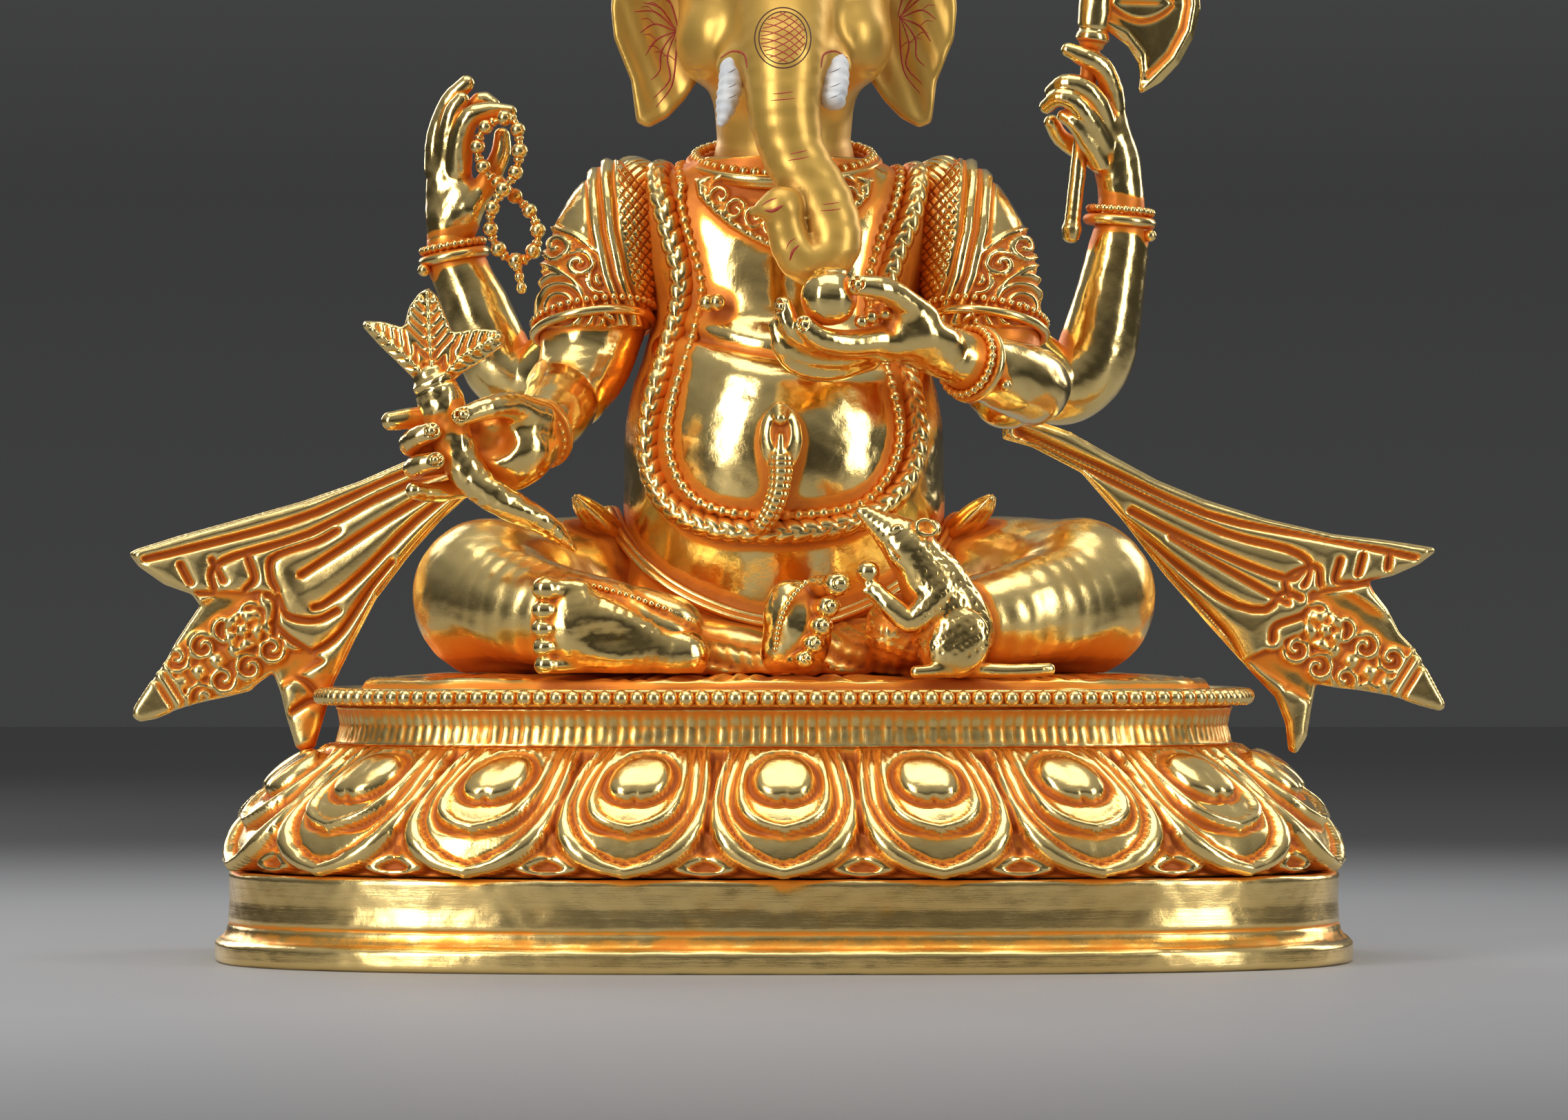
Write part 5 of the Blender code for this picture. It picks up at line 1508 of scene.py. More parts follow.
def brushed(name, strokes, wall, finish, body="statue"):
    """Brush strokes of x, z and half width laid on the front of other pieces, as thin raised lines.

    Each stroke is (points, half width at the middle, share of it left at the ends, lift).
    """
    graph = bpy.context.evaluated_depsgraph_get()
    trees = [mathutils.bvhtree.BVHTree.FromObject(piece, graph) for piece in wall]
    points, faces = [], []
    for line, half, taper, lift in strokes:
        line = np.asarray(line, float)
        length = np.concatenate([[0.0], np.cumsum(np.linalg.norm(np.diff(line, axis=0), axis=1))])
        count = max(6, int(length[-1] / 0.45))
        place = np.linspace(0, length[-1], count)
        smooth = eased(np.column_stack([line, length]), 12 * len(line))
        x, z = (np.interp(place, smooth[:, 2], smooth[:, i]) for i in (0, 1))
        dx, dz = np.gradient(x), np.gradient(z)
        size = np.hypot(dx, dz) + 1e-9
        width = half * (taper + (1 - taper) * np.sin(np.linspace(0.0, math.pi, count)) ** 0.6)
        rows = []
        for share, out in ((-1, 0.02), (0, lift), (1, 0.02), (0, -0.35)):
            for i in range(count):
                spot = (x[i] - dz[i] / size[i] * width[i] * share,
                        z[i] + dx[i] / size[i] * width[i] * share)
                hits = [tree.ray_cast(Vector((spot[0] * MM, -0.2, spot[1] * MM)), Vector((0, 1, 0)))
                        for tree in trees]
                hits = [hit for hit in hits if hit[0] is not None]
                if hits:
                    hit = min(hits, key=lambda found: found[3])
                    rows.append(np.array(hit[0] / MM + hit[1] * out))
                else:
                    rows.append(rows[-1].copy() if rows else np.array([spot[0], 0.0, spot[1]]))
        start = sum(len(p) for p in points)
        points.append(np.array(rows))
        for a in range(4):
            b = (a + 1) % 4
            faces += [(start + a * count + i, start + b * count + i, start + b * count + i + 1,
                       start + a * count + i + 1)
                      for i in range(count - 1)]
        faces += [(start, start + count, start + 2 * count, start + 3 * count),
                  (start + 4 * count - 1, start + 3 * count - 1, start + 2 * count - 1,
                   start + count - 1)]
    made = plain_mesh(name, np.concatenate(points), np.array(faces))
    bpy.context.view_layer.update()
    recalculated(made)
    made.data.materials.append(finish)
    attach(made, body)
    return made


def recalculated(piece):
    """Turns every separate part of a mesh face out."""
    shape = bmesh.new()
    shape.from_mesh(piece.data)
    bmesh.ops.recalc_face_normals(shape, faces=shape.faces)
    shape.to_mesh(piece.data)
    shape.free()
    return piece


brow_mark = [(oval_line((-0.3, 240.6), (7.3, 8.1)), 0.17, 1.0, 0.1),
             (oval_line((-0.3, 240.6), (6.2, 7.0)), 0.16, 1.0, 0.1)]
for shift in np.arange(-8.0, 8.1, 2.05):
    for lean in (-1, 1):
        line = []
        for t in np.linspace(-8, 8, 30):
            x, z = t * 0.83, shift + lean * t * 0.45 + 0.03 * t * t * lean
            if (x / 6.0) ** 2 + (z / 6.8) ** 2 < 1:
                line.append((x - 0.3, z + 240.6))
        if len(line) > 3:
            brow_mark.append((line, 0.15, 0.8, 0.08))
dark_strokes = brow_mark[:2]
red_strokes = brow_mark[2:]
for x0, x1, z, lean in ((-3.0, 2.4, 226.0, 0.3), (1.5, 6.0, 210.6, 0.5), (10.0, 14.2, 197.2, 0.3)):
    for drop, grow in ((0, 0), (-1.7, 0.5)):
        red_strokes.append(([(x0 - grow, z + drop - lean), ((x0 + x1) / 2, z + drop - 0.1),
                             (x1 + grow, z + drop + lean)], 0.15, 0.3, 0.08))
red_strokes += [([(0.6, 185.2), (1.4, 186.9), (2.9, 188.0)], 0.15, 0.3, 0.08),
                ([(1.5, 182.2), (2.3, 184.6), (3.9, 186.2)], 0.34, 0.2, 0.1),
                ([(-5.0, 195.2), (-2.8, 195.0), (-0.2, 196.4)], 0.42, 0.15, 0.1),
                ([(-5.8, 196.4), (-4.0, 197.6), (-1.8, 198.4)], 0.2, 0.2, 0.08)]
VEINS = (((-1.0, 1.2), (-4.5, 6.0), (-9.0, 7.5)), ((-1.0, 0.8), (-6.0, 5.0), (-11.5, 5.0)),
         ((-1.2, 0.2), (-6, 1.8), (-9.8, -0.6)),
         ((-1.0, -0.4), (-5.5, -2.4), (-8.4, -6.6)),
         ((-0.8, -0.6), (-4.2, -5.5), (-4.6, -10.5), (-6.8, -13.2)),
         ((-0.6, -0.8), (-2.6, -7), (-2.0, -13), (-6.2, -18)),
         ((-0.2, -0.8), (-0.4, -8), (-1.6, -15), (-5.6, -20.4)),
         ((0.2, 0.8), (-1.6, 7), (-4.5, 11)))
for side, x0, z0 in ((-1, -28.4, 246.0), (1, 30.6, 249.6)):
    for vein in VEINS:
        red_strokes.append(([(x0, z0)] + [(x0 - side * a * 1.0, z0 + b) for a, b in vein], 0.24, 0.35,
                            0.08))
        for a, b in vein[1:2]:
            red_strokes.append(([(x0 - side * a, z0 + b), (x0 - side * (a - 1.8), z0 + b + 1.4),
                                 (x0 - side * (a - 3.6), z0 + b + 1.2)], 0.14, 0.3, 0.08))
    for rise, half in ((2.5, 0.26), (0.0, 0.2)):
        eye_x, eye_z = side * 14.0, 260.2
        lid = [(eye_x - side * 5.2, eye_z - 1.0), (eye_x - side * 1.5, eye_z + rise * 0.62 - 0.4),
               (eye_x + side * 2.0, eye_z + rise * 0.6 - 0.4),
               (eye_x + side * 6.0, eye_z + 0.4)]
        dark_strokes.append((lid, half, 0.4, 0.3))
    dark_strokes.append(([(eye_x - side * 5.6, eye_z + 4.4), (eye_x, eye_z + 6.4),
                          (eye_x + side * 7, eye_z + 4.2)], 0.55, 0.15, 0.12))
    dark_strokes.append(([(eye_x - 0.95, eye_z + 0.2), (eye_x + 0.95, eye_z + 0.2)], 0.95, 0.1, 0.3))
    red_strokes.append(([(side * 9.6, 233.0), (side * 10.4, 236.6), (side * 13.4, 237.8),
                         (side * 16.6, 236.2)], 0.26, 0.4, 0.12))
white_strokes = [([(side * 9.4, 259.7), (side * 14, 260.3), (side * 19.2, 260.5)], 1.15, 0.05, 0.18)
                 for side in (-1, 1)]
wall = [head] + [bpy.data.objects[name + "_ear_flap"] for name in ("right", "left")]
brushed("eye_whites", white_strokes, wall, white_line)
brushed("red_brush_lines", red_strokes, wall, red_line)
brushed("brown_brush_lines", dark_strokes, wall, dark_line)
tusk_marks = []
for side in (-1, 1):
    for z in (232.5, 228.5, 225.6):
        tusk_marks.append(([(side * 13.2 - 1.3, z - 0.5), (side * 13.4, z), (side * 13.6 + 1.2, z + 0.7)],
                           0.1, 0.2, 0.06))
brushed("tusk_hairlines", tusk_marks,
        [bpy.data.objects[name + "_tusk_ivory"] for name in ("right", "left")], dark_line)

# --- Crown: a lift-off band of chased gilt copper with five pointed leaves, each with a boss in a
# scroll bed, between two rows of beads. It only rests on the brow.

crown_gilding = gilding("crown_gilding", FIRE_GOLD, RED_GROUND, (1, 1, 1), worn=0.03, gloss=0.2)
crown_columns = int(560 * FINE)
crown_round = np.arange(crown_columns) / crown_columns * 2 - 1
leaf_share = np.where(np.abs(crown_round) < 0.625, np.abs(2 * ((crown_round / 0.25 + 0.5) % 1.0) - 1),
                      1.0)
crown_tall = 12 + (1 - leaf_share**1.6) * 19
crown_angle = crown_round * math.pi - math.pi / 2
crown_rows = int(84 * FINE)


def crown_ring(share, out):
    flare = 3.4 * share**1.4
    radius_x, radius_y = 30.6 + flare + out, 31.6 + flare + out
    return np.stack([radius_x * np.cos(crown_angle), -4 + radius_y * np.sin(crown_angle),
                     268.5 + share * crown_tall], -1)


crown_grid = np.array([crown_ring(share, 1.4) for share in np.linspace(0, 1, crown_rows)])
crown_out = np.stack([np.cos(crown_angle), np.sin(crown_angle), 0 * crown_angle], -1)[None]
along = crown_round[None, :] * 104 + np.zeros((crown_rows, 1))
up = crown_grid[..., 2] - 268.5
leaf_across = (((crown_round / 0.25 + 0.5) % 1.0) - 0.5) * 26
leaf_across = np.where(np.abs(crown_round) < 0.625, leaf_across, 99.0)[None, :] + 0 * up
below_top = crown_tall[None, :] - up
boss = ((leaf_across / 3.4) ** 2 + ((up - 14.5) / 4.4) ** 2)
inner_boss = ((leaf_across / 1.9) ** 2 + ((up - 14.5) / 2.6) ** 2)
crown_relief = 0.6 * scrollwork(along, up - 5.5, 6.5, 2.9) * ramp(-np.abs(up - 5.5), -3.0, -2.6)
crown_relief += 0.7 * hump(below_top, 1.2, 0.7)
leaf_zone = ramp(up, 10.4, 11.2) * ramp(below_top, 2.2, 2.8)
crown_relief += leaf_zone * 0.5 * scrollwork(up * 1.0, np.abs(leaf_across) - 5.0, 6.0, 3.4)
crown_relief += (0.9 * ramp(-boss, -1.15, -0.9) - 0.5 * ramp(-boss, -0.8, -0.6)
                 + 1.1 * np.sqrt(np.clip(1 - inner_boss, 0, 1)))
crown_relief = np.clip(crown_relief, 0, 2.0)
crown_outer = crown_grid + crown_out * crown_relief[..., None]
crown_inner = np.array([crown_ring(share, 0.1) for share in np.linspace(1, 0, 12)])
crown_points = np.concatenate([crown_outer, crown_inner])
crown = looped("five_leaf_crown", crown_points)
crown_beads = []
for rise, size in ((1.2, 2.2), (9.7, 2.0)):
    ring = crown_ring(rise / 22, 2.0)[::4]
    ring[:, 2] = 268.5 + rise
    crown_beads.append(strung("crown_beads", ring, int(212 / size), size, size, crown_gilding,
                              closed=True))
place_piece(as_one(turned_out(crown), *crown_beads), crown_gilding, ["crown"], body="crown", reach=1.4)

# --- Topknot: the hair drawn up in strands through a bound ring and capped with a flaming jewel. It
# is cast with the skull and gilded.

KNOT = ((287.6, 12.2), (290, 13.6), (294, 14.3), (299, 13.6), (304, 11.6), (308.5, 9.2), (311.5, 5.6),
        (312.6, 5.0),
        (313.6, 6.6), (315.6, 7.3), (318, 7.2), (320.5, 6.2), (323.6, 4.4), (326.6, 2.5), (329, 0.9),
        (329.8, 0.1))
knot_rows = eased(KNOT, int(150 * FINE))
knot_turn = np.linspace(0, 2 * math.pi, int(200 * FINE), endpoint=False)
knot_z = knot_rows[:, :1]
strand = np.abs(np.sin(knot_turn * 11 + (knot_z - 288) * 0.11)) ** 0.7 - 0.5
strand = (1.1 * strand * ramp(-knot_z, -311, -308)
          + 0.35 * np.sin(knot_turn * 8)[None] * ramp(knot_z, 314, 316) * ramp(-knot_z, -328, -325))
rings = -0.8 * hump(knot_z, 305.6, 0.6) - 0.8 * hump(knot_z, 302.6, 0.6) + 0.9 * hump(knot_z, 304.1, 0.9)
knot_radius = np.maximum(knot_rows[:, 1:2] + strand * ramp(knot_rows[:, 1:2], 1, 5) + rings, 0.06)
knot_grid = np.stack([knot_radius * np.cos(knot_turn), -2 + knot_radius * np.sin(knot_turn),
                      knot_z + 0 * knot_turn], -1)
knot_floor = np.stack([0.05 * np.cos(knot_turn), -2 + 0.05 * np.sin(knot_turn), 287.6 + 0 * knot_turn],
                      -1)[None]
knot_points = np.concatenate([knot_floor, knot_grid])
topknot = turned_out(looped("topknot_hair", knot_points))
place_piece(topknot, crown_gilding, ["topknot"], reach=1.5)

# --- Hands and bracelets: cast hands with long soft fingers and cut nails, each wrist in a bead row and
# a plain ring with a knob. The front ones hold a radish and a sweet, the rear ones beads and an axe.


def finger(spots, *stations):
    return chain(spots, [(x, y, z, radius * 1.12) for x, y, z, radius in bent(stations, 3)])


def with_nail(body, spots, tip, facing, radius):
    """Cuts a nail into a fingertip on the side it faces."""
    facing = np.asarray(facing, float) / np.linalg.norm(facing)
    at = np.asarray(tip, float) + facing * radius * 0.82
    groove = lump(spots, at, (radius * 0.78,) * 3)
    body = cut_in(body, groove, 0.3)
    return np.minimum(body, lump(spots, at - facing * radius * 0.34, (radius * 0.62,) * 3))


def right_hand_form(spots):
    body = lump(spots, (-71, -50, 135), (8.8, 7.0, 9.6))
    body = melt(body, lump(spots, (-73, -49.5, 130.5), (9.2, 6.6, 8.2), (0, 25, 0)), 4)
    body = melt(body, chain(spots, [(-62.5, -42, 138, 7.0), (-67, -48, 133.5, 7.4)]), 5)
    body = cut_in(body, lump(spots, (-75.5, -60.5, 136), (6.6, 7.2, 5.2)), 3)
    thumb = finger(spots, (-63.5, -49, 142, 4.2), (-70.5, -57, 144.6, 3.3), (-76.2, -63.4, 143.9, 2.7),
                   (-83, -67.2, 141.5, 2.2))
    thumb = with_nail(thumb, spots, (-82.2, -67, 141.7), (-0.2, -1, 0.35), 2.2)
    body = melt(body, thumb, 2.6)
    index = finger(spots, (-75, -50, 139, 3.4), (-86, -50.5, 141.5, 2.9), (-95, -52, 141.7, 2.6),
                   (-101.6, -53.4, 140.9, 2.2))
    middle = finger(spots, (-77, -50, 135.5, 3.3), (-88, -51.5, 136, 2.9), (-96, -56.5, 134.6, 2.7),
                    (-94.6, -63, 136.2, 2.5),
                    (-90.4, -65.4, 137.8, 2.2))
    middle = with_nail(middle, spots, (-90.8, -65.4, 137.8), (0.25, -1, 0.1), 2.2)
    ring = finger(spots, (-77, -50, 131, 3.2), (-87, -51.5, 130, 2.7), (-95, -56.5, 128.4, 2.5),
                  (-93.6, -63, 129.4, 2.4),
                  (-89.4, -65.4, 130.4, 2.1))
    ring = with_nail(ring, spots, (-89.8, -65.4, 130.4), (0.25, -1, 0.1), 2.1)
    little = finger(spots, (-75, -50, 126.5, 2.9), (-84, -52.5, 123.6, 2.5), (-91.5, -57.5, 122.2, 2.2),
                    (-95.2, -61, 122.8, 1.9))
    for one in (index, middle, ring, little):
        body = melt(body, one, 1.2)
    return body


def left_hand_form(spots):
    body = lump(spots, (31, -54, 161.4), (13.5, 7.4, 5.4), (0, 4, 0))
    body = melt(body, chain(spots, [(44, -46, 158, 7.0), (38, -50, 160, 6.8)]), 4)
    body = melt(body, lump(spots, (33, -57, 166), (8, 5, 4.6), (0, -24, 0)), 3)
    dip = lump(spots, (14, -61, 174), (9.4, 9.4, 9.4))
    front = finger(spots, (24, -58.5, 161.5, 3.5), (16, -62.6, 160.6, 3.1), (9.6, -65.6, 161.8, 2.8),
                   (5.4, -66.6, 165.2, 2.2))
    front = with_nail(front, spots, (5.8, -66.5, 164.9), (-0.5, -0.9, 0.3), 2.2)
    second = finger(spots, (22, -56, 160.8, 3.3), (11, -60.5, 160.2, 2.9), (2.6, -63.4, 164, 2.6),
                    (-0.2, -63.6, 170.2, 2.1))
    second = with_nail(second, spots, (-0.1, -63.5, 169.8), (-0.7, -0.7, 0.1), 2.1)
    third = finger(spots, (22, -54, 158.6, 3.1), (10, -58, 156.8, 2.7), (0.8, -61, 159.6, 2.4),
                   (-1.9, -61, 165.2, 1.9))
    fourth = finger(spots, (22, -52, 157, 2.9), (11, -55.6, 153.6, 2.5), (2.6, -59, 155.4, 2.2),
                    (-1.2, -60.4, 159.8, 1.8))
    thumb = finger(spots, (36, -56.5, 167.2, 3.7), (29.6, -62, 172.4, 3.1), (24.4, -65.6, 174.6, 2.8),
                   (18.6, -67.4, 175.2, 2.3))
    thumb = with_nail(thumb, spots, (19.2, -67.2, 175.1), (-0.2, -1, 0.3), 2.3)
    for one in (front, second, third, fourth):
        body = melt(body, one, 1.3)
    return melt(cut_in(body, dip, 1.5), thumb, 1.6)


def rear_right_hand_form(spots):
    body = lump(spots, (-90, 28.5, 204.5), (6.6, 4.6, 12.4), (0, 3, 0))
    body = melt(body, chain(spots, [(-90, 29, 190, 6.4), (-90, 28.6, 197, 6.2)]), 4)
    body = melt(body, lump(spots, (-86, 26, 201), (5, 4.4, 7.5)), 3)
    back = finger(spots, (-94, 29.5, 211, 2.9), (-93.6, 29.5, 220, 2.7), (-90.4, 29, 229, 2.4),
                  (-85.6, 28.4, 234.4, 1.9))
    second = finger(spots, (-91, 28, 212, 3.0), (-90.2, 26, 221, 2.7), (-88.8, 25, 226.4, 2.4),
                    (-86.9, 24.8, 229.6, 1.8))
    index = finger(spots, (-87.6, 26, 211, 3.1), (-86.6, 23.5, 219.5, 2.8), (-84.4, 22.2, 224.6, 2.6),
                   (-79, 21.8, 226.2, 2.3),
                   (-73.9, 21.6, 226.0, 1.9))
    third = finger(spots, (-89, 31, 212, 2.8), (-86, 31, 223, 2.6), (-82, 30.4, 229.4, 2.4),
                   (-78.6, 29.6, 228.4, 1.9))
    thumb = finger(spots, (-84.5, 25, 200, 3.3), (-79.6, 26, 208, 2.8), (-76.4, 27, 215, 2.5),
                   (-76, 27, 220, 2.0))
    for one in (back, second, index, third, thumb):
        body = melt(body, one, 1.1)
    return body


def rear_left_hand_form(spots):
    body = chain(spots,
                 bent(((91.2, 29, 195, 6.4), (91, 29, 204, 6.2), (89.8, 28.6, 213, 6.3),
                       (87.8, 27, 222.5, 5.2)), 3))
    index = finger(spots, (88.6, 27, 224, 3.2), (88.2, 24, 232, 2.9), (85.4, 21.4, 238.2, 2.6),
                   (80.8, 19.6, 240.6, 2.4), (76.4, 19.2, 242.6, 1.8))
    middle = finger(spots, (87, 24.5, 220.6, 3.1), (84.4, 20, 228, 2.7), (80.2, 18, 232.4, 2.5),
                    (75.4, 18.4, 233.6, 2.2), (72.2, 21.4, 231.6, 1.9))
    third = finger(spots, (85.6, 23.6, 217, 3.0), (82, 19, 223.4, 2.6), (78, 17.2, 228.2, 2.4),
                   (73.8, 17.8, 229.6, 2.1), (70.6, 20.4, 227.4, 1.8))
    little = finger(spots, (85, 24, 212.6, 2.7), (81.6, 20.2, 218, 2.3), (78.4, 18.6, 222.6, 2.1),
                    (75.2, 19.6, 224.8, 1.7))
    thumb = finger(spots, (86.5, 33, 213, 3.2), (80.4, 32, 216.4, 2.6), (74.8, 29.5, 219.6, 2.2),
                   (72.2, 26.5, 223.6, 1.9))
    for one in (index, middle, third, little, thumb):
        body = melt(body, one, 1.1)
    shaft = chain(spots, [(76.5, 24, 186, 2.75), (84.2, 24, 256, 2.75)])
    return cut_in(body, shaft, 0.4)


HANDS = (
    ("right_hand", right_hand_form, (-106, -72, 116), (-56, -36, 150)),
    ("left_hand", left_hand_form, (-6, -72, 148), (52, -38, 181)),
    ("rear_right_hand", rear_right_hand_form, (-100, 14, 184), (-68, 38, 240)),
    ("rear_left_hand", rear_left_hand_form, (66, 12, 189), (101, 42, 248)),
)
for seed, (hand_name, form, low, high) in enumerate(HANDS):
    hand = modelled("cast_" + hand_name, form, low, high, 0.46, soft_relief(8, 0.1, 40 + seed))
    place_piece(hand, skin_gilding, [hand_name], reach=1.5)

WRISTS = (
    ("front_right_bracelet", (-64.2, -40.5, 138.2), (-4.5, -10, -5), (8.8, 8.8), -1, (-57.4, -37, 145.4)),
    ("front_left_bracelet", (49.5, -41.5, 156), (-9, -9, 3), (9.0, 9.0), -1, (57.4, -45, 150.4)),
    ("rear_right_bracelet", (-88.9, 29, 187.5), (-3.2, 0, 17), (8.4, 8.0), 1, (-97.0, 24.8, 183.6)),
    ("rear_left_bracelet", (90.6, 28.6, 197), (1.4, 0, 17), (8.5, 8.1), 1, (98.7, 25.4, 193.0)),
)
for ring_name, centre, normal, radii, way, knob in WRISTS:
    normal = np.asarray(normal, float) / np.linalg.norm(normal)
    plain = led_tube(ring_name + "_ring", with_radius(ring_path(centre, normal, radii, 60), 1.45), 16,
                     150, closed=True)
    row = ring_path(np.asarray(centre) + normal * 2.9, normal, (radii[0] - 0.2, radii[1] - 0.2), 60)
    beads = strung(ring_name + "_beads", row, 26, 2.3, 2.5, bead_gilding, closed=True)
    backing = led_tube(ring_name + "_backing", with_radius(row, 0.8), 10, 120, closed=True)
    knob_beads = strung(ring_name + "_knob",
                        [np.asarray(knob) - (0, 0.6, 0), np.asarray(knob) + (0, 0.6, 0)], 2, 3.4, 3.6,
                        bead_gilding)
    place_piece(as_one(plain, beads, backing, knob_beads), bead_gilding, [ring_name], reach=1.0)

# --- Offerings: a white radish with three veined leaves tied at the neck, and a round sweet with a few
# small ones beside it in the palm. All solid casts, soldered into the hands.

ROOT = ((-91.2, -58, 152.5, 4.6), (-90.2, -58, 150.4, 5.6), (-88.6, -58.2, 146.2, 5.9),
        (-86.6, -58.5, 139.8, 5.5), (-83.8, -58.8, 131.6, 5.2),
        (-79.3, -60, 125, 4.5), (-72, -60.2, 119.7, 4.1), (-64, -57.6, 115.6, 3.5),
        (-58, -54.6, 111.4, 2.4), (-54.3, -52.4, 107.6, 0.8))


def root_relief(along, around, points):
    creases = -0.3 * hump(along, 3.4, 0.5) + 0.35 * hump(along, 1.2, 1.0)
    return creases + 0.22 * wobble(points, 6, 50) + 0.07 * wobble(points, 2, 51)


radish = led_tube("radish_body", ROOT, int(110 * FINE), int(200 * FINE), root_relief, up=(0, -1, 0))
place_piece(radish, skin_gilding, ["radish_root"], reach=2.0)

LEAVES = (
    (-95.2, 151.4), (-99.4, 155.6), (-104.2, 160.2), (-108.6, 165), (-108.2, 166.6), (-103.5, 166.4),
    (-98.8, 165.0),
    (-97.8, 165.2), (-96.6, 170.2), (-94.2, 173.6), (-91.8, 175.2), (-89.6, 173.2), (-87.4, 168.2),
    (-85.6, 163.8),
    (-84.4, 163.6), (-79, 164.6), (-74, 164.2), (-71.6, 162.6), (-73.0, 159.8), (-77.4, 156.4),
    (-83.2, 152.8), (-86, 150.2),
    (-87.4, 148.6), (-93.6, 148.6),
)
LEAF_RIBS = (((-90.4, 150), (-97.6, 157.6), (-107.4, 165.4)),
             ((-90.2, 150), (-91.2, 160), (-92.0, 173.6)),
             ((-89.8, 150), (-83, 157.2), (-73, 162.6)))


def leaf_height(x, z):
    best = np.full(x.shape, 1e3)
    raised = np.zeros(x.shape)
    for rib in LEAF_RIBS:
        along, beside = along_line(x, z, rib)
        veins = np.abs(np.sin((along - 1.1 * np.abs(beside)) * math.pi / 3.1))
        own = 1.35 * hump(beside, 0, 0.7) + 1.0 * (ramp(veins, 0.18, 0.62) - 0.65)
        own = own - 0.012 * beside**2
        nearer = np.abs(beside) < best
        raised = np.where(nearer, own, raised)
        best = np.minimum(best, np.abs(beside))
    return raised * ramp(z, 150, 154)


def leaf_middle(x, z):
    return -59.0 + 0.10 * np.clip(z - 155, 0, 30) - 0.018 * (np.abs(x + 90.5)) ** 1.4


leaf_chart = Chart((-112, 145), (-68, 178), 0.5, leaf_middle)
leaves = carved("radish_leaf_spray", LEAVES, leaf_chart, 1.3, leaf_height, 0.4, leaf_height, soft=1.2,
                soften=3)
place_piece(leaves, skin_gilding, ["radish_leaves"], reach=1.2)


def sweet_form(spots):
    body = lump(spots, (11.6, -62.8, 172.3), (7.3, 7.3, 7.3))
    body = melt(body, lump(spots, (12, -61, 178.9), (4.4, 4.4, 1.5)), 0.8)
    for x, y, z, radius in ((22.4, -61.5, 167.6, 2.1), (25.8, -60.5, 168.4, 1.9),
                            (28.6, -59.5, 167.6, 1.6), (24.2, -59, 170.2, 1.7),
                            (19.8, -63.5, 166.2, 1.8)):
        body = melt(body, lump(spots, (x, y, z), (radius, radius, radius)), 0.7)
    return body


sweet = modelled("sweet_and_nuggets", sweet_form, (2, -72, 162), (32, -53, 186), 0.42,
                 soft_relief(7, 0.14, 52))
place_piece(sweet, skin_gilding, ["laddu"], reach=1.6)

# --- Collar: a bead choker round the neck and, below it, a pointed pectoral chased with scrolls and
# beads. Both are cast in one with the chest.

CHOKER = ((0, -1.5, 212.6), (0, -0.28, 1), (23.4, 21.6))
choker_path = ring_path(*CHOKER, 90)
choker = led_tube("choker_band", with_radius(ring_path((0, -1.6, 210.6), (0, -0.28, 1), (24.2, 22.2), 90),
                                             1.9), 18, 240,
                  cords(3, 0.5), closed=True)
choker_beads = strung("choker_beads", choker_path, 46, 3.1, 3.3, bead_gilding, closed=True)
place_piece(as_one(choker, choker_beads), bead_gilding, ["neck_beads"], reach=1.3)

PECTORAL = ((-24, 206), (-22.8, 200.6), (-19, 196.4), (-14.6, 192.6), (-9.6, 189.4), (-4.6, 187),
            (0, 185.6), (4.6, 187), (9.6, 189.4),
            (14.6, 192.6), (19, 196.4), (22.8, 200.6), (24, 206), (15, 208), (0, 206.6), (-15, 208))


def pectoral_height(x, z):
    rim = outside(x, z, PECTORAL)
    along, beside = along_line(np.abs(x), z, ((0, 192.2), (10, 196.2), (21, 203.4)))
    raised = 1.25 * scrollwork(along, beside + 0.2, 5.4, 3.6) - 0.35
    drops = np.abs(np.sin(along * math.pi / 2.9)) ** 0.5 * hump(rim, -1.6, 1.0)
    raised = raised * ramp(-rim, 2.4, 3.0) + 1.3 * drops
    boss = (x / 2.7) ** 2 + ((z - 191.6) / 3.3) ** 2
    return np.where(boss < 1.25, 1.6 * np.sqrt(np.clip(1.1 - boss, 0, 1)), raised)


chest_chart = Chart((-40, 105), (40, 212), 0.8, lambda x, z: torso_surface(x, z) - 0.6)
pectoral = carved("chased_pectoral", PECTORAL, chest_chart, 1.5, pectoral_height, 0.42, soft=1.2,
                  soften=4)
place_piece(pectoral, bead_gilding, ["collar_necklace"], reach=1.1)

# --- Serpent and bead garland: a scaled serpent worn as a sacred thread, over both shoulders and under
# the belly, with its hood raised on the navel, and inside it a long string of beads.


def draped(route, lift, radius):
    """Stations laid on the torso along a route of x and z, which closes behind the neck."""
    route = np.asarray(route, float)
    front = [(x, torso_surface(x, z) - lift, z, radius) for x, z in route]
    right, left = route[0], route[-1]
    over = [(left[0] + 0.6, -4, left[1] + 5.5), (left[0] - 1.5, 6, left[1] + 5.8),
            (left[0] - 6, 17, left[1] + 1.5), (left[0] - 14, 24.5, left[1] - 4),
            (0, 30 + lift, left[1] - 9)]
    over += [(right[0] + 14, 24.5, right[1] - 4), (right[0] + 6, 17, right[1] + 1.5),
             (right[0] + 1.5, 6, right[1] + 5.8), (right[0] - 0.6, -4, right[1] + 5.5)]
    return np.array(front + [(*spot, radius) for spot in over])


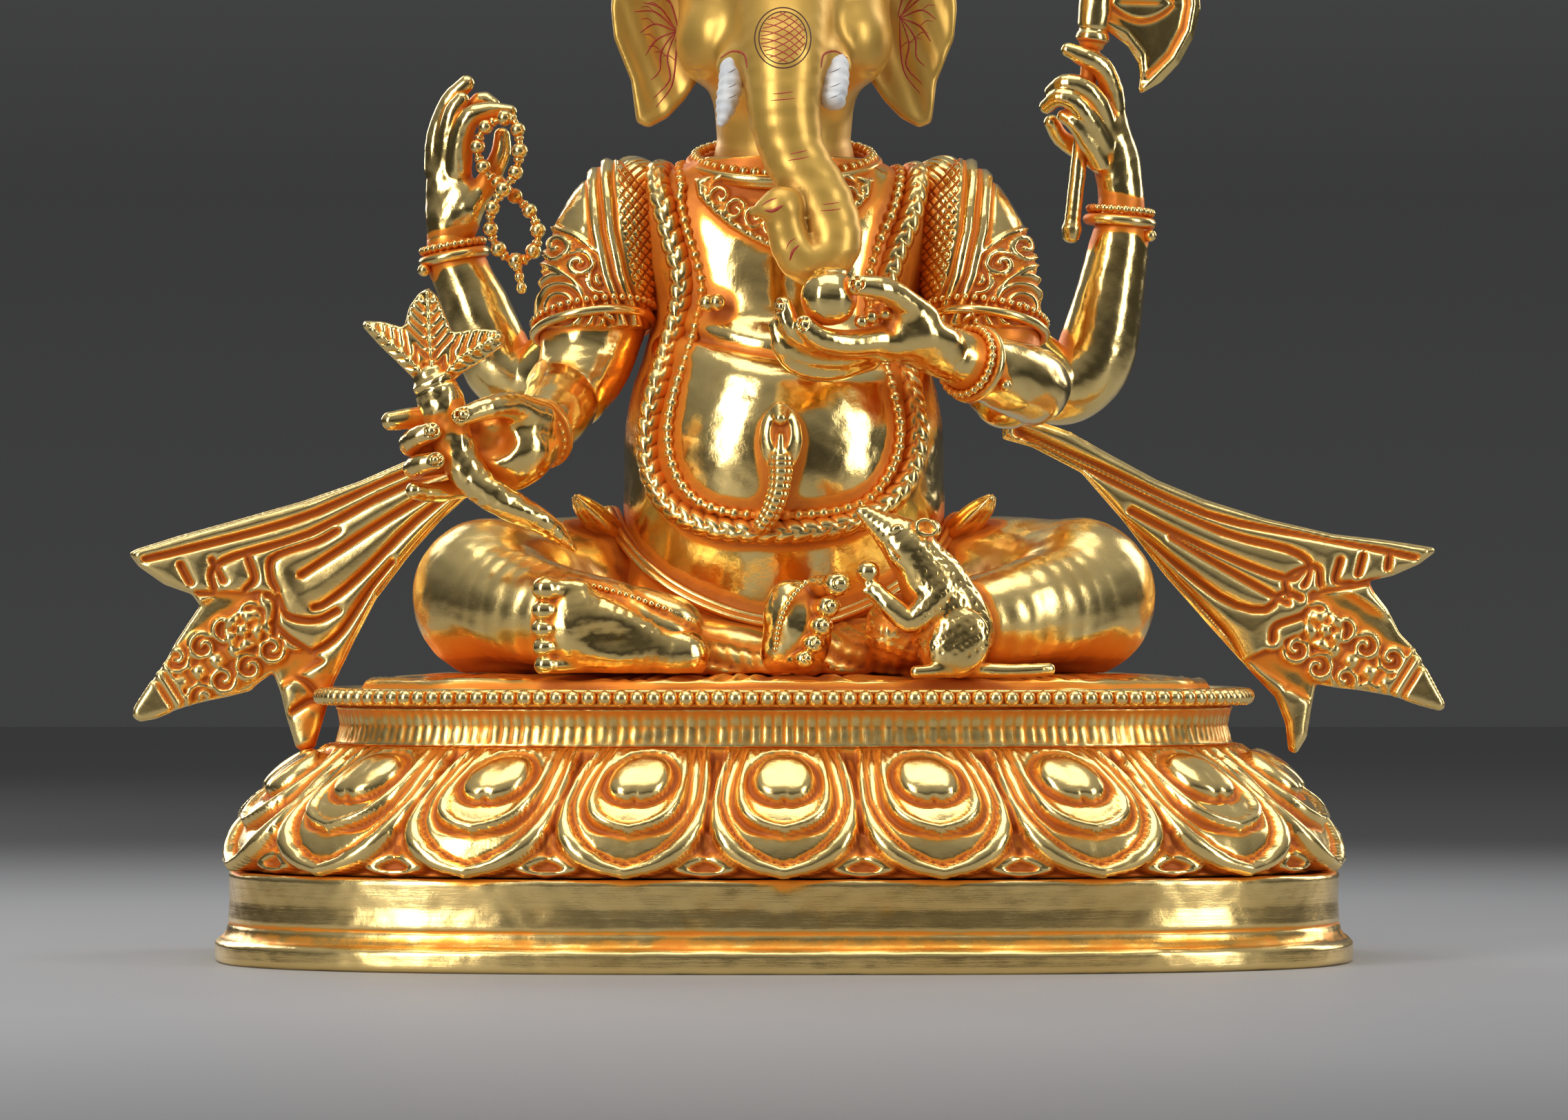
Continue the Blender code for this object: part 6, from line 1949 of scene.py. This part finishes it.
GARLAND = (
    (-27, 204), (-27.3, 201), (-25.7, 192.8), (-23.2, 185.3), (-21.4, 177), (-22.8, 168), (-25.5, 158),
    (-28.6, 148.5),
    (-30.2, 139), (-29.2, 130.5), (-26, 123.8), (-20.5, 119.3), (-12, 117), (-2, 116.6), (8, 117),
    (16, 118.3),
    (22.5, 121.3), (27, 127), (29.8, 134), (30, 142), (27.9, 151), (25.2, 161), (22.6, 172), (22.4, 181),
    (25.5, 190),
    (28.6, 197), (30.2, 203),
)
SERPENT = (
    (-33.0, 202.5), (-31.8, 198.6), (-29.4, 189.3), (-27, 180.3), (-27.6, 171), (-30.2, 161), (-33, 151),
    (-35.2, 141),
    (-35.3, 131), (-32.6, 123), (-26.8, 117), (-18, 113.4), (-8, 112.4), (3, 112.5), (13, 113.6),
    (22, 116.8),
    (29.6, 122.6), (33.6, 130.5), (34.6, 140), (33.4, 149.6), (30.6, 158.5), (28, 168), (27.2, 178),
    (29.8, 187),
    (33, 194.5), (34.8, 202),
)


garland_run = closed_run(draped(GARLAND, 1.0, 1.7), 400)
garland_long = np.linalg.norm(np.diff(garland_run[:, :3], axis=0), axis=1).sum()
garland = strung("garland_beads", garland_run[:, :3], int(garland_long / 3.25), 3.3, 3.4, bead_gilding,
                 closed=True)
garland_bed = garland_run.copy()
garland_bed[:, 3] = 1.05
garland_cord = led_tube("garland_cord", garland_bed[::4], 10, 400, closed=True, up=(0, -1, 0))
slide = strung("garland_slide", [(-20.0, -28.2, 172.4), (-17.4, -29.2, 172.6)], 2, 4.6, 5.2, bead_gilding)
place_piece(as_one(garland, garland_cord, slide), bead_gilding, ["bead_garland"], reach=1.0)


def scales(along, around, points):
    """Overlapping plates in two slanting rows with a ridge of belly plates."""
    outward = np.cos(around)
    row = along / 4.3 + 0.5 * np.abs(np.sin(around)) + 0.5 * (np.sin(around) > 0)
    plate = row - np.floor(row)
    raised = 0.75 * np.sin(np.clip(plate, 0, 1) * math.pi) ** 0.45 - 0.35
    seam = -0.35 * hump(np.sin(around), 0, 0.13) * ramp(outward, 0, 0.4)
    return raised + seam


serpent_run = closed_run(draped(SERPENT, 1.7, 2.95), 200)
serpent = led_tube("serpent_body", serpent_run, int(44 * FINE), int(1500 * FINE), scales, closed=True,
                   up=(0, -1, 0))
tail_path = ((-6.0, -47.5, 113.4, 2.4), (-3.6, -49.4, 117, 2.6), (-1.6, -50.6, 122, 2.8),
             (-0.9, -51, 127, 3.0), (-0.8, -51.2, 131, 3.4))


def belly_plates(along, around, points):
    step = along / 1.9 - np.floor(along / 1.9)
    return 0.4 * np.sin(step * math.pi) ** 0.5 - 0.25 - 0.4 * hump(np.abs(np.sin(around)), 0.62, 0.12)


serpent_neck = led_tube("serpent_neck", tail_path, 40, int(240 * FINE), belly_plates, up=(0, -1, 0))


def hood_form(spots):
    hood = lump(spots, (-0.9, -51.0, 136.4), (5.6, 2.5, 9.0))
    hood = cut_in(hood, lump(spots, (-0.9, -53.9, 138.2), (3.1, 2.0, 5.6)), 0.5)
    face = melt(chain(spots, [(-0.9, -51.5, 143.4, 2.4), (-0.9, -53.2, 141.6, 1.8)]),
                chain(spots, [(-0.9, -52.4, 137, 1.0), (-0.9, -52.6, 131, 1.6)]), 0.8)
    return melt(hood, face, 0.8)


hood = modelled("serpent_hood", hood_form, (-8, -57, 125), (7, -46, 148), 0.4, soft_relief(5, 0.06, 54))
place_piece(as_one(serpent, serpent_neck, hood), bead_gilding, ["serpent_thread"], reach=1.1)

# --- Rosary: a string of round prayer beads with small spacers, crossed once on itself, hanging from
# the rear right fingers with a short tail. It is cast as one piece and soldered on.

ROSARY = (
    (-73, 17, 224), (-70.9, 15.5, 217), (-71.9, 15.5, 209.5), (-75.4, 14.5, 204.5), (-78.6, 16, 198.5),
    (-78, 17.5, 191.5),
    (-74, 18.5, 186.5), (-69, 18.5, 186.5), (-65.9, 18, 192), (-67.8, 18.5, 198.5), (-73, 20, 204),
    (-79.5, 20, 209.5),
    (-82.4, 20, 215.5), (-80, 19, 222),
)
rosary_run = closed_run(np.array([(*spot, 0.9) for spot in ROSARY]), 260)
rosary_long = np.linalg.norm(np.diff(rosary_run[:, :3], axis=0), axis=1).sum()
rosary = strung("rosary_beads", rosary_run[:, :3], int(rosary_long / 5.6), 4.5, 4.7, bead_gilding,
                closed=True)
spacers = strung("rosary_spacers",
                 np.roll(rosary_run[:, :3], -int(260 * 0.5 / int(rosary_long / 5.6)), axis=0),
                 int(rosary_long / 5.6), 2.0, 3.1, bead_gilding, closed=True)
rosary_cord = led_tube("rosary_cord", rosary_run[::4], 10, 260, closed=True, up=(0, 1, 0))
tail = strung("rosary_tail", [(-71.6, 18, 184.4), (-70.4, 18, 178.6)], 3, 3.4, 3.0, bead_gilding)
tail_cord = led_tube("rosary_tail_cord",
                     [(-71.6, 18, 187, 0.8), (-71, 18, 182.4, 0.8), (-70.3, 18, 178.0, 0.8)], 10, 20)
place_piece(as_one(rosary, spacers, rosary_cord, tail, tail_cord), bead_gilding, ["rosary"], reach=1.2)

# --- Axe: a turned shaft with a ringed socket and a bud finial, and a crescent blade with a raised edge
# and a leaf in its middle. It slides up out of the fist.

AXE_FOOT = np.array([77.2, 24.0, 192.6])
AXE_WAY = np.array([0.109271, 0.0, 0.994012])


def on_axe(rise, radius):
    return (*(AXE_FOOT + AXE_WAY * rise), radius)


axe_gilding = gilding("axe_gilding", FIRE_GOLD, RED_GROUND, (1.2, 1.2, 0.3), worn=0.0, gloss=0.17)
SHAFT = ((0, 2.3), (2, 2.7), (4, 2.3), (6, 2.15), (30, 2.2), (52, 2.3), (66, 2.3))
shaft = led_tube("axe_shaft_rod", [on_axe(r, w) for r, w in SHAFT], 48, 200,
                 lambda along, around, points: 0.07 * wobble(points, 5, 60) + 0.03 * np.sin(along * 3),
                 up=(0, -1, 0))
place_piece(shaft, axe_gilding, ["axe_shaft"], body="axe", reach=1.2)
SOCKET = ((52.6, 3.6), (53.4, 4.5), (54.8, 4.4), (56, 3.9), (57.4, 4.4), (62, 4.7), (68, 4.7),
          (70.6, 4.3), (71.6, 5.0), (72.8, 4.9), (73.6, 4.0),
          (75, 3.6), (77.5, 4.9), (80.5, 4.8), (83.5, 3.6), (86.5, 2.2), (89.5, 1.0))


def bud_relief(along, around, points):
    bud = ramp(along, 21, 23.5) * ramp(-along, -35, -30)
    return bud * 0.4 * (np.abs(np.sin(around * 4)) - 0.4) + 0.06 * wobble(points, 4, 61)


socket = led_tube("axe_socket", [on_axe(r, w) for r, w in SOCKET], int(72 * FINE), int(220 * FINE),
                  bud_relief, up=(0, -1, 0))
BLADE = (
    (83, 262), (84, 249.4), (88.5, 247.2), (92.6, 243.8), (95.2, 239.6), (95.9, 235), (95.4, 231.6),
    (96.4, 231.2), (101.6, 234.2),
    (106.4, 239.2), (110.2, 246), (112.2, 254), (111.6, 262.5), (108.6, 270), (104.4, 275.4),
    (99.6, 278.6), (98.6, 278.2),
    (98.8, 272.6), (97, 268.2), (93, 265.2), (88, 263.2),
)


def blade_height(x, z):
    rim = outside(x, z, BLADE)
    along, beside = along_line(x, z, ((97, 232.5), (105, 240.5), (109, 248), (110.3, 255), (109.6, 262),
                                      (106.5, 269), (100.5, 276)))
    raised = 0.9 * hump(beside, 0, 0.75) - 0.5 * hump(beside, 1.9, 0.6)
    along, beside = along_line(x, z, ((85.5, 251), (92, 247.4), (96.4, 241.8), (97, 235)))
    raised += 0.7 * hump(beside, 0, 0.7)
    along, beside = along_line(x, z, ((85.5, 260.5), (93, 262.6), (98.4, 267.4), (99.8, 274)))
    raised += 0.7 * hump(beside, 0, 0.7)
    across = (z - 255.6) + 0.02 * (x - 88)
    leaf = np.abs(across) - 4.4 * np.sin(np.clip((x - 87.5) / 17, 0, 1) * math.pi) ** 0.8
    raised += (0.85 * ramp(-leaf, -0.3, 0.7) * ramp(x, 87.5, 88.5)
               - 0.7 * hump(leaf, 0.6, 0.5) * ramp(x, 87.5, 89) * ramp(-x, -106, -104))
    raised -= 0.6 * hump(across, 0, 0.45) * ramp(x, 89, 91) * ramp(-x, -103, -100)
    return raised + 0.5 * ramp(-rim, 1, 6)


def blade_half(x, z):
    away = np.hypot(x - 84, z - 255.5)
    return 2.1 - 0.045 * np.clip(away, 0, 30)


blade_chart = Chart((80, 228), (116, 282), 0.6, blade_half)
blade = carved("axe_blade", BLADE, 24.0, blade_chart, blade_height, 0.42, blade_height, soft=1.0,
               soften=3)
place_piece(as_one(blade, socket), axe_gilding, ["axe_head"], body="axe", reach=1.6)

# --- Side sashes: the two stiff ends of the robe, fanned in deep flutes from the elbows, with a curled
# hem and a chased tail of flowers and scrolls that ends in a ringed point.

RIGHT_SASH = (
    (-58, 143), (-66, 142), (-84, 137.4), (-98.7, 132.6), (-113, 126.4), (-128, 121.2), (-147, 115.8),
    (-160, 112.2), (-172, 108.4),
    (-174.4, 107.2), (-171.6, 103.6), (-164.8, 98.8), (-157.6, 96.3), (-155.4, 93.2), (-158, 89.4),
    (-161.8, 83.6), (-164.6, 78.4), (-168, 73.4),
    (-172.4, 66.8), (-173.4, 64.0), (-171.4, 62.4), (-166.8, 63.3), (-161, 65.8), (-155.7, 67.4),
    (-148, 69), (-142, 70.6), (-140.2, 72.4),
    (-136, 75.4), (-134, 70), (-132.6, 64), (-129.9, 55.4), (-127.4, 54.2), (-124.8, 55.6), (-122.6, 63),
    (-119.9, 72.4), (-114.6, 83.2), (-108.4, 95),
    (-99.6, 106.6), (-91, 116.2), (-82, 124.2), (-70, 131), (-58, 134),
)
LEFT_SASH = (
    (58, 143), (66, 143), (76, 139.6), (87, 133.4), (99.6, 126.6), (112, 121.6), (128, 116.6),
    (146, 112.4), (160, 110.8), (172.8, 108.8),
    (173.4, 107.6), (168.8, 104.2), (162, 101.2), (155.6, 99.8), (156.8, 97.2), (160.4, 92.6),
    (163.8, 86), (168, 81.6), (172.2, 73.8), (176, 66.6),
    (174.8, 65.2), (169.4, 66.6), (162, 69.2), (154, 70.6), (147, 71.4), (141.6, 72.4), (140.4, 66),
    (139.2, 58.4), (136.4, 53.8), (134.2, 54.6),
    (133.4, 62), (130.8, 68.8), (124, 76), (113, 88), (101, 101.6), (90, 116), (79, 128.6), (66, 135.4),
    (58, 137.6),
)
RIGHT_GROOVES = (
    ((-62, 139.2), (-98, 129.6), (-128, 116.6), (-158, 108.4), (-170, 105.6)),
    ((-62, 138), (-100, 125.6), (-126, 112.4), (-146, 106.4), (-152, 102.6), (-151.4, 97.4)),
    ((-119, 113.2), (-124, 110.4), (-135.4, 106.4), (-136.6, 101.6), (-134.8, 97.2)),
    ((-70, 136), (-100, 119.6), (-118, 108.2), (-128.4, 101.4)),
    ((-72, 134.6), (-96, 117.4), (-112, 101.8), (-121.4, 94.2), (-124.8, 92.8)),
    ((-104, 104.8), (-110, 97.6), (-118.6, 85.4), (-127, 80.4), (-131.6, 82)),
    ((-78, 130), (-96, 111.2), (-108, 96.6)),
    ((-134.6, 95.8), (-132, 90.6), (-124.6, 89.4), (-118.8, 92)),
    ((-136, 88.6), (-131.4, 84.4), (-125, 80.4)),
    ((-134.6, 76.4), (-127.6, 73.4), (-124.2, 70)), ((-131.6, 64.8), (-126.6, 67.8), (-123, 68.2)),
    ((-160.4, 104.2), (-157.8, 99.2)),
    ((-152, 105.4), (-149.2, 99.8)), ((-142.6, 106.2), (-140.8, 100.6), (-143.2, 97.4)),
    ((-156.2, 96.6), (-146, 96.2), (-135.6, 95.4), (-135.4, 86), (-134.8, 77)),
)
LEFT_GROOVES = (
    ((62, 140), (84, 130.2), (112, 117.6), (138, 112), (160, 107.8), (168, 106)),
    ((62, 139), (88, 126), (116, 113), (134, 108.2), (139.8, 104), (138.2, 98.6)),
    ((103, 111.6), (112, 106.2), (130, 96), (134, 94)),
    ((64, 137.6), (84, 121.4), (104, 104.4), (118, 94.4), (128, 92.2), (132.6, 96.8), (137.6, 95.2)),
    ((70, 133.6), (88, 117.2), (104, 100.2), (117.2, 86.4), (121.6, 78.6)),
    ((74, 131), (90, 113), (108, 93.4), (126, 73.6)),
    ((92, 118.4), (106, 111.4), (124, 103.6), (134.6, 100.4), (138.4, 102.6)),
    ((134.2, 95.6), (133.6, 100.6), (141.2, 103.6), (142.6, 98.4)),
    ((147.8, 105.4), (146.6, 99.6), (151.2, 99.2)), ((154, 107), (152.6, 101.4)),
    ((161, 107.4), (160.4, 103)),
    ((141, 96.6), (138.8, 91.2), (130.8, 88), (129.8, 84)), ((140.4, 83.8), (134.6, 81.4)),
    ((139.8, 75.2), (134, 71.6)), ((155.4, 99.6), (147, 97.6), (141.2, 95.4), (140.2, 84), (140.8, 73.4)),
)


def fanned(outline, grooves):
    """Height of a sash: round flutes between grooves, and flowers and scrolls on its tail."""

    def height(x, z):
        rim = outside(x, z, outline)
        near = np.maximum(-rim, 0)
        for groove in grooves:
            _, beside = along_line(x, z, eased(np.array(groove, float), 16))
            near = np.minimum(near, np.abs(beside))
        fluted = (1.9 * (1 - np.exp(-((near / 0.62) ** 1.6))) + 1.5 * np.sqrt(np.clip(near, 0, 6) / 6)
                  - 1.6)
        start = np.array([136.6, 87.5])
        way = np.array([34.6, -21.6])
        way = way / np.linalg.norm(way)
        ax, az = np.abs(x) - start[0], z - start[1]
        along, beside = ax * way[0] + az * way[1], ax * way[1] * -1 + az * way[0]
        tail = (ramp(along + 0.62 * np.abs(beside), 1.2, 2.4) * ramp(-np.abs(beside), -16, -14)
                * ramp(-z, -97.6, -95.6))
        scrolls = 1.7 * scrollwork(along + 1.2, np.abs(beside) - 5.6, 7.6, 4.6) - 0.6
        spray = 1.9 * np.abs(np.cos(along * math.pi / 5.6)) * hump(beside, 0, 2.4) - 0.3
        carving = np.where(np.abs(beside) < 2.2, spray, scrolls)
        flower = np.hypot(along - 6.5, beside - 3.2)
        petals = (0.6 + 1.3 * np.abs(np.cos(2.5 * np.arctan2(beside - 3.2, along - 6.5)))
                  * ramp(flower, 1.2, 2.2))
        petals += 1.8 * np.sqrt(np.clip(1 - (flower / 1.9) ** 2, 0, 1)) - 0.8 * hump(flower, 2.2, 0.4)
        carving = np.where(flower < 5.2, petals, carving)
        point = 1.6 - 1.5 * hump(along, 30.2, 0.55) - 1.5 * hump(along, 33.2, 0.55)
        carving = np.where(along > 28.6, point, carving)
        return fluted * (1 - tail) + carving * tail

    def plain_back(x, z):
        return 0.45 * height(x, z)

    return height, plain_back


for sash_name, outline, grooves in (("right_sash", RIGHT_SASH, RIGHT_GROOVES),
                                    ("left_sash", LEFT_SASH, LEFT_GROOVES)):
    height, plain_back = fanned(outline, grooves)
    sash_middle = Chart((-178, 50), (178, 146), 1.0,
                        lambda x, z: 2.0 + 0.9 * np.sin(np.abs(x) / 17) + 0.5 * np.sin(z / 9))
    sash = carved(sash_name + "_fan", outline, sash_middle, 1.9, height, 0.5, plain_back, soft=2.2,
                  soften=4)
    place_piece(sash, cloth_gilding, [sash_name], reach=2.0)

# --- Rat: the mount, sitting up at the foot with its nose raised and a jewel in its paws. Solid cast,
# with its coat cut in short strokes, and soldered to the deck.


def rat_form(spots):
    body = melt(lump(spots, (43.4, -62, 86.4), (10.8, 8.8, 12)),
                lump(spots, (39.4, -62.5, 97), (8.4, 7.6, 9.4), (0, 20, 0)), 6)
    body = np.maximum(body, 75.4 - spots[:, 2])
    head = chain(spots,
                 bent(((37.6, -63, 100, 7.6), (34.0, -63.5, 105.4, 7.0), (30.0, -64, 110.2, 5.9),
                       (24.8, -64.4, 113.8, 3.6), (20.8, -64.6, 117.0, 2.1)), 3))
    body = melt(body, head, 3)
    body = melt(body, lump(spots, (31.2, -67.2, 107.2), (4.8, 2.8, 4.6)), 1.2)
    body = melt(body, lump(spots, (19.6, -65, 117.4), (1.3, 1.3, 1.1)), 0.5)
    body = cut_in(body,
                  chain(spots, [(19.6, -67, 115.6, 0.3), (24.4, -68.4, 110.4, 0.35),
                                (29.5, -69.4, 105.4, 0.35)]), 0.5)
    for y, push in ((-69.4, 0.0), (-58.6, 1.0)):
        body = melt(body, lump(spots, (28.8 + push, y + 0.3, 112.8), (1.7, 0.8, 1.1), (0, 30, 0)), 0.25)
        ear = lump(spots, (36.4 + push, y + 1.2, 113.2), (3.2, 1.3, 2.5), (0, -18, 0))
        ear = cut_in(ear, lump(spots, (36.6 + push, y + 0.3 if y < -62 else y + 2.0, 113.2),
                               (2.3, 1.0, 1.6), (0, -18, 0)), 0.3)
        body = melt(body, ear, 0.6)
    for y in (-68.4, -58.4):
        arm = chain(spots,
                    bent(((40.2, y + 1.4, 97.4, 4.4), (36, y, 91.8, 3.9), (32.0, y - 0.2, 89.4, 3.4),
                          (27, y, 93.2, 2.9), (23.4, -66.6, 97, 2.5)), 3))
        body = melt(body, arm, 0.9)
        for lean in (-1.6, 0, 1.6):
            body = melt(body,
                        chain(spots, [(24.4, y * 0.5 - 33, 96.4, 0.95),
                                      (21.2 + 0.3 * lean, y * 0.5 - 33.4, 98.6 + lean, 0.75)]), 0.4)
    body = melt(body, lump(spots, (21.6, -66, 101.8), (3.1, 3.0, 3.0)), 0.5)
    thigh = lump(spots, (44.8, -69.6, 83.4), (7.6, 3.0, 9.2), (0, -24, 0))
    body = melt(body, thigh, 0.6)
    foot = chain(spots, [(42, -69.4, 76.6, 2.0), (34, -70.4, 76.2, 1.7)])
    body = melt(body, foot, 1.0)
    tail_rod = chain(spots,
                     bent(((46, -67, 77, 2.2), (56, -69.2, 76.4, 1.8), (64, -69.4, 76.6, 1.7),
                           (68, -68.4, 76.9, 1.5)), 3))
    return melt(body, tail_rod, 1.0)


def coat(spots, normals):
    x, y, z = spots.T
    strokes = (np.sin((x * 0.75 + z * 0.65 + 0.8 * np.sin(z * 0.9)) * 3.6)
               * np.sin((z * 0.8 - x * 0.55) * 1.35))
    furry = ramp(x, 31, 36) * ramp(z, 78, 82)
    return -0.24 * ramp(strokes, 0.45, 0.9) * furry + 0.08 * wobble(spots, 5, 70)


rat = modelled("rat_mount", rat_form, (16, -74, 74.6), (72, -51, 121), 0.42, coat)
place_piece(rat, skin_gilding, ["rat"], reach=1.2)

# --- Gilder's red and painted shade in the corners: every casting is measured against its neighbours, and the closer they crowd a spot, the more orange ground is shown there. This is partly the real ground left when the gold was burnished, and partly painted shade, since the measure is an ambient occlusion estimate.

ROOM_LOW, ROOM_HIGH = np.array([-200.0, -130.0, -40.0]), np.array([200.0, 130.0, 380.0])


def ambient_occlusion(cell, lift, open_air, full):
    """How crowded each point of each casting is, from 0 in the open to 1 in a tight corner."""
    shape = tuple(np.ceil((ROOM_HIGH - ROOM_LOW) / cell).astype(int))
    room = np.zeros(shape).ravel()
    for piece in gilded:
        faces = piece.data.polygons
        centres = np.empty(len(faces) * 3)
        areas = np.empty(len(faces))
        faces.foreach_get("center", centres)
        faces.foreach_get("area", areas)
        spots = ((centres.reshape(-1, 3) / MM - ROOM_LOW) / cell).astype(int)
        room += np.bincount(np.ravel_multi_index(spots.T, shape), areas / MM**2 / cell**3, room.size)
    room = room.reshape(shape)
    for axis in (0, 1, 2) * 3:
        room = (room + np.roll(room, 1, axis) + np.roll(room, -1, axis)) / 3
    found = []
    for piece in gilded:
        points, normals, _ = mesh_arrays(piece.data)
        spots = (points + normals * lift - ROOM_LOW) / cell - 0.5
        corner = np.floor(spots).astype(int)
        share = spots - corner
        total = np.zeros(len(points))
        for offset in np.ndindex(2, 2, 2):
            weight = np.prod(np.where(offset, share, 1 - share), axis=1)
            total += weight * room[tuple((corner + offset).T)]
        found.append(np.clip((total - open_air) / (full - open_air), 0, 1))
    return found


for piece, near, wide in zip(gilded, ambient_occlusion(1.5, 3.0, 0.085, 0.20), ambient_occlusion(4.0, 10.0, 0.028, 0.095)):
    store(piece, "shade", np.maximum(near, wide * 0.5))
